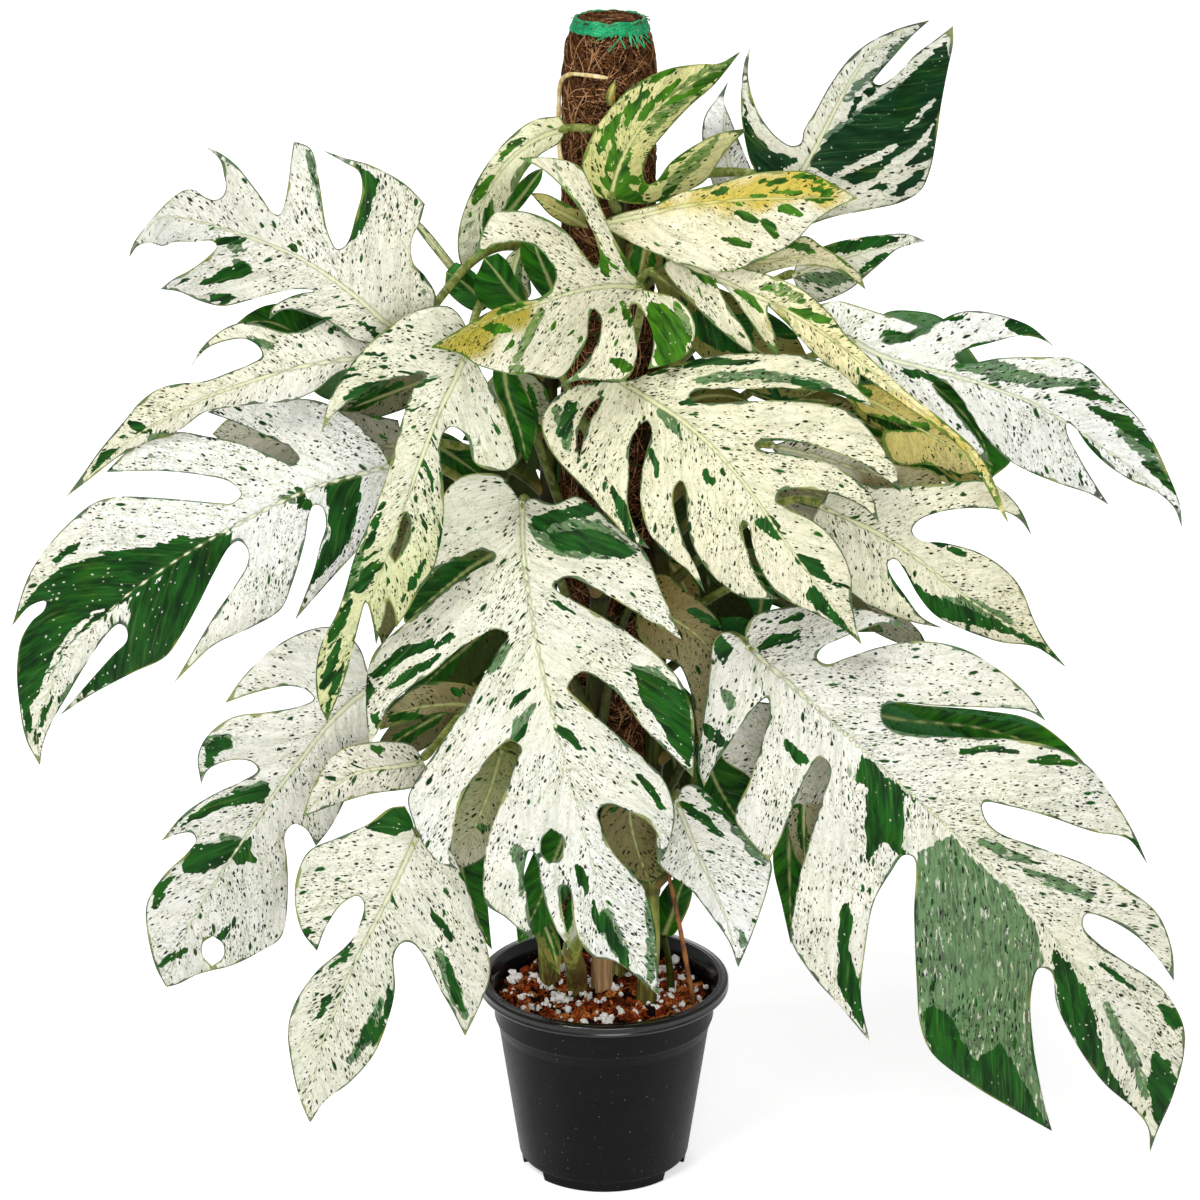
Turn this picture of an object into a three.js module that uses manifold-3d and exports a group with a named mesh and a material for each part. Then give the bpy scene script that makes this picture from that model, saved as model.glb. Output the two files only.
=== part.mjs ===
// Potted marble Epipremnum pinnatum: a climbing aroid with split, cream-and-green leaves,
// on a coir pole in a black nursery pot. Millimetres, +Z up, the origin under the middle of the pot.
import * as THREE from "three";
import { mergeVertices } from "three/addons/utils/BufferGeometryUtils.js";
import Module from "manifold-3d";

// Pot and soil
const rimRadius = 80;
const potHeight = 128;
const lipBottom = 120.4;
const lipHoldRadius = 70.8; // the wall's outer radius where the lip leaves it
const footRadius = 53;
const footHeight = 6;
const innerRimRadius = 69;
const innerFloorRadius = 51;
const floorTop = 4.5;
const soilTop = 116;
const soilEdge = 112;
const drainSlotAngles = [62, 118, 242, 298]; // degrees round from the front
const drainSlotWidth = 28;
const drainSlotDepth = 16;

// Pole
const poleTop = 746.7;
const poleRadius = 28;
const coirBottom = 172;
const coreRadius = 7;
const coreBottom = 24;
const coreTop = 706;
const poleFootX = -1.2;
const poleLean = 0.0073; // sideways mm for each mm of height
const bandBottom = 741;
const bandTop = 746.5;
const bandRadius = 22.2;

// Stems, stalks and blades
const gap = 0.3; // running gap between touching pieces
const stemRadius = 7;
const stemTopRadius = 5;
const stalkRadius = 3.4;
const stalkTipRadius = 2.1;
const stalkRise = 1.4; // a stalk starts this much steeper than it goes outward
const stalkTurn = 0.5; // and turned this much to its blade's side
const stalkStart = 0.2; // length of the curve's first handle, as a share of the way to the blade
const stalkEnd = 0.12;
const stalkBow = 0.22;
const stalkInBlade = 4; // how far the stalk runs on along the rib
const bladeThickness = 1.4;

// The view in which every leaf is outlined: 1200 x 1200 px, its middle looked at from this eye.
// x and y are pixels, and the third number of a rib point is millimetres in front of the pole's axis.
const view = { eye: [-2.5, -2385, 1210], pitchDegrees: 19.15, focalPixels: 4073, middle: 600 };

// Each leaf: rib from base to tip, then its margin down one side and down the other.
// lean is how far each half turns to the front for each mm from the rib; droop bends it back.
const leafShapes = {
  leaf_front: {
    rib: [[522, 502, 118], [524, 560, 150], [538, 648, 176], [554, 719, 188], [581, 821, 190],
      [600, 887, 186], [635, 961, 176], [658, 995, 170]],
    one: [[531, 498], [554, 504], [576, 496], [590, 504], [611, 522], [644, 551], [661, 590], [681, 639],
      [642, 616], [598, 590], [567, 577], [554, 585], [559, 592], [580, 604], [624, 630], [657, 655],
      [681, 682], [693, 714], [694, 748], [693, 777], [669, 753], [642, 726], [623, 699], [601, 680],
      [581, 672], [568, 687], [581, 702], [615, 733], [645, 760], [662, 777], [674, 806], [673, 829],
      [667, 849], [655, 871], [659, 840], [649, 823], [630, 812], [608, 804], [598, 811], [601, 828],
      [617, 858], [635, 876], [647, 896], [655, 929], [657, 970]],
    two: [[515, 494], [501, 476], [483, 473], [461, 477], [444, 494], [436, 520], [430, 548], [424, 584],
      [434, 571], [457, 559], [476, 550], [494, 555], [486, 564], [471, 573], [442, 592], [420, 611],
      [396, 631], [376, 650], [368, 670], [366, 699], [367, 724], [370, 743], [377, 733], [389, 707],
      [408, 689], [435, 670], [457, 650], [476, 638], [496, 629], [508, 636], [501, 646], [491, 663],
      [476, 690], [457, 719], [437, 750], [415, 782], [408, 799], [413, 821], [422, 842], [437, 861],
      [458, 870], [449, 858], [452, 837], [462, 797], [476, 775], [496, 750], [510, 741], [521, 748],
      [515, 765], [506, 789], [496, 816], [487, 845], [483, 887], [487, 905], [505, 917], [520, 930],
      [533, 939], [528, 905], [524, 873], [530, 850], [537, 860], [541, 885], [548, 910], [558, 932],
      [573, 952], [564, 920], [562, 886], [569, 888], [573, 917], [581, 943], [594, 957], [614, 961],
      [636, 976]],
    hole: [[551, 828], [560, 836], [563, 848], [557, 860], [549, 862], [541, 852], [543, 837]],
    lean: [-0.1, -0.1], droop: 0.0008,
  },
  leaf_right_low: {
    rib: [[748, 647, 100], [806, 698, 128], [887, 772, 148], [961, 839, 152], [1028, 906, 146],
      [1080, 972, 134], [1135, 1053, 112], [1150, 1152, 88]],
    one: [[739, 637], [726, 632], [715, 639], [711, 665], [702, 728], [698, 765], [704, 787], [713, 769],
      [735, 735], [756, 706], [767, 698], [770, 711], [765, 732], [750, 780], [735, 817], [748, 838],
      [769, 861], [780, 839], [795, 802], [808, 772], [820, 757], [830, 769], [822, 800], [812, 832],
      [801, 872], [793, 913], [791, 939], [813, 976], [839, 1005], [870, 1042], [861, 998], [865, 950],
      [874, 902], [891, 872], [904, 855], [914, 858], [914, 913], [917, 987], [920, 1024], [932, 1053],
      [976, 1087], [1013, 1109], [1052, 1131], [1043, 1098], [1033, 1042], [1031, 994], [1039, 968],
      [1051, 972], [1057, 1005], [1080, 1050], [1105, 1084], [1135, 1110], [1148, 1128]],
    two: [[745, 634], [752, 618], [770, 610], [800, 606], [835, 605], [865, 610], [890, 617], [913, 630],
      [885, 624], [862, 630], [840, 639], [822, 648], [817, 658], [827, 664], [846, 658], [880, 647],
      [917, 641], [961, 648], [998, 669], [1028, 695], [1046, 721], [1028, 711], [994, 708], [939, 706],
      [900, 703], [883, 706], [884, 724], [902, 732], [954, 737], [1006, 739], [1050, 746], [1087, 765],
      [1113, 798], [1135, 835], [1148, 865], [1128, 839], [1094, 832], [1050, 817], [1013, 807],
      [983, 803], [985, 818], [998, 832], [1035, 846], [1087, 865], [1124, 887], [1157, 913], [1172, 950],
      [1174, 981], [1157, 957], [1135, 935], [1105, 918], [1086, 914], [1083, 926], [1098, 943],
      [1124, 961], [1161, 987], [1183, 1024], [1184, 1053], [1172, 1098], [1158, 1130]],
    lean: [0.04, -0.12], droop: 0.0008,
  },
  leaf_left_big: {
    rib: [[389, 466, 100], [308, 490, 104], [236, 525, 96], [166, 567, 82], [107, 613, 64],
      [54, 683, 44], [37, 728, 34], [40, 766, 28]],
    one: [[392, 478], [388, 510], [372, 535], [356, 552], [332, 578], [308, 605], [295, 620], [306, 592],
      [314, 570], [320, 545], [326, 525], [322, 507], [314, 505], [309, 515], [305, 540], [292, 584],
      [281, 609], [254, 626], [214, 645], [193, 664], [174, 683], [193, 651], [214, 616], [236, 584],
      [248, 562], [247, 548], [239, 541], [230, 546], [214, 573], [198, 605], [182, 634], [165, 657],
      [134, 672], [94, 693], [60, 715], [88, 683], [112, 656], [127, 640], [126, 628], [119, 624],
      [107, 634], [86, 664], [67, 696], [52, 722], [43, 745]],
    two: [[386, 456], [372, 438], [350, 418], [322, 402], [285, 398], [240, 400], [207, 412], [240, 424],
      [270, 438], [290, 448], [299, 459], [290, 463], [265, 453], [240, 443], [205, 436], [178, 432],
      [150, 440], [129, 450], [106, 472], [161, 471], [201, 475], [230, 482], [241, 494], [232, 503],
      [220, 503], [161, 498], [115, 497], [94, 503], [70, 522], [48, 546], [29, 575], [12, 626],
      [30, 606], [46, 601], [44, 610], [32, 621], [21, 640], [17, 669], [19, 701], [26, 739]],
    lean: [-0.12, -0.08], droop: 0.0008,
  },
  leaf_left_under: {
    rib: [[404, 350, 132], [370, 356, 134], [300, 367, 128], [240, 385, 116], [202, 399, 104],
      [165, 419, 92], [134, 437, 82], [66, 497, 58]],
    one: [[408, 372], [385, 376], [345, 370], [315, 391], [290, 401], [255, 404], [225, 408], [205, 412],
      [178, 431], [150, 441], [120, 456], [90, 479]],
    two: [[405, 335], [370, 322], [330, 318], [292, 333], [250, 322], [232, 325], [215, 335], [200, 350],
      [191, 367], [205, 350], [222, 342], [245, 339], [259, 347], [262, 356], [250, 364], [230, 372],
      [205, 381], [176, 384], [158, 389], [140, 402], [125, 420], [100, 450], [80, 478]],
    lean: [-0.06, -0.14], droop: 0.0006,
  },
  leaf_left_top: {
    rib: [[410, 336, 136], [385, 322, 146], [360, 300, 150], [330, 277, 148], [300, 258, 138],
      [270, 245, 126], [240, 234, 112], [200, 222, 92], [160, 218, 72], [129, 258, 50]],
    one: [[392, 344], [350, 338], [330, 322], [310, 315], [285, 309], [269, 319], [272, 308], [285, 299],
      [302, 293], [315, 291], [300, 289], [275, 293], [250, 300], [223, 306], [200, 301], [180, 292],
      [160, 289], [175, 278], [190, 270], [210, 255], [217, 246], [212, 241], [195, 242], [175, 242],
      [163, 246], [150, 243], [138, 246]],
    two: [[432, 318], [436, 296], [425, 276], [413, 262], [412, 240], [420, 222], [425, 204], [405, 184],
      [370, 165], [345, 158], [322, 150], [345, 163], [359, 172], [362, 190], [356, 215], [346, 245],
      [337, 249], [331, 240], [326, 225], [322, 200], [319, 180], [311, 149], [294, 141], [291, 160],
      [288, 185], [284, 205], [279, 215], [272, 212], [262, 198], [250, 182], [236, 165], [220, 153],
      [206, 147], [220, 160], [224, 175], [226, 188], [222, 197], [214, 200], [205, 197], [195, 190],
      [185, 190], [172, 198], [157, 213], [141, 232], [132, 246]],
    lean: [-0.04, -0.25], droop: 0.0006,
  },
  leaf_front_left: {
    rib: [[466, 354, 150], [453, 384, 166], [440, 410, 174], [420, 462, 184], [400, 520, 186],
      [378, 580, 184], [355, 640, 178], [327, 722, 168]],
    one: [[476, 362], [484, 376], [500, 404], [512, 436], [518, 462], [505, 470], [490, 470], [474, 462],
      [468, 440], [460, 430], [451, 427], [443, 434], [440, 450], [443, 480], [444, 510], [441, 540],
      [432, 572], [418, 592], [408, 610], [396, 628], [394, 610], [388, 600], [384, 618], [376, 645],
      [372, 620], [366, 602], [360, 620], [355, 640], [348, 668], [340, 692]],
    two: [[468, 340], [464, 322], [450, 307], [420, 309], [384, 330], [358, 356], [341, 380], [328, 404],
      [321, 433], [333, 415], [346, 405], [372, 385], [400, 377], [424, 375], [412, 392], [402, 420],
      [394, 450], [385, 480], [372, 515], [355, 555], [345, 590], [336, 615], [322, 642], [316, 670],
      [318, 700]],
    hole: [[406, 513], [409, 528], [404, 545], [395, 562], [392, 555], [398, 538], [401, 520]],
    lean: [-0.14, 0.02], droop: 0.0008,
  },
  leaf_gold_tip: {
    rib: [[640, 288, 104], [614, 286, 122], [578, 291, 142], [537, 304, 160], [500, 316, 174],
      [462, 332, 186], [430, 347, 196]],
    one: [[650, 291], [675, 298], [690, 312], [695, 330], [690, 350], [675, 362], [648, 369], [653, 350],
      [652, 330], [645, 315], [636, 304], [630, 306], [634, 325], [637, 350], [633, 370], [624, 380],
      [599, 380], [575, 381], [556, 389], [578, 371], [594, 350], [601, 330], [600, 316], [593, 309],
      [589, 319], [587, 338], [577, 358], [560, 378], [545, 377], [530, 373], [517, 375], [500, 372],
      [475, 364], [460, 354]],
    two: [[636, 276], [628, 262], [614, 238], [603, 212], [592, 188], [580, 167], [560, 159], [540, 157],
      [518, 158], [540, 168], [560, 185], [580, 210], [593, 232], [600, 258], [596, 267], [585, 256],
      [573, 240], [563, 229], [545, 218], [520, 211], [496, 213], [482, 232], [474, 260], [486, 250],
      [505, 242], [530, 244], [548, 258], [556, 275], [550, 290], [538, 298], [515, 302], [490, 311],
      [465, 326]],
    lean: [0.32, -0.12], droop: 0.0004,
  },
  leaf_cream_right: {
    rib: [[600, 224, 92], [640, 216, 108], [690, 205, 118], [740, 200, 120], [800, 198, 116],
      [858, 198, 106]],
    one: [[612, 232], [633, 243], [661, 256], [695, 267], [728, 272], [752, 264], [778, 252], [797, 240],
      [812, 224], [832, 210]],
    two: [[616, 215], [650, 206], [685, 192], [720, 183], [750, 174], [780, 171], [808, 172], [828, 181]],
    lean: [0.2, -0.2], droop: 0.0006,
  },
  leaf_top_right: {
    rib: [[610, 200, 58], [618, 170, 58], [635, 135, 52], [662, 104, 42], [700, 78, 28], [741, 51, 14]],
    one: [[640, 204], [672, 198], [690, 190], [706, 180], [722, 157], [735, 141], [749, 128], [720, 133],
      [695, 145], [670, 163], [656, 181], [647, 184], [643, 172], [648, 155], [665, 133], [689, 107],
      [713, 86], [728, 68]],
    two: [[596, 196], [588, 182], [582, 165], [590, 140], [606, 114], [633, 86], [668, 69], [700, 64],
      [720, 63]],
    lean: [-0.16, -0.1], droop: 0.0006,
  },
  leaf_dark_right: {
    rib: [[797, 180, 44], [806, 165, 46], [822, 135, 40], [840, 100, 28], [856, 72, 14], [875, 48, 2],
      [902, 30, -10], [930, 20, -20]],
    one: [[800, 196], [796, 216], [806, 226], [833, 217], [868, 210], [902, 202], [921, 190], [930, 170],
      [936, 140], [941, 105], [948, 68], [953, 44], [953, 26], [935, 40], [915, 55], [897, 74],
      [880, 85], [873, 82], [880, 72], [895, 55], [912, 36]],
    two: [[785, 182], [764, 180], [752, 165], [745, 140], [741, 110], [742, 80], [745, 60], [750, 48],
      [748, 75], [754, 102], [764, 122], [778, 138], [792, 146], [801, 143], [804, 130], [815, 112],
      [830, 85], [850, 58], [870, 42], [900, 28]],
    lean: [-0.14, -0.2], droop: 0.0006,
  },
  leaf_white_back: {
    rib: [[738, 196, 6], [725, 140, -2], [728, 82, -12]],
    one: [[756, 188], [752, 172], [742, 148], [731, 120], [724, 100]],
    two: [[716, 195], [707, 165], [702, 135], [705, 116], [717, 98]],
    lean: [-0.1, -0.1], droop: 0,
  },
  leaf_small_right: {
    rib: [[792, 276, 74], [830, 262, 76], [870, 250, 66], [926, 241, 50]],
    one: [[800, 292], [816, 302], [835, 297], [852, 288], [866, 276], [882, 262], [898, 249]],
    two: [[798, 262], [822, 247], [850, 239], [880, 235], [908, 234]],
    lean: [-0.1, -0.15], droop: 0,
  },
  leaf_cream_tail: {
    rib: [[700, 262, 86], [760, 262, 96], [810, 256, 98], [842, 268, 92], [866, 290, 84]],
    one: [[722, 276], [745, 282], [770, 272], [800, 266], [830, 268], [850, 278]],
    two: [[722, 254], [760, 246], [790, 240], [806, 236], [822, 246], [844, 260], [860, 275]],
    lean: [0, -0.1], droop: 0,
  },
  leaf_cream_long: {
    rib: [[668, 258, 96], [730, 284, 112], [790, 312, 124], [838, 344, 132], [880, 378, 138],
      [925, 414, 142], [965, 447, 142], [990, 480, 138], [1009, 524, 130]],
    one: [[664, 268], [690, 300], [720, 330], [756, 355], [745, 330], [728, 305], [716, 283], [722, 285],
      [740, 306], [760, 336], [777, 356], [775, 335], [768, 315], [768, 306], [790, 327], [812, 352],
      [836, 372], [858, 387], [860, 374], [880, 388], [905, 406], [930, 423], [955, 443], [978, 472],
      [998, 508]],
    two: [[690, 258], [745, 268], [800, 288], [830, 314], [846, 335], [866, 354], [905, 390], [945, 422],
      [980, 455], [996, 486]],
    lean: [0.05, -0.1], droop: 0.0006,
  },
  leaf_right_top: {
    rib: [[848, 338, 104], [882, 356, 108], [928, 369, 108], [966, 379, 102], [1004, 392, 94],
      [1042, 408, 84], [1081, 433, 70], [1119, 459, 56], [1157, 489, 42], [1182, 528, 32]],
    one: [[856, 352], [872, 366], [905, 398], [940, 430], [970, 452], [993, 466], [980, 443], [963, 420],
      [945, 400], [933, 386], [936, 380], [948, 384], [958, 394], [972, 416], [988, 440], [1010, 461],
      [1030, 472], [1060, 484], [1090, 494], [1109, 505], [1094, 482], [1078, 455], [1067, 432],
      [1067, 423], [1074, 427], [1088, 446], [1105, 463], [1130, 480], [1158, 493], [1174, 508]],
    two: [[836, 328], [822, 318], [820, 304], [838, 301], [855, 305], [880, 313], [905, 320], [924, 327],
      [905, 334], [888, 336], [883, 341], [892, 344], [915, 337], [932, 327], [945, 318], [960, 312],
      [978, 311], [1004, 316], [1030, 326], [1045, 338], [1055, 347], [1038, 338], [1020, 336],
      [990, 343], [965, 350], [955, 356], [962, 363], [1000, 358], [1040, 357], [1070, 358],
      [1085, 365], [1100, 378], [1119, 398], [1140, 420], [1155, 445], [1170, 478], [1180, 505]],
    lean: [-0.1, -0.14], droop: 0.0006,
  },
  leaf_center_right: {
    rib: [[622, 382, 122], [654, 402, 138], [685, 423, 150], [712, 447, 158], [740, 478, 164],
      [760, 505, 168], [781, 536, 170], [802, 564, 170], [822, 591, 168], [843, 619, 164],
      [862, 645, 160]],
    one: [[608, 381], [590, 383], [570, 388], [553, 400], [542, 418], [545, 440], [558, 461], [577, 481],
      [595, 501], [612, 520], [630, 540], [650, 549], [637, 532], [628, 505], [629, 478], [630, 445],
      [638, 427], [647, 421], [652, 430], [647, 450], [641, 478], [641, 505], [648, 530], [665, 552],
      [688, 570], [705, 593], [697, 570], [686, 547], [677, 520], [673, 500], [675, 487], [681, 481],
      [686, 490], [687, 515], [691, 540], [702, 562], [720, 582], [742, 597], [778, 599], [764, 588],
      [755, 572], [748, 553], [743, 533], [743, 521], [748, 524], [753, 545], [761, 570], [775, 591],
      [790, 602], [815, 614], [843, 629]],
    two: [[630, 380], [648, 374], [678, 364], [719, 355], [764, 354], [809, 357], [843, 374], [876, 409],
      [858, 402], [833, 393], [781, 389], [733, 389], [700, 390], [689, 395], [694, 402], [715, 403],
      [753, 401], [809, 402], [850, 412], [877, 440], [895, 467], [901, 493], [880, 475], [850, 458],
      [802, 443], [770, 441], [755, 444], [762, 450], [788, 454], [836, 467], [871, 495], [879, 522],
      [860, 505], [833, 494], [798, 488], [780, 492], [776, 501], [790, 510], [815, 522], [838, 545],
      [851, 575], [852, 600], [856, 625]],
    hole: [[603, 398], [598, 408], [590, 420], [583, 440], [579, 460], [577, 440], [583, 416], [595, 400]],
    lean: [0.06, -0.1], droop: 0.0006,
  },
  leaf_right_mid: {
    rib: [[820, 506, 104], [877, 533, 116], [919, 560, 118], [953, 588, 114], [988, 612, 106],
      [1029, 636, 94], [1067, 668, 82]],
    one: [[812, 522], [820, 550], [838, 580], [858, 598], [884, 612], [912, 622], [942, 628], [922, 617],
      [905, 595], [890, 573], [888, 562], [895, 559], [903, 568], [918, 595], [935, 615], [960, 628],
      [1000, 642], [1035, 647]],
    two: [[830, 490], [850, 482], [880, 487], [936, 484], [985, 481], [1005, 492], [1022, 512],
      [1032, 536], [1020, 520], [1003, 511], [975, 508], [940, 512], [918, 521], [912, 531], [920, 540],
      [945, 543], [980, 553], [1008, 572], [1022, 590], [1034, 620], [1046, 642]],
    lean: [-0.08, -0.14], droop: 0.0006,
  },
  leaf_left_low: {
    rib: [[372, 686, 92], [350, 703, 96], [326, 727, 96], [302, 758, 90], [278, 789, 82],
      [257, 820, 72], [233, 855, 60], [209, 893, 46], [185, 934, 34], [166, 987, 22]],
    one: [[380, 700], [378, 725], [362, 762], [345, 800], [330, 828], [316, 846], [306, 829], [294, 824],
      [285, 834], [287, 858], [288, 893], [281, 937], [261, 951], [233, 965], [199, 974], [178, 984]],
    two: [[368, 672], [358, 645], [337, 628], [312, 629], [278, 645], [244, 676], [225, 703], [254, 693],
      [288, 686], [306, 690], [314, 699], [300, 706], [268, 712], [233, 717], [209, 734], [198, 755],
      [201, 784], [209, 769], [233, 760], [252, 762], [258, 770], [240, 782], [216, 793], [185, 813],
      [161, 841], [178, 834], [192, 833], [196, 840], [188, 852], [164, 875], [147, 903], [147, 930],
      [155, 965]],
    hole: [[213, 936], [223, 944], [223, 957], [212, 966], [203, 956], [203, 943]],
    lean: [-0.08, -0.1], droop: 0.0006,
  },
  leaf_pot_left: {
    rib: [[416, 838, 130], [399, 875, 140], [378, 917, 142], [357, 958, 136], [337, 1006, 126],
      [319, 1054, 114], [310, 1123, 98]],
    one: [[430, 835], [450, 850], [464, 878], [476, 915], [488, 951], [490, 975], [480, 1005],
      [465, 1036], [452, 1010], [440, 989], [423, 955], [412, 943], [402, 943], [394, 955], [395, 989],
      [388, 1020], [374, 1054], [350, 1082], [325, 1101]],
    two: [[412, 820], [405, 806], [390, 808], [368, 824], [337, 838], [309, 851], [297, 875], [295, 903],
      [302, 931], [317, 951], [326, 927], [343, 903], [358, 896], [364, 904], [357, 931], [347, 945],
      [316, 972], [295, 1003], [288, 1030], [293, 1072], [301, 1102]],
    lean: [-0.12, -0.08], droop: 0.0008,
  },
  leaf_left_tuck: {
    rib: [[424, 762, 124], [400, 766, 130], [360, 772, 132], [328, 790, 128], [302, 817, 122]],
    one: [[430, 780], [412, 788], [371, 794], [337, 804]],
    two: [[412, 745], [371, 742], [337, 752], [316, 780]],
    lean: [-0.05, -0.08], droop: 0,
  },
  leaf_pot_right: {
    rib: [[676, 800, 96], [692, 840, 112], [712, 885, 118], [728, 925, 116], [738, 968, 110]],
    one: [[664, 812], [656, 838], [661, 866], [688, 887], [712, 917], [730, 944]],
    two: [[684, 786], [696, 785], [735, 823], [771, 861], [768, 887], [753, 932]],
    lean: [-0.1, -0.06], droop: 0.0006,
  },
  leaf_arch_left: {
    rib: [[566, 128, 48], [535, 140, 56], [505, 165, 60], [482, 205, 48], [465, 275, 24]],
    one: [[560, 142], [540, 155], [525, 172], [515, 190], [503, 212], [489, 235], [476, 256]],
    two: [[560, 116], [534, 120], [506, 141], [482, 172], [465, 207], [458, 235], [459, 258]],
    lean: [-0.1, -0.2], droop: 0.0006,
  },
  leaf_left_shade_up: {
    rib: [[396, 366, 88], [330, 350, 90], [270, 322, 78], [236, 324, 66]],
    one: [[380, 392], [330, 400], [300, 380], [262, 345]],
    two: [[385, 345], [345, 320], [300, 304], [268, 305], [250, 313]],
    lean: [-0.04, -0.04], droop: 0,
  },
  leaf_left_shade_low: {
    rib: [[404, 446, 60], [340, 446, 66], [280, 440, 58], [212, 434, 46]],
    one: [[396, 474], [340, 476], [290, 466], [240, 452]],
    two: [[398, 420], [340, 410], [280, 412], [230, 418]],
    lean: [-0.05, -0.05], droop: 0,
  },
  leaf_right_shade_up: {
    rib: [[860, 352, 72], [905, 366, 76], [950, 400, 72], [982, 440, 66], [992, 478, 58]],
    one: [[852, 380], [880, 410], [920, 440], [962, 470]],
    two: [[872, 330], [885, 313], [915, 311], [942, 318], [970, 350], [1000, 400], [1012, 458]],
    lean: [-0.05, -0.05], droop: 0,
  },
  leaf_right_shade_low: {
    rib: [[842, 708, 84], [905, 720, 88], [980, 728, 86], [1050, 752, 76], [1109, 800, 64]],
    one: [[850, 740], [905, 752], [980, 758], [1050, 782], [1080, 798]],
    two: [[850, 690], [905, 703], [980, 710], [1030, 719], [1062, 740], [1090, 770]],
    lean: [-0.05, -0.05], droop: 0,
  },
  leaf_right_tuck: {
    rib: [[842, 735, 70], [810, 752, 80], [775, 752, 84], [740, 742, 84], [722, 738, 80]],
    one: [[820, 720], [780, 705], [745, 703], [728, 715]],
    two: [[836, 780], [815, 812], [795, 810], [748, 776], [722, 757]],
    lean: [-0.05, -0.05], droop: 0,
  },
  leaf_low_right_back: {
    rib: [[700, 740, 46], [715, 780, 54], [735, 815, 56], [760, 850, 52]],
    one: [[690, 752], [691, 788], [702, 820], [728, 848]],
    two: [[735, 748], [762, 785], [776, 820], [774, 848]],
    lean: [-0.05, -0.05], droop: 0,
  },
  leaf_low_right_dark: {
    rib: [[790, 800, 66], [789, 850, 78], [790, 900, 80], [791, 945, 78]],
    one: [[778, 822], [773, 862], [782, 905]],
    two: [[803, 815], [806, 850], [799, 900]],
    lean: [-0.1, -0.1], droop: 0,
  },
  leaf_low_left_dark: {
    rib: [[462, 828, 80], [462, 870, 88], [474, 910, 92], [492, 950, 90]],
    one: [[484, 838], [486, 880], [489, 920]],
    two: [[446, 840], [446, 868], [464, 915]],
    lean: [-0.1, -0.1], droop: 0,
  },
  leaf_green_strap: {
    rib: [[503, 362, 70], [508, 395, 82], [520, 430, 84], [527, 463, 80]],
    one: [[513, 372], [526, 392], [535, 420], [533, 445]],
    two: [[494, 368], [494, 385], [503, 410], [514, 440]],
    lean: [-0.2, -0.2], droop: 0,
  },
  leaf_green_young: {
    rib: [[524, 306, 80], [508, 288, 90], [496, 272, 94], [484, 258, 92]],
    one: [[518, 316], [496, 312], [478, 300], [474, 282], [480, 268]],
    two: [[528, 294], [516, 278], [508, 262], [498, 253]],
    lean: [-0.2, -0.2], droop: 0,
  },
  leaf_mid_olive: {
    rib: [[640, 600, 62], [672, 618, 72], [702, 640, 76], [724, 674, 72]],
    one: [[648, 574], [668, 575], [684, 590], [702, 603], [716, 617], [726, 640]],
    two: [[636, 630], [657, 655], [678, 664], [690, 690], [697, 730], [706, 762], [714, 720]],
    lean: [-0.05, -0.05], droop: 0,
  },
  leaf_mid_green: {
    rib: [[762, 585, 40], [761, 605, 43], [757, 628, 44], [748, 654, 40]],
    one: [[742, 588], [748, 602], [757, 623], [740, 617], [721, 618], [724, 640]],
    two: [[776, 588], [773, 602], [768, 618], [772, 642]],
    lean: [-0.05, -0.05], droop: 0,
  },
  leaf_upper_olive: {
    rib: [[650, 270, 64], [700, 308, 74], [750, 345, 80], [800, 375, 77], [819, 384, 72]],
    one: [[668, 264], [700, 280], [745, 300], [790, 328], [808, 358]],
    two: [[662, 300], [690, 345], [730, 380], [780, 402], [798, 400]],
    lean: [-0.05, -0.05], droop: 0,
  },
  leaf_right_gold: {
    rib: [[846, 390, 90], [880, 405, 96], [915, 426, 96], [950, 446, 90], [984, 471, 82]],
    one: [[870, 384], [905, 402], [935, 423], [960, 442], [978, 458]],
    two: [[862, 412], [880, 418], [918, 429], [884, 430], [882, 440], [895, 462], [930, 465], [960, 474]],
    lean: [-0.05, -0.05], droop: 0,
  },
  leaf_right_beige: {
    rib: [[770, 446, 84], [815, 456, 90], [860, 470, 90], [905, 482, 84], [945, 490, 76]],
    one: [[800, 438], [850, 448], [895, 464], [935, 472]],
    two: [[790, 470], [840, 492], [890, 496], [925, 498]],
    lean: [-0.05, -0.05], droop: 0,
  },
  leaf_left_olive: {
    rib: [[500, 550, 60], [470, 568, 68], [440, 592, 72], [404, 622, 70]],
    one: [[494, 578], [462, 602], [425, 630]],
    two: [[480, 548], [445, 560], [424, 584], [404, 606]],
    lean: [-0.05, -0.05], droop: 0,
  },
  leaf_left_beige: {
    rib: [[482, 706, 62], [450, 704, 68], [415, 708, 68], [378, 718, 64]],
    one: [[474, 688], [448, 682], [422, 684], [395, 700]],
    two: [[476, 712], [446, 713], [400, 724], [380, 730]],
    lean: [-0.05, -0.05], droop: 0,
  },
  leaf_low_left_pale: {
    rib: [[502, 750, 92], [490, 790, 100], [474, 830, 104], [462, 868, 102]],
    one: [[518, 756], [510, 790], [500, 826], [482, 860]],
    two: [[486, 752], [466, 790], [450, 830], [449, 858]],
    lean: [-0.05, -0.05], droop: 0,
  },
  leaf_low_right_olive: {
    rib: [[640, 780, 68], [630, 810, 76], [636, 845, 78], [650, 884, 72]],
    one: [[618, 790], [600, 815], [608, 850], [630, 880]],
    two: [[658, 790], [668, 830], [668, 868]],
    lean: [-0.05, -0.05], droop: 0,
  },
};

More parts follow.
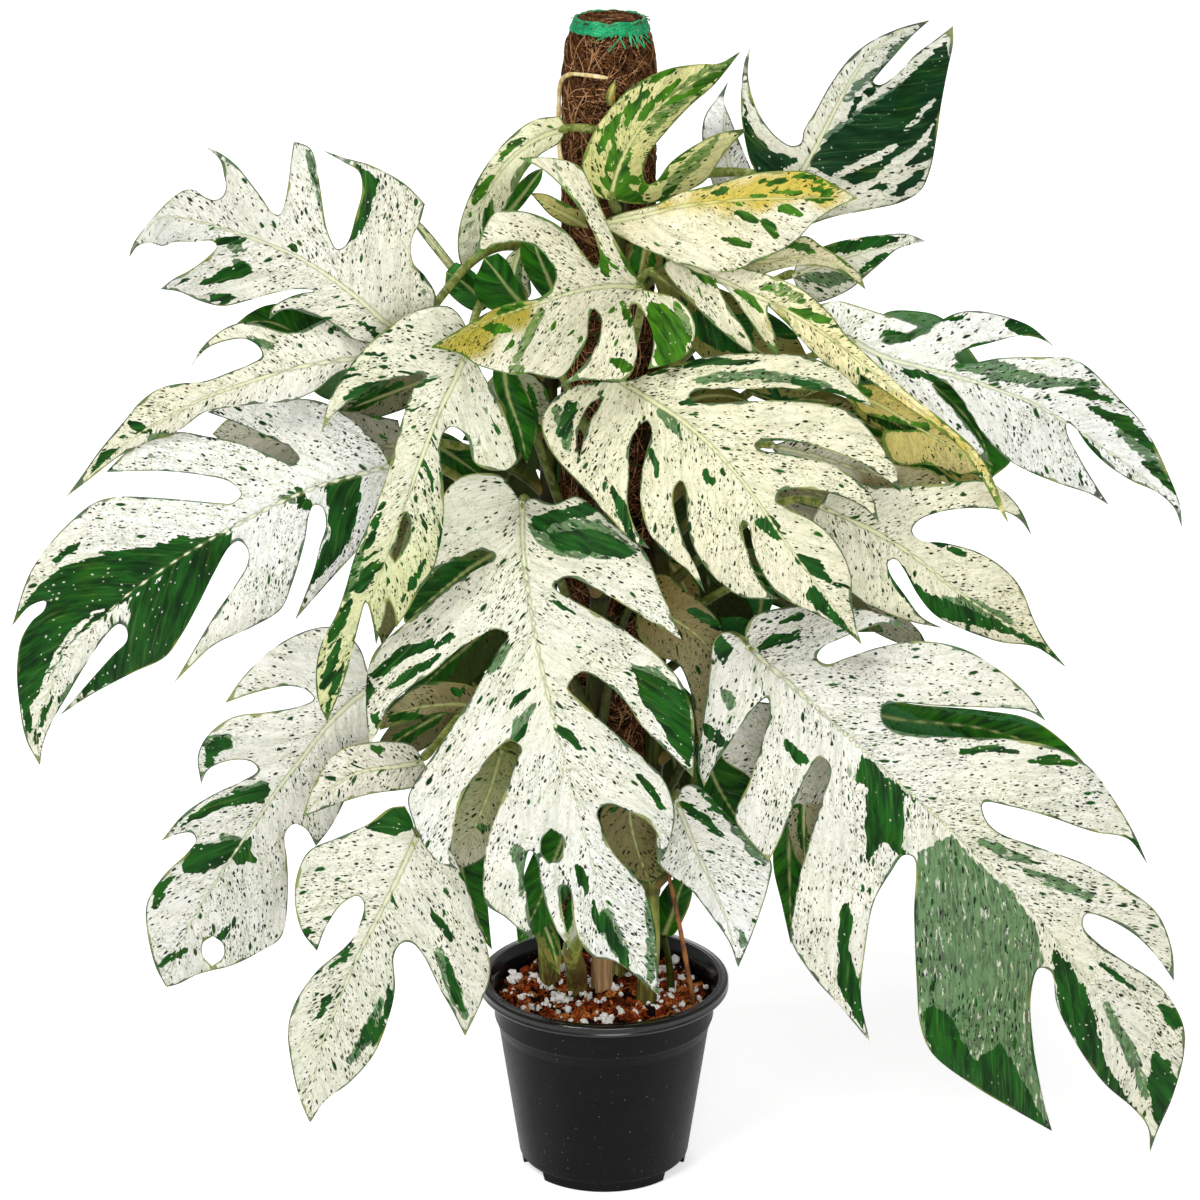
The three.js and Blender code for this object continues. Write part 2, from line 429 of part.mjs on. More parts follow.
// The leaves of the far side: a rib as above, the widest half-width in pixels, and lobes a side.
const backLeafShapes = {
  leaf_back_high: {
    rib: [[612, 300, -54], [624, 360, -100], [622, 440, -132], [606, 530, -140], [592, 604, -126]],
    width: 78, lobes: 5,
  },
  leaf_back_left: {
    rib: [[560, 400, -50], [524, 450, -84], [486, 520, -104], [456, 600, -104], [440, 676, -88]],
    width: 62, lobes: 5,
  },
  leaf_back_right: {
    rib: [[652, 440, -52], [684, 492, -86], [704, 556, -106], [712, 630, -108], [704, 706, -92]],
    width: 56, lobes: 4,
  },
  leaf_back_low: {
    rib: [[592, 590, -54], [584, 650, -96], [586, 720, -122], [596, 790, -122], [606, 856, -104]],
    width: 70, lobes: 5,
  },
  leaf_back_low_left: {
    rib: [[556, 660, -50], [524, 700, -76], [496, 752, -88], [478, 812, -84], [470, 872, -70]],
    width: 44, lobes: 4,
  },
  leaf_back_low_right: {
    rib: [[634, 670, -52], [662, 716, -78], [676, 770, -90], [682, 826, -86], [676, 884, -72]],
    width: 40, lobes: 3,
  },
};

const pitch = THREE.MathUtils.degToRad(view.pitchDegrees);
const sinPitch = Math.sin(pitch);
const cosPitch = Math.cos(pitch);
const pixelSize = 0.61; // millimetres across one pixel, near the pole

const backLean = 0.12;
const backDroop = -0.0008;
const lobeSweep = 0.55; // how far a lobe's end lies nearer the tip than its root, in half-widths
const slotInner = 0.34; // share of the half-width where a slot ends

// The point that shows at pixel x, y and lies this far in front of the pole's axis.
function place(x, y, front) {
  const up = view.middle - y;
  const ray = new THREE.Vector3(
    x - view.middle,
    view.focalPixels * cosPitch + up * sinPitch,
    up * cosPitch - view.focalPixels * sinPitch,
  );
  const eye = new THREE.Vector3(...view.eye);
  return eye.add(ray.multiplyScalar((-front - view.eye[1]) / ray.y));
}

function curveThrough(points) {
  return new THREE.CatmullRomCurve3(points.map((p) => new THREE.Vector3(...p)), false, "centripetal");
}

// How far in front of the pole a blade lies at a pixel: the rib's own depth, the near part of it
// counting most, then the lean and droop of that half.
function frontAt(rib, leaf, half, x, y) {
  let sum = 0;
  let weights = 0;
  let near = Infinity;
  for (const r of rib) {
    const away = Math.hypot(x - r.x, y - r.y) * pixelSize;
    const weight = 1 / (away * away + 1) ** 2;
    sum += weight * r.z;
    weights += weight;
    near = Math.min(near, away);
  }
  return sum / weights + leaf.lean[half] * near - leaf.droop * near * near;
}

function signedArea(a, b, c) {
  return (b.x - a.x) * (c.y - a.y) - (b.y - a.y) * (c.x - a.x);
}

// A blade as one closed sheet. Each half is filled between its margin and the rib.
function bladeGeometry(leaf) {
  const ribCurve = curveThrough(leaf.rib);
  const fine = ribCurve.getPoints(40);
  const points = []; // { x, y, front }
  const faces = [];
  const addPoint = (x, y, front) => points.push({ x, y, front }) - 1;
  const ribRow = leaf.rib.map(([x, y, front]) => addPoint(x, y, front));
  const margins = [leaf.one, leaf.two].map((margin, half) =>
    margin.map(([x, y]) => addPoint(x, y, frontAt(fine, leaf, half, x, y))));
  const loops = [[ribRow[0], ...margins[0], ribRow.at(-1), ...margins[1].toReversed()]];
  const holeLoop = (leaf.hole ?? []).map(([x, y]) => addPoint(x, y, 0));
  const flat = (i) => new THREE.Vector2(points[i].x, points[i].y);
  margins.forEach((margin, half) => {
    const outline = [ribRow[0], ...margin, ribRow.at(-1), ...ribRow.slice(1, -1).toReversed()];
    const holed = holeLoop.length && inside(points[holeLoop[0]], outline.map(flat));
    if (holed) {
      for (const i of holeLoop) {
        points[i].front = frontAt(fine, leaf, half, points[i].x, points[i].y);
      }
      loops.push(holeLoop);
    }
    const all = holed ? [...outline, ...holeLoop] : outline;
    const holes = holed ? [holeLoop.map(flat)] : [];
    for (const face of THREE.ShapeUtils.triangulateShape(outline.map(flat), holes)) {
      const [a, b, c] = face.map((i) => all[i]);
      faces.push(signedArea(flat(a), flat(b), flat(c)) < 0 ? [a, b, c] : [a, c, b]);
    }
  });
  return sheetGeometry(points, faces);
}

// The margin of a split leaf's half (side 1 or -1): slanting lobes with narrow slots between them.
// Each point is [lobes from the base, share of the half-width], swept toward the tip as it widens.
function lobedMargin(shape, side) {
  const curve = curveThrough(shape.rib.map(([x, y]) => [x, y, 0]));
  const sweep = (lobeSweep * shape.width) / curve.getLength();
  const at = (lobe, share) => {
    const t = Math.min(0.96, lobe / shape.lobes + sweep * share);
    const widest = Math.sin(Math.PI * (0.1 + 0.9 * t) ** 0.85) ** 0.6;
    const point = curve.getPointAt(t);
    const along = curve.getTangentAt(t);
    const away = side * share * widest * shape.width;
    return [point.x - along.y * away, point.y + along.x * away];
  };
  const margin = [at(0.02, 0.4)];
  for (let i = 0; i < shape.lobes - 1; i++) {
    margin.push(at(i + 0.16, 0.84), at(i + 0.5, 1), at(i + 0.84, 0.96), at(i + 0.98, slotInner));
  }
  return [...margin, at(shape.lobes - 0.84, 0.84), at(shape.lobes - 0.6, 0.9)];
}

function inside(p, outline) {
  let odd = false;
  outline.forEach((a, i) => {
    const b = outline[(i + 1) % outline.length];
    if (a.y > p.y !== b.y > p.y && p.x < ((b.x - a.x) * (p.y - a.y)) / (b.y - a.y) + a.x) odd = !odd;
  });
  return odd;
}

// Gives the flat faces a front and a back, and a wall along every edge that only one face has.
function sheetGeometry(points, faces) {
  const half = bladeThickness / 2;
  const vertices = [
    ...points.map((p) => place(p.x, p.y, p.front + half)),
    ...points.map((p) => place(p.x, p.y, p.front - half)),
  ];
  const behind = points.length;
  const index = [];
  const edges = new Map();
  for (const [a, b, c] of faces) {
    index.push(a, b, c, a + behind, c + behind, b + behind);
    for (const [p, q] of [[a, b], [b, c], [c, a]]) edges.set(p + "," + q, [p, q]);
  }
  for (const [p, q] of edges.values()) {
    if (!edges.has(q + "," + p)) index.push(q, p, p + behind, q, p + behind, q + behind);
  }
  const geometry = new THREE.BufferGeometry().setFromPoints(vertices);
  geometry.setIndex(index);
  return geometry;
}

// A closed tube along a curve, whose radius at t (0 to 1) is radiusAt(t).
function tubeGeometry(curve, radiusAt, sides, steps) {
  const frames = curve.computeFrenetFrames(steps, false);
  const vertices = [];
  const index = [];
  for (let i = 0; i <= steps; i++) {
    const middle = curve.getPointAt(i / steps);
    for (let k = 0; k < sides; k++) {
      const turn = (2 * Math.PI * k) / sides;
      vertices.push(middle.clone()
        .addScaledVector(frames.normals[i], radiusAt(i / steps) * Math.cos(turn))
        .addScaledVector(frames.binormals[i], radiusAt(i / steps) * Math.sin(turn)));
    }
  }
  for (let i = 0; i < steps; i++) {
    for (let k = 0; k < sides; k++) {
      const next = (k + 1) % sides;
      const [a, b, c, d] = [i * sides + k, i * sides + next, (i + 1) * sides + next, (i + 1) * sides + k];
      index.push(a, b, c, a, c, d);
    }
  }
  for (let k = 1; k < sides - 1; k++) {
    index.push(0, k + 1, k, steps * sides, steps * sides + k, steps * sides + k + 1);
  }
  const geometry = new THREE.BufferGeometry().setFromPoints(vertices);
  geometry.setIndex(index);
  return geometry;
}

const wasm = await Module();
wasm.setup();

function toSolid(geometry) {
  const bare = geometry.clone();
  bare.deleteAttribute("normal");
  bare.deleteAttribute("uv");
  const merged = mergeVertices(bare, 1e-3);
  return new wasm.Manifold(new wasm.Mesh({
    numProp: 3,
    vertProperties: merged.attributes.position.array,
    triVerts: new Uint32Array(merged.index.array),
  }));
}

function toGeometry(solid) {
  const mesh = solid.getMesh();
  const geometry = new THREE.BufferGeometry();
  geometry.setAttribute("position", new THREE.BufferAttribute(mesh.vertProperties, 3));
  geometry.setIndex(new THREE.BufferAttribute(mesh.triVerts, 1));
  return geometry;
}

function largestBody(solid) {
  return solid.decompose().reduce((a, b) => (a.volume() > b.volume() ? a : b));
}

const finish = {
  potPlastic: new THREE.MeshStandardMaterial({ color: 0x1c1d1f, roughness: 0.55, metalness: 0 }),
  soilMix: new THREE.MeshStandardMaterial({ color: 0x4a2a1c, roughness: 0.95, metalness: 0 }),
  coir: new THREE.MeshStandardMaterial({ color: 0x5a3a25, roughness: 0.95, metalness: 0 }),
  wood: new THREE.MeshStandardMaterial({ color: 0xb08a5c, roughness: 0.7, metalness: 0 }),
  net: new THREE.MeshStandardMaterial({ color: 0x1fb97a, roughness: 0.5, metalness: 0 }),
  stem: new THREE.MeshStandardMaterial({ color: 0x6f8a3c, roughness: 0.5, metalness: 0 }),
  root: new THREE.MeshStandardMaterial({ color: 0x7a5a34, roughness: 0.8, metalness: 0 }),
  cream: new THREE.MeshStandardMaterial({ color: 0xe9e2b8, roughness: 0.5, metalness: 0 }),
  marbled: new THREE.MeshStandardMaterial({ color: 0xe9ead9, roughness: 0.42, metalness: 0 }),
  green: new THREE.MeshStandardMaterial({ color: 0x1f6b2a, roughness: 0.4, metalness: 0 }),
};

const plant = new THREE.Group();

function add(name, geometry, material) {
  const mesh = new THREE.Mesh(geometry, material);
  mesh.name = name;
  plant.add(mesh);
  return mesh;
}

function lathe(profile, sides) {
  const geometry = new THREE.LatheGeometry(profile.map(([r, z]) => new THREE.Vector2(r, z)), sides);
  return geometry.rotateX(Math.PI / 2);
}

// Nursery pot: foot ring cut by the drain slots, tapered wall with one ledge, flat double-ringed lip.
function innerRadius(z) {
  return innerFloorRadius + ((z - floorTop) * (innerRimRadius - innerFloorRadius)) / (soilTop - floorTop);
}

function makePot() {
  const profile = [
    [0, 0], [16, 0], [18, 2.2], [46, 2.2], [48, 0], [footRadius - 0.8, 0], [footRadius, 0.8],
    [footRadius, footHeight], [footRadius + 1.6, footHeight + 1.2], [67.4, 94.5], [69.4, 100.5], [70.2, 102],
    [lipHoldRadius, lipBottom], [rimRadius - 0.8, lipBottom], [rimRadius, lipBottom + 0.8],
    [rimRadius, potHeight - 1], [rimRadius - 1, potHeight], [73.8, potHeight], [73, potHeight - 1],
    [innerRimRadius, soilTop], [innerFloorRadius, floorTop], [0, floorTop],
  ];
  let solid = toSolid(lathe(profile, 36));
  for (const degrees of drainSlotAngles) {
    const slot = new THREE.BoxGeometry(drainSlotWidth, drainSlotDepth, footHeight + 1);
    slot.translate(0, -footRadius - 1, footHeight / 2 - 0.5);
    slot.rotateZ(THREE.MathUtils.degToRad(degrees));
    solid = solid.subtract(toSolid(slot));
  }
  return add("nursery_pot", toGeometry(solid), finish.potPlastic);
}

// The pole stands in the middle and leans a little to the right.
function poleX(z) {
  return poleFootX + poleLean * (z - soilTop);
}

function leaning(geometry) {
  const shear = new THREE.Matrix4().makeShear(0, 0, 0, 0, poleLean, 0);
  return geometry.applyMatrix4(shear).translate(poleX(0), 0, 0);
}

function core(radius) {
  const profile = [[0, coreBottom], [radius - 1, coreBottom], [radius, coreBottom + 1],
    [radius, coreTop], [0, coreTop]];
  return leaning(lathe(profile, 12));
}

function makePole() {
  add("pole_core", core(coreRadius), finish.wood);
  const bore = coreRadius + gap;
  const neck = bandRadius - 1.6;
  const sleeve = [[bore, coirBottom], [26, coirBottom], [poleRadius, coirBottom + 5], [poleRadius, 716],
    [27.2, 726], [25.6, 732.5], [22.6, 739.5], [21.8, bandBottom - 0.6], [neck, bandBottom - 0.3],
    [neck, poleTop - 1.2], [neck - 2.1, poleTop], [0, poleTop], [0, coreTop + gap], [bore, coreTop + gap],
    [bore, coirBottom]];
  add("coir_pole", leaning(lathe(sleeve, 16)), finish.coir);
  const inner = neck + gap;
  const band = [[inner, bandBottom], [bandRadius - 0.4, bandBottom], [bandRadius, bandBottom + 0.4],
    [bandRadius, bandTop - 0.4], [bandRadius - 0.4, bandTop], [inner, bandTop], [inner, bandBottom]];
  add("net_band", leaning(lathe(band, 16)), finish.net);
}

// Stems climb the pole at a fixed small distance from the fibre.
function climbingPoint(z, degrees, radius) {
  const turn = THREE.MathUtils.degToRad(degrees);
  const away = poleRadius + radius + 2 * gap;
  return [poleX(z) + away * Math.cos(turn), away * Math.sin(turn), z];
}

const stems = {
  main_stem: {
    rooted: [[-17, -1, 84], [-17, -2, 116], [-17.5, -10, 136], [-20, -29.5, 158]],
    climb: [[180, -112], [260, -104], [360, -98], [460, -92], [560, -86], [640, -80], [690, -76]],
    nodes: [196, 676],
  },
  left_stem: {
    rooted: [[-35, 8, 84], [-35, 8, 116], [-35.5, 6, 140], [-36.4, 5, 160]],
    climb: [[182, 172], [260, 176], [360, 180], [460, 184], [560, 190], [610, 192]],
    nodes: [230, 598],
  },
  right_stem: {
    rooted: [[27, -18, 84], [27, -18, 116], [28, -18.5, 140], [29.4, -19.6, 160]],
    climb: [[182, -34], [260, -30], [360, -24], [460, -18], [560, -12], [655, -6]],
    nodes: [196, 642],
  },
  back_stem: {
    rooted: [[8, 18, 84], [8, 19, 116], [8, 26, 140], [7, 34, 160]],
    climb: [[182, 82], [260, 86], [360, 92], [460, 98], [560, 100]],
    nodes: [240, 548],
  },
};
const mainStemFrom = 500; // leaf bases between these two pixels hang on the main stem
const mainStemTo = 655;

function stemOf(leaf) {
  if (leaf.back) return stems.back_stem;
  const [x] = leaf.rib[0];
  if (x < mainStemFrom) return stems.left_stem;
  return x > mainStemTo ? stems.right_stem : stems.main_stem;
}

function stemCurve(stem) {
  return curveThrough([
    ...stem.rooted,
    ...stem.climb.map(([z, degrees]) => climbingPoint(z, degrees, stemRadius)),
  ]);
}

function stemGeometry(stem, extra) {
  const radiusAt = (t) => THREE.MathUtils.lerp(stemRadius, stemTopRadius, t) + extra;
  return tubeGeometry(stemCurve(stem), radiusAt, 8, 16);
}

function makeStems() {
  for (const [name, stem] of Object.entries(stems)) {
    add(name, stemGeometry(stem, 0), finish.stem);
    stem.curve = stemCurve(stem);
    stem.clearance = toSolid(stemGeometry(stem, gap));
  }
}

function makeSoil() {
  const wall = (z) => innerRadius(z) - 0.4;
  const profile = [[0, floorTop + gap], [wall(floorTop) - 1, floorTop + gap], [wall(40), 40],
    [wall(soilEdge), soilEdge], [50, soilTop - 1.5], [24, soilTop], [0, soilTop]];
  let solid = toSolid(lathe(profile, 32)).subtract(toSolid(core(coreRadius + gap)));
  for (const stem of Object.values(stems)) solid = solid.subtract(stem.clearance);
  solid = solid.subtract(toSolid(youngStem(gap)));
  solid = solid.subtract(toSolid(rodRoot(gap)));
  add("potting_mix", toGeometry(solid), finish.soilMix);
}

function pointOnCurveAt(curve, z) {
  let low = 0;
  let high = 1;
  for (let i = 0; i < 30; i++) {
    const t = (low + high) / 2;
    if (curve.getPointAt(t).z < z) low = t;
    else high = t;
  }
  return curve.getPointAt(low);
}

// One leaf grows from each node of a stem, in the order of their heights, the nodes evenly spaced.
function setNodeHeights(stem, leaves) {
  const order = leaves.toSorted((a, b) => place(...a.rib[0]).z - place(...b.rib[0]).z);
  order.forEach((leaf, i) => {
    leaf.stem = stem;
    leaf.nodeHeight = THREE.MathUtils.mapLinear(i, 0, order.length - 1, ...stem.nodes);
  });
}

// A leaf is its blade and its stalk, which leaves the stem a little below the blade's base.
function makeLeaf(name, leaf) {
  const { stem } = leaf;
  const base = place(...leaf.rib[0]);
  const along = place(...leaf.rib[1]).sub(base).normalize();
  const outward = leaf.back ? 1 : -1;
  const start = pointOnCurveAt(stem.curve, leaf.nodeHeight);
  const reach = base.distanceTo(start);
  const away = new THREE.Vector3(start.x - poleX(start.z), start.y, 0).normalize();
  away.x += stalkTurn * Math.sign(base.x - start.x);
  away.z = stalkRise;
  const first = start.clone().addScaledVector(away, stalkStart * reach);
  const last = base.clone().addScaledVector(along, -stalkEnd * reach)
    .add(new THREE.Vector3(0, -outward * stalkBow * reach, 0));
  const end = base.clone().addScaledVector(along, stalkInBlade);
  const curve = new THREE.CubicBezierCurve3(start, first, last, end);
  const radiusAt = (t) => THREE.MathUtils.lerp(stalkRadius, stalkTipRadius, t);
  const stalk = toSolid(tubeGeometry(curve, radiusAt, 5, 8)).subtract(stem.clearance);
  const solid = toSolid(bladeGeometry(leaf)).add(stalk);
  const green = /green|dark|shade/.test(name);
  add(name, toGeometry(largestBody(solid)), green ? finish.green : finish.marbled);
}

// Side shoot at the right of the pole's foot, with its one plain leaf.
function youngStem(extra) {
  const top = place(664, 936, 8);
  const curve = curveThrough([[44, 2, 96], [43, 0, 116], [42, -2, 134], top.toArray()]);
  return tubeGeometry(curve, (t) => 3.4 - 1.2 * t + extra, 6, 5);
}

// Thin brown aerial root that leaves the right stem and runs down into the mix.
function rodRoot(extra) {
  const curve = curveThrough([[58, -22, 98], [57, -24, 118], [52, -30, 150], [45, -34, 190],
    [36.4, -26.4, 226]]);
  return tubeGeometry(curve, () => 1.6 + extra, 6, 10);
}

function makeYoungShoot() {
  const leaf = {
    rib: [[664, 936, 8], [672, 915, 14], [680, 890, 16], [690, 868, 14]],
    one: [[672, 936], [684, 918], [692, 894]],
    two: [[656, 930], [656, 906], [668, 884]],
    lean: [-0.2, -0.2], droop: 0,
  };
  const shoot = toSolid(youngStem(0)).add(toSolid(bladeGeometry(leaf)));
  add("young_shoot", toGeometry(shoot), finish.green);
  add("rod_root", rodRoot(0), finish.root);
}

// Pale aerial root that clings round the top of the pole.
function makePaleRoot() {
  const radius = 1.4;
  const path = [[655, -150], [667, -168], [682, -176], [697, -176], [710, -162], [716, -140], [717, -115],
    [716, -92]];
  const curve = curveThrough(path.map(([z, degrees]) => climbingPoint(z, degrees, radius)));
  add("pale_root", tubeGeometry(curve, () => radius, 6, 16), finish.cream);
}

makePot();
makePole();
makeStems();
makeYoungShoot();
makeSoil();
const leaves = { ...leafShapes };
for (const [name, shape] of Object.entries(backLeafShapes)) {
  leaves[name] = {
    rib: shape.rib,
    one: lobedMargin(shape, -1),
    two: lobedMargin(shape, 1),
    lean: [backLean, backLean],
    droop: backDroop,
    back: true,
  };
}
for (const stem of Object.values(stems)) {
  setNodeHeights(stem, Object.values(leaves).filter((leaf) => stemOf(leaf) === stem));
}
for (const [name, leaf] of Object.entries(leaves)) makeLeaf(name, leaf);
makePaleRoot();

export default plant;
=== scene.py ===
# Potted marble Epipremnum pinnatum on a coir pole: the looks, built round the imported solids.
# Metres, +Z up, the origin under the middle of the pot. Leaves are drawn in the photo's pixels.
import math

import bpy
import numpy as np
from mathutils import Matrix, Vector
from mathutils.geometry import delaunay_2d_cdt


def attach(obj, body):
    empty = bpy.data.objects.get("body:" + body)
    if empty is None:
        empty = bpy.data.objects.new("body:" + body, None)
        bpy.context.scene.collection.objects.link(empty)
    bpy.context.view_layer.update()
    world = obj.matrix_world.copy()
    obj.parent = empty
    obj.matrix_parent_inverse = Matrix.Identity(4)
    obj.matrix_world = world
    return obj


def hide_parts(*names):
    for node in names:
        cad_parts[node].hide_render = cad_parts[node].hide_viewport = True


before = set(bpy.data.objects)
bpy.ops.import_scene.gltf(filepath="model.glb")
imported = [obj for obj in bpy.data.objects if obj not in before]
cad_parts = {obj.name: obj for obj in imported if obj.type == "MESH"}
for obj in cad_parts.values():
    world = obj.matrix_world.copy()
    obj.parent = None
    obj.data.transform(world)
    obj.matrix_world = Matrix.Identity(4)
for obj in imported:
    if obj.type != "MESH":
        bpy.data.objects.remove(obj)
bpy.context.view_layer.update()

mm = 0.001

# The view that the leaves are outlined in: 1200 x 1200 pixels, seen from this eye
view = {
    "eye": (-2.5, -2385.0, 1210.0),  # mm
    "pitch": 19.15,  # degrees down
    "focal": 4073.0,  # pixels
    "middle": 600.0,
    "pixel": 0.61,  # mm across one pixel, near the pole
}
sinPitch = math.sin(math.radians(view["pitch"]))
cosPitch = math.cos(math.radians(view["pitch"]))


def place(x, y, front):  # the point at pixel x, y that lies this many mm in front of the pole's axis
    up = view["middle"] - y
    rayX = x - view["middle"]
    rayY = view["focal"] * cosPitch + up * sinPitch
    rayZ = up * cosPitch - view["focal"] * sinPitch
    reach = (-front - view["eye"][1]) / rayY
    return np.stack([view["eye"][0] + rayX * reach, view["eye"][1] + rayY * reach,
                     view["eye"][2] + rayZ * reach], -1) * mm


def pointsOf(text):  # "x,y x,y ..." as an array
    return np.array([[float(n) for n in point.split(",")] for point in text.split()])


def rgb(code):  # an sRGB hex code as the linear colour that a shader takes
    shares = [int(code[i:i + 2], 16) / 255 for i in (0, 2, 4)]
    return tuple(c / 12.92 if c <= 0.04045 else ((c + 0.055) / 1.055) ** 2.4 for c in shares)


def smoothstep(low, high, value):  # 0 below low and 1 above high, with soft ends
    t = np.clip((value - low) / (high - low), 0, 1)
    return t * t * (3 - 2 * t)


# Curves

def throughPoints(points, perSpan=8):  # a smooth line through every point, centripetal
    p = np.asarray(points, float)
    q = np.vstack([2 * p[0] - p[1], p, 2 * p[-1] - p[-2]])
    line = []
    share = np.linspace(0, 1, perSpan, endpoint=False)[:, None]
    for a, b, c, d in zip(q[:-3], q[1:-2], q[2:-1], q[3:]):
        t1 = np.linalg.norm(b - a) ** 0.5 + 1e-6
        t2 = t1 + np.linalg.norm(c - b) ** 0.5 + 1e-6
        t3 = t2 + np.linalg.norm(d - c) ** 0.5 + 1e-6
        t = t1 + (t2 - t1) * share
        ab = (t1 - t) / t1 * a + t / t1 * b
        bc = (t2 - t) / (t2 - t1) * b + (t - t1) / (t2 - t1) * c
        cd = (t3 - t) / (t3 - t2) * c + (t - t2) / (t3 - t2) * d
        abc = (t2 - t) / t2 * ab + t / t2 * bc
        bcd = (t3 - t) / (t3 - t1) * bc + (t - t1) / (t3 - t1) * cd
        line.append((t2 - t) / (t2 - t1) * abc + (t - t1) / (t2 - t1) * bcd)
    return np.vstack(line + [p[-1:]])


def lengthAlong(line):  # how far along the line each of its points lies
    return np.r_[0, np.cumsum(np.linalg.norm(np.diff(line, axis=0), axis=1))]


def evenly(line, step):  # the same line with points a step apart
    along = lengthAlong(line)
    count = max(2, int(round(along[-1] / step)) + 1)
    at = np.linspace(0, along[-1], count)
    return np.stack([np.interp(at, along, line[:, k]) for k in range(line.shape[1])], 1)


def bezier(a, b, c, d, count):
    t = np.linspace(0, 1, count)[:, None]
    return (1 - t) ** 3 * a + 3 * t * (1 - t) ** 2 * b + 3 * t * t * (1 - t) * c + t ** 3 * d


# Meshes

def meshOf(name, vertices, faceGroups, sharpAngle=50):  # a face group holds faces of as many corners each
    mesh = bpy.data.meshes.new(name)
    corners = np.concatenate([group.ravel() for group in faceGroups])
    sizes = np.concatenate([np.full(len(group), group.shape[1]) for group in faceGroups])
    mesh.vertices.add(len(vertices))
    mesh.vertices.foreach_set("co", np.asarray(vertices, np.float32).ravel())
    mesh.loops.add(len(corners))
    mesh.loops.foreach_set("vertex_index", corners.astype(np.int32))
    mesh.polygons.add(len(sizes))
    mesh.polygons.foreach_set("loop_start", np.r_[0, np.cumsum(sizes)[:-1]].astype(np.int32))
    mesh.update(calc_edges=True)
    mesh.shade_smooth()
    mesh.set_sharp_from_angle(angle=math.radians(sharpAngle))
    return mesh


def addAttribute(mesh, name, values, domain="POINT"):
    values = np.asarray(values, np.float32)
    if values.ndim == 1:
        layer = mesh.attributes.new(name, "FLOAT", domain)
        layer.data.foreach_set("value", values)
    else:
        layer = mesh.attributes.new(name, "FLOAT_VECTOR", domain)
        layer.data.foreach_set("vector", values.ravel())


def addPiece(name, mesh, materials, slot, *nodes):  # a piece of the plant, and the solids it stands for
    piece = bpy.data.objects.new(name, mesh)
    bpy.context.scene.collection.objects.link(piece)
    for material in materials:
        mesh.materials.append(material)
    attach(piece, "root")
    if nodes:
        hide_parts(*nodes)
    return piece


def strands(paths, radii, sides=3, lean=(0.31, 0.57, 0.76)):
    # closed tubes along many paths of as many points each: (strand, point, xyz) and (strand, point)
    paths = np.asarray(paths, float)
    radii = np.asarray(radii, float)
    count, steps = paths.shape[:2]
    along = np.gradient(paths, axis=1)
    along /= np.linalg.norm(along, axis=2, keepdims=True) + 1e-12
    across = np.cross(along, np.asarray(lean))
    across /= np.linalg.norm(across, axis=2, keepdims=True) + 1e-12
    up = np.cross(along, across)
    turn = 2 * np.pi * np.arange(sides) / sides
    ring = (paths[:, :, None] + radii[:, :, None, None]
            * (np.cos(turn)[:, None] * across[:, :, None] + np.sin(turn)[:, None] * up[:, :, None]))
    first = np.arange(count * steps).reshape(count, steps)[:, :-1, None] * sides
    k = np.arange(sides)
    after = (k + 1) % sides
    walls = np.stack([first + k, first + after, first + sides + after, first + sides + k], -1)
    ends = np.arange(count)[:, None] * steps * sides
    caps = np.vstack([ends + k[::-1], ends + (steps - 1) * sides + k])
    return ring.reshape(-1, 3), [walls.reshape(-1, 4), caps]


def lathe(profile, sides):  # a closed surface of revolution; the profile starts and ends on the axis
    profile = np.asarray(profile, float)
    turn = 2 * np.pi * np.arange(sides) / sides
    inner = profile[1:-1]
    ring = np.stack([inner[:, :1] * np.cos(turn), inner[:, :1] * np.sin(turn),
                     np.repeat(inner[:, 1:], sides, 1)], -1)
    vertices = np.vstack([[[0, 0, profile[0, 1]]], ring.reshape(-1, 3), [[0, 0, profile[-1, 1]]]])
    k = np.arange(sides)
    after = (k + 1) % sides
    first = 1 + np.arange(len(inner) - 1)[:, None] * sides
    walls = np.stack([first + k, first + after, first + sides + after, first + sides + k], -1)
    last = 1 + (len(inner) - 1) * sides
    top = len(vertices) - 1
    fans = np.vstack([np.stack([np.zeros(sides, int), 1 + after, 1 + k], 1),
                      np.stack([np.full(sides, top), last + k, last + after], 1)])
    return vertices, [walls.reshape(-1, 4), fans]


def rounded(profile, radius, perCorner=4):  # a profile whose inner corners are arcs of about this radius
    p = np.asarray(profile, float)
    out = [p[0]]
    for a, b, c in zip(p[:-2], p[1:-1], p[2:]):
        cut = min(radius, 0.45 * np.linalg.norm(a - b), 0.45 * np.linalg.norm(c - b))
        start = b + (a - b) / np.linalg.norm(a - b) * cut
        end = b + (c - b) / np.linalg.norm(c - b) * cut
        for t in np.linspace(0, 1, perCorner):
            out.append((1 - t) ** 2 * start + 2 * t * (1 - t) * b + t * t * end)
    return np.array(out + [p[-1]])


def ripple(points, size, seed, waves=7):  # a soft wavy value between about -1 and 1 at each point
    dice = np.random.default_rng(seed)
    total = np.zeros(len(points))
    for _ in range(waves):
        way = dice.normal(size=points.shape[1])
        way *= 2 * np.pi / (size * dice.uniform(0.7, 1.6)) / np.linalg.norm(way)
        total += np.sin(points @ way + dice.uniform(0, 2 * np.pi))
    return total / math.sqrt(waves)


# Shader nodes

def addNode(tree, kind, values=None, **settings):  # values are sockets to link, or constants
    made = tree.nodes.new("ShaderNode" + kind)
    for key, value in settings.items():
        setattr(made, key, value)
    for key, value in (values or {}).items():
        if isinstance(value, bpy.types.NodeSocket):
            tree.links.new(value, made.inputs[key])
        else:
            made.inputs[key].default_value = value
    return made


def calc(tree, operation, *values):
    return addNode(tree, "Math", dict(enumerate(values)), operation=operation).outputs[0]


def times(tree, a, b):
    return calc(tree, "MULTIPLY", a, b)


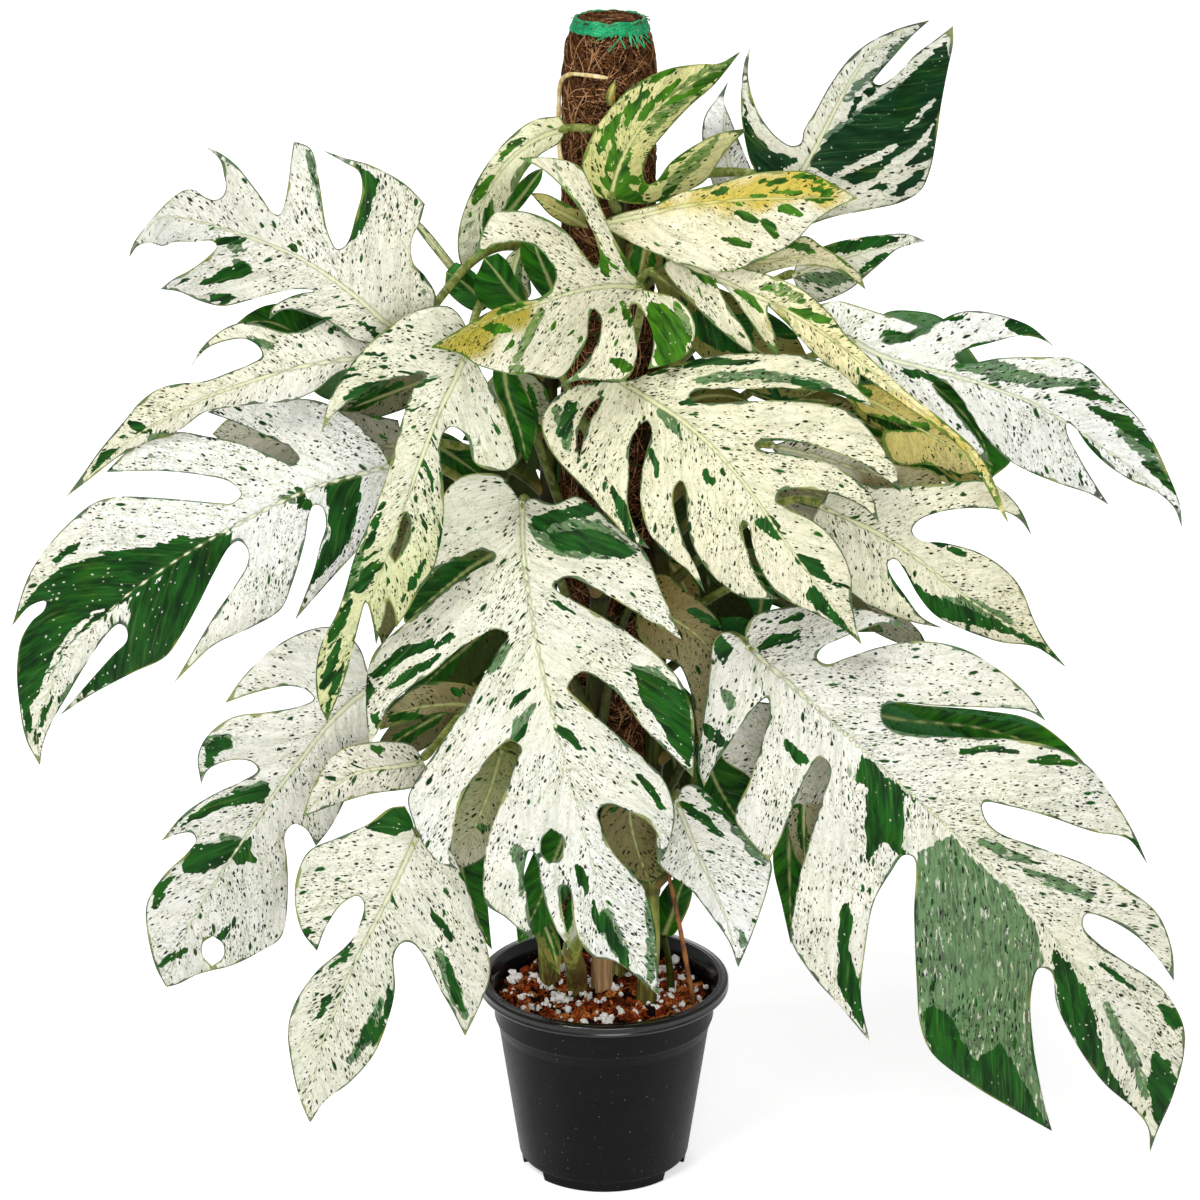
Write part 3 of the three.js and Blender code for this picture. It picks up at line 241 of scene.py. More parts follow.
def stretch(tree, vector, factors, shift=(0, 0, 0)):
    made = addNode(tree, "VectorMath", {0: vector, 1: factors, 2: shift}, operation="MULTIPLY_ADD")
    return made.outputs[0]


def between(tree, value, low, high, toLow=0.0, toHigh=1.0):  # a smooth step from low to high
    made = addNode(tree, "MapRange", {"Value": value, "From Min": low, "From Max": high,
                                      "To Min": toLow, "To Max": toHigh}, interpolation_type="SMOOTHSTEP")
    return made.outputs[0]


def mixed(tree, share, a, b, mode="MIX"):
    made = addNode(tree, "Mix", {0: share, 6: a, 7: b}, data_type="RGBA", blend_type=mode)
    return made.outputs[2]


def tinted(tree, color, tint):
    return mixed(tree, 1.0, color, tint, "MULTIPLY")


def noise(tree, vector, scale=1.0, detail=2.0, roughness=0.5, output="Fac"):
    made = addNode(tree, "TexNoise", {"Vector": vector, "Scale": scale, "Detail": detail,
                                      "Roughness": roughness})
    return made.outputs[output]


def attribute(tree, name, output="Vector"):
    return addNode(tree, "Attribute", attribute_name=name).outputs[output]


def parts(tree, vector):
    return addNode(tree, "SeparateXYZ", {0: vector}).outputs


def position(tree):  # metres in the plant's own frame; every piece's object sits at the origin
    return addNode(tree, "TexCoord").outputs["Object"]


def paint(code):
    return rgb(code) + (1.0,)


def newGroup(name, inputs, outputs):
    group = bpy.data.node_groups.new(name, "ShaderNodeTree")
    kinds = {"colour": "NodeSocketColor", "value": "NodeSocketFloat", "vector": "NodeSocketVector"}
    for label, kind in inputs.items():
        group.interface.new_socket(name=label, in_out="INPUT", socket_type=kinds[kind])
    for label, kind in outputs.items():
        group.interface.new_socket(name=label, in_out="OUTPUT", socket_type=kinds[kind])
    return group, group.nodes.new("NodeGroupInput").outputs, group.nodes.new("NodeGroupOutput").inputs


def useGroup(tree, group, values):
    return addNode(tree, "Group", values, node_tree=group).outputs


def cloudy(tree, vector):  # the soft clouds as a value from 0 to 1
    return useGroup(tree, mottle, {"Vector": vector})["Value"]


def newMaterial(name, **constants):  # its tree and its shader, with the constants on the shader itself
    material = bpy.data.materials.new(name)
    material.use_nodes = True
    tree = material.node_tree
    shader = tree.nodes["Principled BSDF"]
    for label, value in constants.items():
        shader.inputs[label.replace("_", " ")].default_value = value
    return material, tree, shader


def bumpInto(tree, shader, height, distance, strength=1.0):
    made = addNode(tree, "Bump", {"Height": height, "Distance": distance, "Strength": strength})
    tree.links.new(made.outputs[0], shader.inputs["Normal"])


def finished(material, tree, shader, tone, height, distance, strength=1.0):  # its colour and its bump
    tree.links.new(tone, shader.inputs["Base Color"])
    bumpInto(tree, shader, height, distance, strength)
    return material


def makeFlecks(name, dimensions):  # a mask of dots, one to a cell, of which a share is kept
    group, given, out = newGroup(
        name, {"Vector": "vector", "Radius": "value", "Share": "value"}, {"Mask": "value"})
    cells = addNode(group, "TexVoronoi", {"Vector": given["Vector"], "Scale": 1.0},
                    voronoi_dimensions=dimensions)
    chance = parts(group, cells.outputs["Color"])
    radius = times(group, given["Radius"], calc(group, "MULTIPLY_ADD", chance[1], 0.8, 0.4))  # uneven dots
    inner = times(group, radius, 0.6)
    dot = between(group, cells.outputs["Distance"], inner, radius, 1.0, 0.0)
    kept = calc(group, "LESS_THAN", chance[0], given["Share"])
    group.links.new(times(group, dot, kept), out["Mask"])
    return group


def makeMottle():  # soft light and dark clouds with finer ones inside them
    group, given, out = newGroup("mottle", {"Vector": "vector"}, {"Value": "value"})
    coarse = noise(group, given["Vector"], 1.0, 3.0, 0.6)
    fine = noise(group, stretch(group, given["Vector"], (5.3, 5.3, 5.3), (3.1, 7.7, 1.9)), 1.0, 2.0)
    both = calc(group, "MULTIPLY_ADD", fine, 0.35, times(group, coarse, 0.65))
    group.links.new(between(group, both, 0.3, 0.7), out["Value"])
    return group


flecks = makeFlecks("flecks", "2D")
motes = makeFlecks("motes", "3D")
mottle = makeMottle()


# Camera

def makeCamera():
    lens = bpy.data.cameras.new("photoView")
    lens.sensor_fit = "HORIZONTAL"
    lens.sensor_width = 36.0
    lens.lens = view["focal"] / (2 * view["middle"]) * lens.sensor_width
    lens.clip_end = 100
    camera = bpy.data.objects.new("photoView", lens)
    camera.location = Vector(view["eye"]) * mm
    camera.rotation_euler = (math.radians(90 - view["pitch"]), 0, 0)
    bpy.context.scene.collection.objects.link(camera)
    bpy.context.scene.camera = camera


makeCamera()


# Leaves: rib from base to tip with mm in front of the pole, then the margin down each side.
# lean is how far each half turns to the front for each mm from the rib; droop bends it back.
leafShapes = {
    "leaf_front": {
        "rib": """
        522,502,118 524,560,150 538,648,176 554,719,188 581,821,190 600,887,186 635,961,176 658,995,170""",
        "one": """531,498 554,504 576,496 590,504 611,522 644,551 661,590 681,639 642,616 598,590
        567,577 554,585 559,592 580,604 624,630 657,655 681,682 693,714 694,748 693,777 669,753 642,726
        623,699 601,680 581,672 568,687 581,702 615,733 645,760 662,777 674,806 673,829 667,849 655,871
        659,840 649,823 630,812 608,804 598,811 601,828 617,858 635,876 647,896 655,929 657,970""",
        "two": """515,494 501,476 483,473 461,477 444,494 436,520 430,548 424,584 434,571 457,559
        476,550 494,555 486,564 471,573 442,592 420,611 396,631 376,650 368,670 366,699 367,724 370,743
        377,733 389,707 408,689 435,670 457,650 476,638 496,629 508,636 501,646 491,663 476,690 457,719
        437,750 415,782 408,799 413,821 422,842 437,861 458,870 449,858 452,837 462,797 476,775 496,750
        510,741 521,748 515,765 506,789 496,816 487,845 483,887 487,905 505,917 520,930 533,939 528,905
        524,873 530,850 537,860 541,885 548,910 558,932 573,952 564,920 562,886 569,888 573,917 581,943
        594,957 614,961 636,976""",
        "hole": "551,828 560,836 563,848 557,860 549,862 541,852 543,837", "lean": (-0.1, -0.1),
        "droop": 0.0008,
    },
    "leaf_right_low": {
        "rib": """748,647,100 806,698,128 887,772,148 961,839,152 1028,906,146 1080,972,134
        1135,1053,112 1150,1152,88""",
        "one": """739,637 726,632 715,639 711,665 702,728 698,765 704,787 713,769 735,735 756,706
        767,698 770,711 765,732 750,780 735,817 748,838 769,861 780,839 795,802 808,772 820,757 830,769
        822,800 812,832 801,872 793,913 791,939 813,976 839,1005 870,1042 861,998 865,950 874,902
        891,872 904,855 914,858 914,913 917,987 920,1024 932,1053 976,1087 1013,1109 1052,1131 1043,1098
        1033,1042 1031,994 1039,968 1051,972 1057,1005 1080,1050 1105,1084 1135,1110 1148,1128""",
        "two": """745,634 752,618 770,610 800,606 835,605 865,610 890,617 913,630 885,624 862,630
        840,639 822,648 817,658 827,664 846,658 880,647 917,641 961,648 998,669 1028,695 1046,721
        1028,711 994,708 939,706 900,703 883,706 884,724 902,732 954,737 1006,739 1050,746 1087,765
        1113,798 1135,835 1148,865 1128,839 1094,832 1050,817 1013,807 983,803 985,818 998,832 1035,846
        1087,865 1124,887 1157,913 1172,950 1174,981 1157,957 1135,935 1105,918 1086,914 1083,926
        1098,943 1124,961 1161,987 1183,1024 1184,1053 1172,1098 1158,1130""",
        "lean": (0.04, -0.12), "droop": 0.0008,
    },
    "leaf_left_big": {
        "rib": "389,466,100 308,490,104 236,525,96 166,567,82 107,613,64 54,683,44 37,728,34 40,766,28",
        "one": """392,478 388,510 372,535 356,552 332,578 308,605 295,620 306,592 314,570 320,545
        326,525 322,507 314,505 309,515 305,540 292,584 281,609 254,626 214,645 193,664 174,683 193,651
        214,616 236,584 248,562 247,548 239,541 230,546 214,573 198,605 182,634 165,657 134,672 94,693
        60,715 88,683 112,656 127,640 126,628 119,624 107,634 86,664 67,696 52,722 43,745""",
        "two": """386,456 372,438 350,418 322,402 285,398 240,400 207,412 240,424 270,438 290,448
        299,459 290,463 265,453 240,443 205,436 178,432 150,440 129,450 106,472 161,471 201,475 230,482
        241,494 232,503 220,503 161,498 115,497 94,503 70,522 48,546 29,575 12,626 30,606 46,601 44,610
        32,621 21,640 17,669 19,701 26,739""",
        "lean": (-0.12, -0.08), "droop": 0.0008,
    },
    "leaf_left_under": {
        "rib": """
        404,350,132 370,356,134 300,367,128 240,385,116 202,399,104 165,419,92 134,437,82 66,497,58""",
        "one": """
        408,372 385,376 345,370 315,391 290,401 255,404 225,408 205,412 178,431 150,441 120,456 90,479""",
        "two": """405,335 370,322 330,318 292,333 250,322 232,325 215,335 200,350 191,367 205,350
        222,342 245,339 259,347 262,356 250,364 230,372 205,381 176,384 158,389 140,402 125,420 100,450
        80,478""",
        "lean": (-0.06, -0.14), "droop": 0.0006,
    },
    "leaf_left_top": {
        "rib": """410,336,136 385,322,146 360,300,150 330,277,148 300,258,138 270,245,126 240,234,112
        200,222,92 160,218,72 129,258,50""",
        "one": """392,344 350,338 330,322 310,315 285,309 269,319 272,308 285,299 302,293 315,291
        300,289 275,293 250,300 223,306 200,301 180,292 160,289 175,278 190,270 210,255 217,246 212,241
        195,242 175,242 163,246 150,243 138,246""",
        "two": """432,318 436,296 425,276 413,262 412,240 420,222 425,204 405,184 370,165 345,158
        322,150 345,163 359,172 362,190 356,215 346,245 337,249 331,240 326,225 322,200 319,180 311,149
        294,141 291,160 288,185 284,205 279,215 272,212 262,198 250,182 236,165 220,153 206,147 220,160
        224,175 226,188 222,197 214,200 205,197 195,190 185,190 172,198 157,213 141,232 132,246""",
        "lean": (-0.04, -0.25), "droop": 0.0006,
    },
    "leaf_front_left": {
        "rib": """
        466,354,150 453,384,166 440,410,174 420,462,184 400,520,186 378,580,184 355,640,178 327,722,168""",
        "one": """476,362 484,376 500,404 512,436 518,462 505,470 490,470 474,462 468,440 460,430
        451,427 443,434 440,450 443,480 444,510 441,540 432,572 418,592 408,610 396,628 394,610 388,600
        384,618 376,645 372,620 366,602 360,620 355,640 348,668 340,692""",
        "two": """468,340 464,322 450,307 420,309 384,330 358,356 341,380 328,404 321,433 333,415
        346,405 372,385 400,377 424,375 412,392 402,420 394,450 385,480 372,515 355,555 345,590 336,615
        322,642 316,670 318,700""",
        "hole": "406,513 409,528 404,545 395,562 392,555 398,538 401,520", "lean": (-0.14, 0.02),
        "droop": 0.0008,
    },
    "leaf_gold_tip": {
        "rib": "640,288,104 614,286,122 578,291,142 537,304,160 500,316,174 462,332,186 430,347,196",
        "one": """650,291 675,298 690,312 695,330 690,350 675,362 648,369 653,350 652,330 645,315
        636,304 630,306 634,325 637,350 633,370 624,380 599,380 575,381 556,389 578,371 594,350 601,330
        600,316 593,309 589,319 587,338 577,358 560,378 545,377 530,373 517,375 500,372 475,364 460,354""",
        "two": """636,276 628,262 614,238 603,212 592,188 580,167 560,159 540,157 518,158 540,168
        560,185 580,210 593,232 600,258 596,267 585,256 573,240 563,229 545,218 520,211 496,213 482,232
        474,260 486,250 505,242 530,244 548,258 556,275 550,290 538,298 515,302 490,311 465,326""",
        "lean": (0.32, -0.12), "droop": 0.0004,
    },
    "leaf_cream_right": {
        "rib": "600,224,92 640,216,108 690,205,118 740,200,120 800,198,116 858,198,106",
        "one": "612,232 633,243 661,256 695,267 728,272 752,264 778,252 797,240 812,224 832,210",
        "two": "616,215 650,206 685,192 720,183 750,174 780,171 808,172 828,181", "lean": (0.2, -0.2),
        "droop": 0.0006,
    },
    "leaf_top_right": {
        "rib": "610,200,58 618,170,58 635,135,52 662,104,42 700,78,28 741,51,14",
        "one": """640,204 672,198 690,190 706,180 722,157 735,141 749,128 720,133 695,145 670,163
        656,181 647,184 643,172 648,155 665,133 689,107 713,86 728,68""",
        "two": "596,196 588,182 582,165 590,140 606,114 633,86 668,69 700,64 720,63", "lean": (-0.16, -0.1),
        "droop": 0.0006,
    },
    "leaf_dark_right": {
        "rib": "797,180,44 806,165,46 822,135,40 840,100,28 856,72,14 875,48,2 902,30,-10 930,20,-20",
        "one": """800,196 796,216 806,226 833,217 868,210 902,202 921,190 930,170 936,140 941,105 948,68
        953,44 953,26 935,40 915,55 897,74 880,85 873,82 880,72 895,55 912,36""",
        "two": """785,182 764,180 752,165 745,140 741,110 742,80 745,60 750,48 748,75 754,102 764,122
        778,138 792,146 801,143 804,130 815,112 830,85 850,58 870,42 900,28""",
        "lean": (-0.14, -0.2), "droop": 0.0006,
    },
    "leaf_white_back": {
        "rib": "738,196,6 725,140,-2 728,82,-12", "one": "756,188 752,172 742,148 731,120 724,100",
        "two": "716,195 707,165 702,135 705,116 717,98", "lean": (-0.1, -0.1), "droop": 0,
    },
    "leaf_small_right": {
        "rib": "792,276,74 830,262,76 870,250,66 926,241,50",
        "one": "800,292 816,302 835,297 852,288 866,276 882,262 898,249",
        "two": "798,262 822,247 850,239 880,235 908,234", "lean": (-0.1, -0.15), "droop": 0,
    },
    "leaf_cream_tail": {
        "rib": "700,262,86 760,262,96 810,256,98 842,268,92 866,290,84",
        "one": "722,276 745,282 770,272 800,266 830,268 850,278",
        "two": "722,254 760,246 790,240 806,236 822,246 844,260 860,275", "lean": (0, -0.1), "droop": 0,
    },
    "leaf_cream_long": {
        "rib": """668,258,96 730,284,112 790,312,124 838,344,132 880,378,138 925,414,142 965,447,142
        990,480,138 1009,524,130""",
        "one": """664,268 690,300 720,330 756,355 745,330 728,305 716,283 722,285 740,306 760,336
        777,356 775,335 768,315 768,306 790,327 812,352 836,372 858,387 860,374 880,388 905,406 930,423
        955,443 978,472 998,508""",
        "two": "690,258 745,268 800,288 830,314 846,335 866,354 905,390 945,422 980,455 996,486",
        "lean": (0.05, -0.1), "droop": 0.0006,
    },
    "leaf_right_top": {
        "rib": """848,338,104 882,356,108 928,369,108 966,379,102 1004,392,94 1042,408,84 1081,433,70
        1119,459,56 1157,489,42 1182,528,32""",
        "one": """856,352 872,366 905,398 940,430 970,452 993,466 980,443 963,420 945,400 933,386
        936,380 948,384 958,394 972,416 988,440 1010,461 1030,472 1060,484 1090,494 1109,505 1094,482
        1078,455 1067,432 1067,423 1074,427 1088,446 1105,463 1130,480 1158,493 1174,508""",
        "two": """836,328 822,318 820,304 838,301 855,305 880,313 905,320 924,327 905,334 888,336
        883,341 892,344 915,337 932,327 945,318 960,312 978,311 1004,316 1030,326 1045,338 1055,347
        1038,338 1020,336 990,343 965,350 955,356 962,363 1000,358 1040,357 1070,358 1085,365 1100,378
        1119,398 1140,420 1155,445 1170,478 1180,505""",
        "lean": (-0.1, -0.14), "droop": 0.0006,
    },
    "leaf_center_right": {
        "rib": """622,382,122 654,402,138 685,423,150 712,447,158 740,478,164 760,505,168 781,536,170
        802,564,170 822,591,168 843,619,164 862,645,160""",
        "one": """608,381 590,383 570,388 553,400 542,418 545,440 558,461 577,481 595,501 612,520
        630,540 650,549 637,532 628,505 629,478 630,445 638,427 647,421 652,430 647,450 641,478 641,505
        648,530 665,552 688,570 705,593 697,570 686,547 677,520 673,500 675,487 681,481 686,490 687,515
        691,540 702,562 720,582 742,597 778,599 764,588 755,572 748,553 743,533 743,521 748,524 753,545
        761,570 775,591 790,602 815,614 843,629""",
        "two": """630,380 648,374 678,364 719,355 764,354 809,357 843,374 876,409 858,402 833,393
        781,389 733,389 700,390 689,395 694,402 715,403 753,401 809,402 850,412 877,440 895,467 901,493
        880,475 850,458 802,443 770,441 755,444 762,450 788,454 836,467 871,495 879,522 860,505 833,494
        798,488 780,492 776,501 790,510 815,522 838,545 851,575 852,600 856,625""",
        "hole": "603,398 598,408 590,420 583,440 579,460 577,440 583,416 595,400", "lean": (0.06, -0.1),
        "droop": 0.0006,
    },
    "leaf_right_mid": {
        "rib": "820,506,104 877,533,116 919,560,118 953,588,114 988,612,106 1029,636,94 1067,668,82",
        "one": """812,522 820,550 838,580 858,598 884,612 912,622 942,628 922,617 905,595 890,573
        888,562 895,559 903,568 918,595 935,615 960,628 1000,642 1035,647""",
        "two": """830,490 850,482 880,487 936,484 985,481 1005,492 1022,512 1032,536 1020,520 1003,511
        975,508 940,512 918,521 912,531 920,540 945,543 980,553 1008,572 1022,590 1034,620 1046,642""",
        "lean": (-0.08, -0.14), "droop": 0.0006,
    },
    "leaf_left_low": {
        "rib": """372,686,92 350,703,96 326,727,96 302,758,90 278,789,82 257,820,72 233,855,60
        209,893,46 185,934,34 166,987,22""",
        "one": """380,700 378,725 362,762 345,800 330,828 316,846 306,829 294,824 285,834 287,858
        288,893 281,937 261,951 233,965 199,974 178,984""",
        "two": """368,672 358,645 337,628 312,629 278,645 244,676 225,703 254,693 288,686 306,690
        314,699 300,706 268,712 233,717 209,734 198,755 201,784 209,769 233,760 252,762 258,770 240,782
        216,793 185,813 161,841 178,834 192,833 196,840 188,852 164,875 147,903 147,930 155,965""",
        "hole": "213,936 223,944 223,957 212,966 203,956 203,943", "lean": (-0.08, -0.1), "droop": 0.0006,
    },
    "leaf_pot_left": {
        "rib": "416,838,130 399,875,140 378,917,142 357,958,136 337,1006,126 319,1054,114 310,1123,98",
        "one": """430,835 450,850 464,878 476,915 488,951 490,975 480,1005 465,1036 452,1010 440,989
        423,955 412,943 402,943 394,955 395,989 388,1020 374,1054 350,1082 325,1101""",
        "two": """412,820 405,806 390,808 368,824 337,838 309,851 297,875 295,903 302,931 317,951
        326,927 343,903 358,896 364,904 357,931 347,945 316,972 295,1003 288,1030 293,1072 301,1102""",
        "lean": (-0.12, -0.08), "droop": 0.0008,
    },
    "leaf_left_tuck": {
        "rib": "424,762,124 400,766,130 360,772,132 328,790,128 302,817,122",
        "one": "430,780 412,788 371,794 337,804", "two": "412,745 371,742 337,752 316,780",
        "lean": (-0.05, -0.08), "droop": 0,
    },
    "leaf_pot_right": {
        "rib": "676,800,96 692,840,112 712,885,118 728,925,116 738,968,110",
        "one": "664,812 656,838 661,866 688,887 712,917 730,944",
        "two": "684,786 696,785 735,823 771,861 768,887 753,932", "lean": (-0.1, -0.06), "droop": 0.0006,
    },
    "leaf_arch_left": {
        "rib": "566,128,48 535,140,56 505,165,60 482,205,48 465,275,24",
        "one": "560,142 540,155 525,172 515,190 503,212 489,235 476,256",
        "two": "560,116 534,120 506,141 482,172 465,207 458,235 459,258", "lean": (-0.1, -0.2),
        "droop": 0.0006,
    },
    "leaf_left_shade_up": {
        "rib": "396,366,88 330,350,90 270,322,78 236,324,66", "one": "380,392 330,400 300,380 262,345",
        "two": "385,345 345,320 300,304 268,305 250,313", "lean": (-0.04, -0.04), "droop": 0,
    },
    "leaf_left_shade_low": {
        "rib": "404,446,60 340,446,66 280,440,58 212,434,46", "one": "396,474 340,476 290,466 240,452",
        "two": "398,420 340,410 280,412 230,418", "lean": (-0.05, -0.05), "droop": 0,
    },
    "leaf_right_shade_up": {
        "rib": "860,352,72 905,366,76 950,400,72 982,440,66 992,478,58",
        "one": "852,380 880,410 920,440 962,470",
        "two": "872,330 885,313 915,311 942,318 970,350 1000,400 1012,458", "lean": (-0.05, -0.05),
        "droop": 0,
    },
    "leaf_right_shade_low": {
        "rib": "842,708,84 905,720,88 980,728,86 1050,752,76 1109,800,64",
        "one": "850,740 905,752 980,758 1050,782 1080,798",
        "two": "850,690 905,703 980,710 1030,719 1062,740 1090,770", "lean": (-0.05, -0.05), "droop": 0,
    },
    "leaf_right_tuck": {
        "rib": "842,735,70 810,752,80 775,752,84 740,742,84 722,738,80",
        "one": "820,720 780,705 745,703 728,715", "two": "836,780 815,812 795,810 748,776 722,757",
        "lean": (-0.05, -0.05), "droop": 0,
    },
    "leaf_low_right_back": {
        "rib": "700,740,46 715,780,54 735,815,56 760,850,52", "one": "690,752 691,788 702,820 728,848",
        "two": "735,748 762,785 776,820 774,848", "lean": (-0.05, -0.05), "droop": 0,
    },
    "leaf_low_right_dark": {
        "rib": "790,800,66 789,850,78 790,900,80 791,945,78", "one": "778,822 773,862 782,905",
        "two": "803,815 806,850 799,900", "lean": (-0.1, -0.1), "droop": 0,
    },
    "leaf_low_left_dark": {
        "rib": "462,828,80 462,870,88 474,910,92 492,950,90", "one": "484,838 486,880 489,920",
        "two": "446,840 446,868 464,915", "lean": (-0.1, -0.1), "droop": 0,
    },
    "leaf_green_strap": {
        "rib": "503,362,70 508,395,82 520,430,84 527,463,80", "one": "513,372 526,392 535,420 533,445",
        "two": "494,368 494,385 503,410 514,440", "lean": (-0.2, -0.2), "droop": 0,
    },
    "leaf_green_young": {
        "rib": "524,306,80 508,288,90 496,272,94 484,258,92",
        "one": "518,316 496,312 478,300 474,282 480,268", "two": "528,294 516,278 508,262 498,253",
        "lean": (-0.2, -0.2), "droop": 0,
    },
    "leaf_mid_olive": {
        "rib": "640,600,62 672,618,72 702,640,76 724,674,72",
        "one": "648,574 668,575 684,590 702,603 716,617 726,640",
        "two": "636,630 657,655 678,664 690,690 697,730 706,762 714,720", "lean": (-0.05, -0.05),
        "droop": 0,
    },
    "leaf_mid_green": {
        "rib": "762,585,40 761,605,43 757,628,44 748,654,40",
        "one": "742,588 748,602 757,623 740,617 721,618 724,640", "two": "776,588 773,602 768,618 772,642",
        "lean": (-0.05, -0.05), "droop": 0,
    },
    "leaf_upper_olive": {
        "rib": "650,270,64 700,308,74 750,345,80 800,375,77 819,384,72",
        "one": "668,264 700,280 745,300 790,328 808,358", "two": "662,300 690,345 730,380 780,402 798,400",
        "lean": (-0.05, -0.05), "droop": 0,
    },
    "leaf_right_gold": {
        "rib": "846,390,90 880,405,96 915,426,96 950,446,90 984,471,82",
        "one": "870,384 905,402 935,423 960,442 978,458",
        "two": "862,412 880,418 918,429 884,430 882,440 895,462 930,465 960,474", "lean": (-0.05, -0.05),
        "droop": 0,
    },
    "leaf_right_beige": {
        "rib": "770,446,84 815,456,90 860,470,90 905,482,84 945,490,76",
        "one": "800,438 850,448 895,464 935,472", "two": "790,470 840,492 890,496 925,498",
        "lean": (-0.05, -0.05), "droop": 0,
    },
    "leaf_left_olive": {
        "rib": "500,550,60 470,568,68 440,592,72 404,622,70", "one": "494,578 462,602 425,630",
        "two": "480,548 445,560 424,584 404,606", "lean": (-0.05, -0.05), "droop": 0,
    },
    "leaf_left_beige": {
        "rib": "482,706,62 450,704,68 415,708,68 378,718,64", "one": "474,688 448,682 422,684 395,700",
        "two": "476,712 446,713 400,724 380,730", "lean": (-0.05, -0.05), "droop": 0,
    },
    "leaf_low_left_pale": {
        "rib": "502,750,92 490,790,100 474,830,104 462,868,102", "one": "518,756 510,790 500,826 482,860",
        "two": "486,752 466,790 450,830 449,858", "lean": (-0.05, -0.05), "droop": 0,
    },
    "leaf_low_right_olive": {
        "rib": "640,780,68 630,810,76 636,845,78 650,884,72", "one": "618,790 600,815 608,850 630,880",
        "two": "658,790 668,830 668,868", "lean": (-0.05, -0.05), "droop": 0,
    },
}
# The leaves of the far side: a rib, the widest half-width in pixels, and lobes a side
backLeafShapes = {
    "leaf_back_high": {
        "rib": "612,300,-54 624,360,-100 622,440,-132 606,530,-140 592,604,-126", "width": 78, "lobes": 5,
    },
    "leaf_back_left": {
        "rib": "560,400,-50 524,450,-84 486,520,-104 456,600,-104 440,676,-88", "width": 62, "lobes": 5,
    },
    "leaf_back_right": {
        "rib": "652,440,-52 684,492,-86 704,556,-106 712,630,-108 704,706,-92", "width": 56, "lobes": 4,
    },
    "leaf_back_low": {
        "rib": "592,590,-54 584,650,-96 586,720,-122 596,790,-122 606,856,-104", "width": 70, "lobes": 5,
    },
    "leaf_back_low_left": {
        "rib": "556,660,-50 524,700,-76 496,752,-88 478,812,-84 470,872,-70", "width": 44, "lobes": 4,
    },
    "leaf_back_low_right": {
        "rib": "634,670,-52 662,716,-78 676,770,-90 682,826,-86 676,884,-72", "width": 40, "lobes": 3,
    },
}

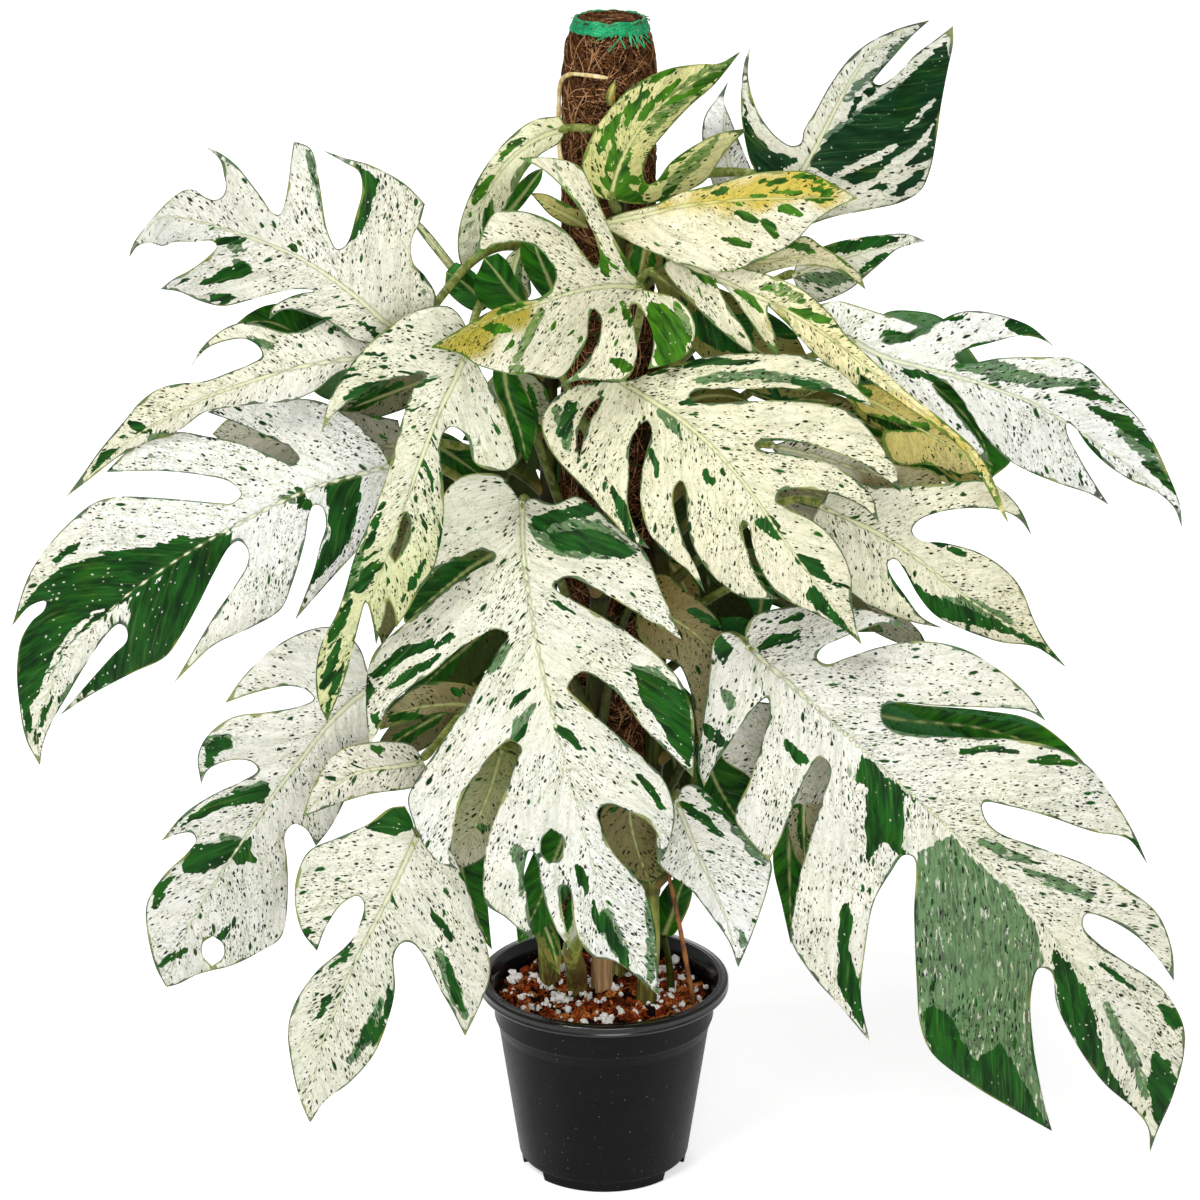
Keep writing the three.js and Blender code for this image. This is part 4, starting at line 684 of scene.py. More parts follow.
# How each leaf is marbled. ground: its colour at the base and at the tip. dose: freckles, streaks, sage.
# dark, sage and pale patches are outlines in pixels, or strokes with a half-width at each point, with
# a ; between them. washes are coloured patches with soft ends, and under is the lower face's tint,
# which on the far side's leaves is a dark olive: painted shade for the deep gaps between the front leaves.
leafPaint = {
    "usual": {"ground": "e8e5cf ecebe2", "dose": (0.55, 0.35, 0.3), "cool": (0.95, 0.96, 1.03)},
    "leaf_front": {
        "ground": "e9e7cf edece2", "dose": (0.6, 0.3, 0.25),
        "dark": """527,518 575,505 590,503 600,512 560,522 540,533;
        548,536 575,528 610,533 640,556 620,558 590,553 560,552;
        632,668 655,676 690,694 693,745 690,768 676,752 660,725 640,700; 375,676,4 400,655,7 430,643,4;
        390,688,3 415,672,5 440,655,3; 435,648,2 450,636,4; 366,675,3 369,690,5 367,702,2;
        372,712,2 378,724,4 384,735,2; 512,706,2 520,697,4 530,690,2; 514,742,2 522,734,4 528,722,2;
        556,727,3 566,734,5 580,748,2; 640,777,3 650,788,5 661,806,2; 592,900,2 596,915,5 600,930,2;
        603,914,3 614,940,6 630,974,3; 654,860,2 660,876,3 652,892,2; 577,866,3 583,878,5 586,892,2;
        536,884,2 533,900,3; 560,868,2 566,880,3""",
        "sage": """488,672,3 498,660,7 510,646,3; 498,652,2 506,644,4 520,630,2;
        512,742,4 520,726,8 534,706,3; 630,662 660,668 690,700 690,720 664,712 640,690;
        527,524 560,518 600,520 640,552 600,560 556,556 536,542; 516,850,6 526,870,8 522,894,3;
        648,886,3 652,930,6 650,980,3; 606,916,8 620,950,9""",
    },
    "leaf_right_low": {
        "ground": "e9e7da e6e3ca", "dose": (0.68, 0.5, 0.45),
        "dark": """
        920,1010 935,1003 955,1024 975,1062 1000,1040 1020,1075 1050,1132 1013,1112 976,1090 932,1056;
        862,752 880,770 915,800 912,845 900,857 885,840 868,862 865,830 868,790 855,780;
        838,912 848,900 852,920 850,950 858,980 868,1038 850,1010 838,985;
        1052,945 1068,962 1085,990 1095,1015 1105,1060 1135,1110 1105,1086 1080,1052 1057,1005;
        1155,1000 1178,1010 1185,1024 1172,1030; 1152,1052 1170,1060 1178,1082 1158,1130 1148,1090;
        1128,895 1140,905 1148,916 1134,908; 1120,832 1138,842 1148,866 1132,858;
        962,752,3 990,748,5 1018,752,2; 1030,762,3 1055,760,5 1078,766,2; 716,636,4 724,650,9 722,664,3;
        702,724,3 714,735,7 726,746,3; 786,744,3 800,758,6 812,764,2; 760,650,4 776,640,7 800,636,3;
        780,622,2 800,618,4; 893,846,3 902,852,4; 1084,1086,2 1110,1104,3;
        1100,962,2 1120,978,4 1134,990,2""",
        "sage": """918,850 950,835 975,860 1010,890 1035,925 1043,960 1033,1000 1043,1100 1052,1131
        1013,1109 976,1087 932,1053 920,1024 914,913; 720,688 734,692 740,706 726,712;
        980,840,4 1000,850,6 1030,862,3; 1105,1005,4 1130,1050,7 1146,1096,4;
        1024,870,3 1060,884,6 1090,896,3""",
        "pale": "905,790 925,820 935,846 915,852 902,850",
    },
    "leaf_left_big": {
        "ground": "f8f7f0 f4f2dc", "dose": (0.6, 0.25, 0.2), "sweep": 1.3,
        "dark": """12,620 22,606 45,580 66,566 91,556 137,548 172,543 203,538 238,524 205,552 170,572
        140,592 118,606 96,622 70,640 48,668 36,700 24,715 16,680 14,650; 236,528 228,552 215,590
        196,620 168,660 130,675 98,688 66,711 90,676 110,648 122,640 124,620 130,600 150,586 180,566
        210,546; 16,640,4 22,690,6 30,730,3;
        325,484 340,478 362,474 360,500 352,540 330,565 310,590 318,560 330,530;
        298,490,3 304,502,7 316,512,3; 172,541,3 180,541,5 188,541,3; 56,560,3 72,548,4 84,540,2;
        56,690,2 44,715,4 36,742,2""",
        "sage": "280,498,3 292,500,5; 108,600,3 84,620,7 60,648,5 46,680,3; 120,640,3 90,664,6 60,700,3",
        "pale": """112,602,1 84,622,3 58,652,3 42,690,1;
        128,612,3 122,640,3 100,650,3 74,672,3 54,700,2 44,730,2""",
    },
    "leaf_left_under": {
        "ground": "f6f4e8 ece6c4", "dose": (0.55, 0.4, 0.3),
        "dark": """130,422,3 140,428,6 150,430,3; 92,474,2 104,456,4 118,446,2; 270,452,2 290,458,4;
        330,330,3 350,326,5 372,328,2""",
        "sage": "152,438,4 166,436,6; 250,340,3 270,346,5",
    },
    "leaf_left_top": {
        "ground": "e9e6cf ecebdf", "dose": (0.6, 0.4, 0.35),
        "dark": """225,268 242,262 255,271 240,280 200,285 214,276; 213,298,4 224,298,6 236,296,3;
        354,162 366,170 380,180 374,202 366,224 356,240 346,245 352,222 358,196; 288,248,3 294,248,5;
        360,322,2 372,330,4 380,338,2; 210,243,3 226,240,5 246,240,2; 250,322,2 266,318,3""",
        "sage": """225,242 240,238 246,250 232,256; 303,150 312,152 324,200 330,232 318,210;
        236,262,4 248,270,5""",
    },
    "leaf_front_left": {
        "ground": "e6e4cc d3d696", "dose": (0.6, 1.1, 0.5), "sweep": 2.0,
        "dark": """345,398,3 358,392,6 375,384,3; 330,640,3 340,620,6 352,600,3;
        322,690,2 330,666,5 340,640,3; 346,412,3 362,424,5 374,448,3; 326,712,2 334,690,4 344,660,2;
        360,560,2 370,540,4 384,500,2; 404,600,2 414,580,4 424,560,2""",
        "sage": "330,424,3 346,410,4; 346,600,3 356,570,5 366,540,3",
    },
    "leaf_gold_tip": {
        "ground": "ebe6c6 f0ebd0", "dose": (0.6, 0.5, 0.4), "sweep": 1.5,
        "dark": """485,328,3 496,328,6 508,330,3; 500,312,3 514,308,5 526,306,2;
        649,301 668,305 682,320 690,340 684,360 660,370 652,358 660,340 645,318;
        612,360,3 624,366,6 636,372,3; 654,330,4 664,346,7 660,362,3; 600,250,3 604,264,5 606,276,2;
        622,250,3 630,266,4 640,280,2; 620,300,2 626,312,5 630,326,2""",
        "sage": "540,310,4 530,334,6 514,360,3; 510,368,3 520,370,5; 676,306,4 686,330,7 680,352,4",
        "washes": {"aca042": "426,352 456,326 500,304 540,296 536,322 500,340 470,366 440,362"},
    },
    "leaf_cream_right": {
        "ground": "ebe2b4 f8f3de", "dose": (0.45, 0.5, 0.2), "sweep": 1.8,
        "washes": {
            "cdb953": "660,204 700,190 740,176 800,168 832,170 862,192 840,202 800,206 750,209 700,213",
        },
        "dark": """735,214,3 745,216,5 756,222,2; 723,240,3 736,242,4 750,246,2;
        764,222,3 770,228,6 776,236,3; 780,210,3 790,209,5 800,214,2; 700,196,2 716,192,4 734,190,2;
        760,182,2 772,182,3 786,180,2; 794,176,2 808,178,3 822,182,2; 772,192,2 788,192,3 802,194,2;
        814,190,2 826,192,3 842,190,2; 746,194,2 754,196,3 764,198,2; 806,200,2 818,201,3 830,198,2""",
    },
    "leaf_top_right": {
        "ground": "d6d388 e3dda0", "dose": (0.5, 1.25, 0.6), "sweep": 2.4,
        "dark": """603,180,5 620,190,9 646,206,4; 610,168,3 626,176,6 640,184,3;
        645,92,3 634,108,6 624,128,3; 652,80,2 664,72,4 676,70,2; 683,116,2 700,100,4 717,84,2;
        660,168,3 648,178,6 640,196,3; 670,160,2 664,172,4 652,190,2; 616,140,2 612,156,4 608,170,2;
        630,150,3 624,166,5 620,180,3; 656,206,2 664,196,4 676,186,2; 690,92,2 700,84,5 730,66,2;
        640,120,2 656,100,4 680,80,2; 600,150,3 610,130,5 624,112,2""",
        "sage": "665,190,4 690,166,7 718,136,3; 728,64,4 706,76,8 684,92,9 664,112,8 650,130,4",
    },
    "leaf_arch_left": {
        "ground": "eeebb8 f6f4d8", "dose": (0.4, 0.85, 0.6), "sweep": 2.4,
        "dark": """474,200,3 482,190,6 492,176,3; 500,160,2 510,148,4 524,138,2;
        490,240,3 486,226,5 488,210,2""",
        "sage": "508,190,3 520,172,5 534,158,3",
    },
    "leaf_dark_right": {
        "ground": "e3e1cc dfe0cf", "dose": (0.4, 0.5, 0.5),
        "dark": """
        806,166 826,140 862,112 900,86 946,40 950,60 942,110 936,150 920,180 900,196 870,190 838,178;
        742,60 744,100 752,130 770,150 800,160 780,172 752,176 744,150 742,110;
        864,100,2 884,76,4 906,50,3 920,30,2; 846,120,2 858,100,3 870,88,2""",
        "sage": """822,136 860,108 900,84 936,56 940,90 920,120 880,140 840,156;
        880,70,4 900,50,7 918,32,3; 846,100,3 860,84,5 876,70,3""",
        "pale": """868,186,3 900,160,5 930,140,2; 880,196,3 912,170,4 936,158,2;
        836,176,3 870,160,4 896,146,2; 890,176,2 915,150,4 938,120,2; 850,190,2 880,180,4 905,178,2;
        905,130,2 920,115,3 934,100,2""",
    },
    "leaf_white_back": {"ground": "fdfcf6 fffef8", "dose": (0.45, 0.3, 0.2)},
    "leaf_small_right": {
        "ground": "f2f0d8 f0f0e0", "dose": (0.6, 0.55, 0.4),
        "dark": """812,250 840,240 880,236 906,237 880,246 846,254; 770,266,3 790,262,5 812,260,2;
        860,272,2 874,262,4 890,252,2""",
        "sage": "800,276,4 830,280,7 860,276,4",
    },
    "leaf_cream_tail": {
        "ground": "e6e0b0 e8e0b4", "dose": (0.45, 0.4, 0.2),
        "dark": "768,236,3 790,244,5 812,250,3; 826,246,2 840,254,4 852,268,2",
    },
    "leaf_cream_long": {
        "ground": "f4eecf ece09a", "dose": (0.45, 0.45, 0.3),
        "dark": """790,310,3 808,314,6 830,322,3; 690,268,3 704,276,5 720,286,2;
        736,290,2 750,300,4 764,312,2""",
        "sage": "765,288,4 782,290,7 800,298,4",
        "washes": {
            "a9a04a": "765,302 785,306 788,325 770,325",
            "d5b95c": "880,392 940,420 990,470 960,460 900,420",
        },
    },
    "leaf_right_top": {
        "ground": "f7f6ea f6f6ee", "dose": (0.6, 0.35, 0.35),
        "dark": """1000,318 1020,318 1050,338 1030,338 1012,332; 1060,390,3 1084,392,5 1110,400,3;
        1090,408,3 1120,420,8 1155,450,3; 1068,428,3 1084,442,6 1100,460,3;
        1145,462,3 1160,474,6 1176,492,3; 905,372,3 920,374,5 940,380,2; 960,350,2 976,346,4 990,344,2;
        930,316,3 946,318,5 968,318,2; 880,330 905,332 915,343 892,342""",
        "sage": """960,366,5 990,368,9 1030,376,5; 990,378,4 1040,380,7 1096,386,4;
        1010,322,5 1040,336,7; 1120,430,4 1150,458,7 1172,484,4""",
    },
    "leaf_center_right": {
        "ground": "e9e5c2 e9e4c6", "dose": (0.55, 0.4, 0.3),
        "dark": """556,434 566,402 578,400 574,424 564,440; 613,490,3 622,510,6 634,542,3;
        705,472,3 710,480,5; 760,522,5 770,526,9 778,538,4; 800,558,5 814,566,8 830,580,3;
        803,595 815,585 830,605 858,640 836,624 818,610; 720,470,2 724,474,3;
        682,404,3 700,398,4 726,394,2; 752,392,2 780,390,4 812,394,2; 650,372,3 700,362,4 760,362,2;
        790,380,2 830,392,4 866,404,2; 652,450,3 656,464,4 658,476,2""",
        "sage": """556,410,5 566,424,8 566,446,4; 660,412,4 670,420,7 680,436,3;
        700,380,4 760,374,6 830,386,4; 880,490,4 894,492,5 908,496,3""",
    },
    "leaf_right_mid": {
        "ground": "e8e5cc e9e3c0", "dose": (0.6, 0.45, 0.3),
        "dark": """886,558 902,566 922,590 960,606 1000,622 1040,642 1000,632 950,620 910,606 892,584;
        1008,630,2 1030,640,4 1056,656,2; 930,540,2 950,548,4 972,560,2""",
        "sage": "930,600,4 970,604,7 1010,620,4",
    },
    "leaf_left_low": {
        "ground": "e9e7d8 eae9dd", "dose": (0.6, 0.4, 0.35),
        "dark": """205,748 216,738 240,738 222,752 204,772;
        176,830 190,814 214,800 240,790 276,782 262,802 230,806 200,818;
        182,858 196,844 222,842 252,836 248,852 226,862 204,872 184,872; 236,860,4 246,856,7 254,860,3;
        155,906,3 160,890,6 172,876,3; 158,966,2 170,958,4 186,950,2; 214,946,2 226,932,4 236,918,2""",
        "sage": "208,742,6 226,742,8; 240,792,5 262,788,8; 224,838,4 246,844,6",
    },
    "leaf_pot_left": {
        "ground": "e7e5d2 e9e8d2", "dose": (0.65, 0.45, 0.35),
        "dark": """363,827 405,800 410,805 415,828 395,836 375,832;
        392,962 394,1000 386,1030 366,1056 380,1020 388,990; 350,944,3 344,956,4 330,968,2;
        446,956,3 452,980,6 462,1010,3; 372,1020,3 366,1036,5 354,1052,2; 300,940,2 308,930,3;
        318,1020,2 326,1000,4 340,984,2; 430,908,2 440,924,4 450,940,2""",
        "sage": "380,1000,4 372,1030,8 350,1060,4; 440,950,5 452,984,8 464,1016,4; 372,820,5 400,812,7",
    },
    "leaf_left_tuck": {
        "ground": "e2ddc8 e4e0cf", "dose": (0.6, 0.3, 0.2),
        "dark": "372,748,3 380,750,4; 420,755,2 435,757,3",
    },
    "leaf_pot_right": {
        "ground": "f3f1e4 f6f5ee", "dose": (0.6, 0.3, 0.35),
        "dark": "680,802,3 700,816,6 720,834,3; 700,792,2 716,806,4 732,824,2",
        "sage": "733,824,4 750,842,7 765,862,4; 740,930,3 744,944,4",
    },
    # The leaves from here to leaf_low_right_olive lie deep in the plant: their dark greens, olives and
    # greyed beiges are partly their own colour and partly painted shade
    "leaf_left_shade_up": {
        "ground": "4a6a3c 2f5f28", "dose": (0.2, 0.9, 0.5), "dark": "180,250 420,250 420,345 180,345",
    },
    "leaf_left_shade_low": {"ground": "b9b5a0 cac6b4", "dose": (0.6, 0.5, 0.4)},
    "leaf_right_shade_up": {
        "ground": "5f8a58 2c6a34", "dose": (0.2, 0.9, 0.9),
        "dark": "900,380 960,380 1010,470 1000,480 940,440",
    },
    "leaf_right_shade_low": {
        "ground": "3d7a44 2c6a34", "dose": (0.2, 0.9, 0.9),
        "dark": "880,700 1060,730 1150,860 1120,840 1000,750",
    },
    "leaf_right_tuck": {"ground": "ddd9c6 e2dfd2", "dose": (0.4, 0.2, 0.2)},
    "leaf_low_right_back": {
        "ground": "5f6a34 3a5a2a", "dose": (0.3, 0.9, 0.6),
        "dark": "690,700 790,760 800,900 780,900 700,800",
    },
    "leaf_low_right_dark": {
        "ground": "2c5f2a 1f5527", "dose": (0.1, 0.9, 0.4), "dark": "600,700 800,700 800,960 600,960",
    },
    "leaf_low_left_dark": {
        "ground": "2c5f2a 1f5527", "dose": (0.1, 0.9, 0.4), "dark": "400,780 520,780 520,960 400,960",
    },
    "leaf_green_strap": {
        "ground": "3c7a30 2c6a2c", "dose": (0, 0.8, 0.2), "dark": "480,350 560,350 560,500 480,500",
    },
    "leaf_green_young": {
        "ground": "3c7a30 2c6a2c", "dose": (0, 0.8, 0.2), "dark": "430,240 560,240 560,340 430,340",
    },
    "leaf_mid_olive": {
        "ground": "7d6a30 a49a70", "dose": (0.65, 0.8, 0.3), "dark": "690,608,3 704,618,6 722,628,3",
    },
    "leaf_mid_green": {
        "ground": "2c6a2c 1f5527", "dose": (0.1, 0.9, 0.3), "dark": "560,560 700,560 700,800 560,800",
    },
    "leaf_upper_olive": {
        "ground": "6a6a2e 8a8648", "dose": (0.5, 1.0, 0.4),
        "dark": """690,310 755,316 752,356 716,350 694,336; 765,320,4 780,328,8 794,336,4;
        703,392,4 760,398,6 828,404,3""",
    },
    "leaf_right_gold": {
        "ground": "c9b860 d8cb88", "dose": (0.5, 0.7, 0.2),
        "dark": "858,390,4 866,394,6; 870,420,5 896,424,8 925,428,4; 895,468,4 920,476,8 945,486,4",
    },
    "leaf_right_beige": {
        "ground": "dedac4 b3a878", "dose": (0.55, 0.5, 0.2),
        "washes": {"8d8460": "855,468 900,470 900,492 860,490"},
    },
    "leaf_left_olive": {
        "ground": "5c6a34 3c6a30", "dose": (0.3, 0.9, 0.3), "dark": "400,560 500,560 500,620 400,640",
    },
    "leaf_left_beige": {
        "ground": "857a50 a09870", "dose": (0.65, 0.9, 0.3),
        "dark": "390,716,4 406,717,6 425,718,3; 452,690,3 460,692,4",
    },
    "leaf_low_left_pale": {
        "ground": "8f9458 cbc6ae", "dose": (0.5, 0.5, 0.4), "sage": "478,826,4 484,828,5",
    },
    "leaf_low_right_olive": {"ground": "8a8058 777042", "dose": (0.6, 0.9, 0.3)},
    # the far side's leaves: under is a dark olive, painted shade seen through the gaps between the front
    # leaves
    "leaf_back_high": {
        "under": "3a4a1c", "ground": "e9e6cf e4e0bd", "dose": (0.55, 0.55, 0.4),
        "dark": "640,380,5 670,396,9 694,420,4; 600,480,4 576,500,8 550,520,4",
    },
    "leaf_back_left": {
        "under": "3a4a1c", "ground": "e8e6d2 e9e8dd", "dose": (0.55, 0.55, 0.4),
        "dark": "470,560,5 450,580,9 424,600,4; 540,450,4 556,470,7 560,500,4",
    },
    "leaf_back_right": {
        "under": "3a4a1c", "ground": "e6e3cb e6e2c6", "dose": (0.55, 0.6, 0.4),
        "dark": "700,520,5 730,540,8 756,560,4",
    },
    "leaf_back_low": {
        "under": "3a4a1c", "ground": "e9e8dc e7e4cb", "dose": (0.55, 0.55, 0.4),
        "dark": "590,700,5 620,716,10 650,740,4; 570,760,4 550,780,8 530,800,4",
    },
    "leaf_back_low_left": {"under": "3a4a1c", "ground": "e6e4d0 e8e7da", "dose": (0.55, 0.6, 0.4)},
    "leaf_back_low_right": {"under": "3a4a1c", "ground": "e6e4d0 e8e7da", "dose": (0.55, 0.6, 0.4)},
}

bladeLook = {
    "thickness": 0.55,  # mm, and thinner at the margin
    "marginThickness": 0.22,
    "spacing": 4.2,  # pixels between mesh points
    "marginSpacing": 3.0,
    "groove": 1.5,  # mm that the midrib is sunk by
    "quilt": 0.75,  # mm that the blade swells between its side veins
    "quiltEvery": 11.0,  # mm between side veins
    "curl": 1.8,  # mm that the margin bends back by
    "wave": 2.4,  # mm of slow wave over the blade
    "ribWidth": 1.5,  # mm, half the midrib's width at its base
    "keel": 1.6,  # mm that the midrib stands out below
    "rounds": 160,  # of easing, when the veins' plane is laid over the blade
    "fan": 42.0,  # pixels for each radian, where veins fan out from a blade's base
}
stalkLook = {
    "base": 3.4, "tip": 2.1,  # mm radius at the stem and at the blade
    "rise": 1.4, "turn": 0.5,  # its first direction: how much up, and how much to the blade's side
    "start": 0.2, "end": 0.12,  # the curve's handles, as shares of the way
    "bow": 0.22,  # share of the way that it keeps behind its blade
    "steps": 40, "sides": 12,
}
backLook = {"lean": 0.12, "droop": -0.0008, "lobeSweep": 0.55, "slotInner": 0.34}  # the far side's leaves
block = 1500  # points handled at a time, to save memory
sharpTip = 58  # degrees that a margin turns by at a point that stays sharp


def crossOf(a, b):  # how far b turns from a, in the plane
    return a[..., 0] * b[..., 1] - a[..., 1] * b[..., 0]


def insideRing(points, ring):  # which points lie inside a closed outline
    odd = np.zeros(len(points), bool)
    a, b = ring, np.roll(ring, -1, 0)
    rise = np.where(b[:, 1] == a[:, 1], 1e-9, b[:, 1] - a[:, 1])
    for start in range(0, len(points), block):
        some = slice(start, start + block)
        x, y = points[some, :1], points[some, 1:2]
        crosses = (a[:, 1] > y) != (b[:, 1] > y)
        at = (b[:, 0] - a[:, 0]) * (y - a[:, 1]) / rise + a[:, 0]
        odd[some] = (crosses & (x < at)).sum(1) % 2 == 1
    return odd


def nearest(points, targets):  # the distance to the nearest target, and its number
    away = np.empty(len(points))
    number = np.empty(len(points), int)
    for start in range(0, len(points), block):
        some = slice(start, start + block)
        gap = points[some, None] - targets
        square = (gap * gap).sum(2)
        number[some] = square.argmin(1)
        away[some] = np.sqrt(square.min(1))
    return away, number


def segmentsAway(points, a, b):  # how far each point lies from each segment, and where along it
    way = b - a
    along = ((points[:, None] - a) * way).sum(2) / np.maximum((way * way).sum(1), 1e-9)
    along = along.clip(0, 1)
    gap = points[:, None] - (a + along[:, :, None] * way)
    return np.sqrt((gap * gap).sum(2)), along


def withCorners(points, step, closed=False):
    # a smooth line through the given points that stays sharp where the margin turns back at a tip
    p = np.asarray(points, float)
    before, after = p - np.roll(p, 1, 0), np.roll(p, -1, 0) - p
    turn = np.degrees(np.arctan2(crossOf(before, after), (before * after).sum(1)))
    facing = np.sign(crossOf(p, np.roll(p, -1, 0)).sum())
    sharp = [i for i in np.flatnonzero(turn * facing > sharpTip) if closed or 0 < i < len(p) - 1]
    if closed:
        start = sharp[0] if sharp else 0
        p = np.vstack([np.roll(p, -start, 0), p[start]])
        stops = [i - start for i in sharp[1:]]
    else:
        stops = sharp
    stops = [0, *stops, len(p) - 1]
    spans = [evenly(throughPoints(p[i:j + 1]), step) for i, j in zip(stops[:-1], stops[1:])]
    return np.vstack([span[:-1] for span in spans] + ([] if closed else [p[-1:]]))


def lobedMargin(shape, side):  # the margin of a far-side leaf's half: slanting lobes, narrow slots
    curve = throughPoints(shape["rib"][:, :2], 20)
    along = lengthAlong(curve)
    sweep = backLook["lobeSweep"] * shape["width"] / along[-1]

    def at(lobe, share):
        t = min(0.96, lobe / shape["lobes"] + sweep * share)
        widest = math.sin(math.pi * (0.1 + 0.9 * t) ** 0.85) ** 0.6
        x, y = (np.interp(t * along[-1], along, curve[:, k]) for k in (0, 1))
        xNext, yNext = (np.interp(t * along[-1] + 2, along, curve[:, k]) for k in (0, 1))
        way = np.array([xNext - x, yNext - y]) / math.hypot(xNext - x, yNext - y)
        away = side * share * widest * shape["width"]
        return [x - way[1] * away, y + way[0] * away]

    margin = [at(0.02, 0.4)]
    for i in range(shape["lobes"] - 1):
        margin += [at(i + 0.16, 0.84), at(i + 0.5, 1), at(i + 0.84, 0.96),
                   at(i + 0.98, backLook["slotInner"])]
    return np.array([*margin, at(shape["lobes"] - 0.84, 0.84), at(shape["lobes"] - 0.6, 0.9)])


def lobesOf(away, least=10):  # where a margin reaches a lobe's tip and a slot's end, in turn
    turns = []
    best = 0
    outward = True
    for i, distance in enumerate(away):
        change = distance - away[best] if outward else away[best] - distance
        if change > 0:
            best = i
        elif -change > least:
            turns.append(best)
            outward = not outward
            best = i
    return turns + ([best] if outward else [])


def marginVeins(margin, rib, ribAlong, sweep):
    # samples with the place on the rib where the vein through them starts: margin, and root to tip
    away, near = nearest(margin, rib)
    full = ribAlong[-1]
    turns = lobesOf(away)
    ahead = np.gradient(rib, axis=0)
    ahead /= np.linalg.norm(ahead, axis=1, keepdims=True)
    roots = [0.0]
    for k in range(1, len(turns), 2):  # each slot points along a vein to its root
        i = turns[k]
        mouth = margin[turns[k - 1:k + 2:2]].mean(0)
        inward = margin[i] - mouth
        tangent = ahead[near[i]]
        slant = -(inward @ tangent) / max(abs(crossOf(inward, tangent)), 1e-6)
        root = ribAlong[near[i]] - min(max(slant, -0.4), 1.7) * away[i]
        roots.append(min(max(root, roots[-1] + 0.03 * full), 0.97 * full))
    roots.append(full)
    stops, values = [0], [0.0]
    for k, i in enumerate(turns):
        value = roots[k // 2 + 1] if k % 2 else 0.5 * (roots[k // 2] + roots[k // 2 + 1])
        stops.append(i)
        values.append(value)
    stops.append(len(margin) - 1)
    values.append(full)
    natural = ribAlong[near] - sweep * (0.4 + 1.5 * (ribAlong[near] / full) ** 2) * away
    toBase = margin - rib[0]
    angle = np.abs(np.arctan2(crossOf(toBase, ahead[0]), toBase @ ahead[0]))
    fan = natural < 0  # these veins fan out from the blade's base
    turned = angle - (angle[~fan][0] if (~fan).any() else 0)
    natural = np.where(fan, -bladeLook["fan"] * np.maximum(turned, 0), natural)
    if len(turns) < 2:  # an undivided half: its veins sweep forward from the rib
        inner = np.repeat([0.25, 0.5, 0.75], len(margin))[:, None]
        base = np.stack([np.interp(natural, ribAlong, rib[:, j]) for j in (0, 1)], 1)
        return (np.vstack([margin, np.tile(base, (3, 1)) * (1 - inner) + np.tile(margin, (3, 1)) * inner]),
                np.tile(natural, 4))
    samples, starts = [margin], [np.zeros(len(margin))]
    number = np.arange(len(margin))
    for k in range(len(stops) - 1):
        a, b = stops[k], max(stops[k + 1], stops[k] + 1)
        share = (number[a:b] - a) / (b - a)
        eased = share ** 1.2 if k % 2 == 0 else 1 - (1 - share) ** 1.2
        starts[0][a:b] = values[k] + (values[k + 1] - values[k]) * eased
    starts[0] = np.minimum(starts[0], natural)
    starts[0][-1] = full
    values = [0.0, *starts[0][turns]]
    for k, i in enumerate(turns):
        root = np.array([np.interp(values[k + 1], ribAlong, rib[:, j]) for j in (0, 1)])
        ends = [margin[turns[j]] for j in (k - 1, k + 1) if k % 2 == 0 and 0 <= j < len(turns)]
        way = [root, np.mean(ends, 0), margin[i]] if len(ends) == 2 else [root, margin[i]]
        line = evenly(throughPoints(way), 6)
        samples.append(line)
        starts.append(np.full(len(line), values[k + 1]))
    return np.vstack(samples), np.concatenate(starts)


def smoothed(values, edges, rounds, held=None):  # each value drawn to the mean of its neighbours'
    count = np.bincount(edges.ravel(), minlength=len(values))
    for _ in range(rounds):
        total = np.bincount(edges[:, 0], values[edges[:, 1]], len(values))
        total += np.bincount(edges[:, 1], values[edges[:, 0]], len(values))
        new = 0.5 * values + 0.5 * total / np.maximum(count, 1)
        values = new if held is None else np.where(held, values, new)
    return values


def followed(points, faces, aim, guess):
    # the coordinate whose slope comes nearest to aim in every face, by conjugate gradients
    a, b, c = (points[faces[:, k]] for k in range(3))
    area = crossOf(b - a, c - a)[:, None]
    area = np.where(np.abs(area) < 0.05, np.where(area < 0, -0.05, 0.05), area)
    slopes = [np.stack([-e[:, 1], e[:, 0]], 1) / area for e in (c - b, a - c, b - a)]
    weight = np.abs(area) / 2

    def gathered(flow):
        return sum(np.bincount(faces[:, k], (slopes[k] * flow).sum(1), len(points)) for k in range(3))

    def pulled(values):
        return gathered(weight * sum(values[faces[:, k], None] * slopes[k] for k in range(3)))

    stiff = sum(np.bincount(faces[:, k], (weight * slopes[k] ** 2).sum(1), len(points)) for k in range(3))
    stiff = np.maximum(stiff, 1e-9)
    value = guess.copy()
    rest = gathered(weight * aim) - pulled(value)
    eased = rest / stiff
    step = eased.copy()
    size = rest @ eased
    for _ in range(bladeLook["rounds"]):
        moved = pulled(step)
        share = size / max(step @ moved, 1e-12)
        value += share * step
        rest -= share * moved
        eased = rest / stiff
        new = rest @ eased
        step = eased + new / max(size, 1e-12) * step
        size = new
    return value


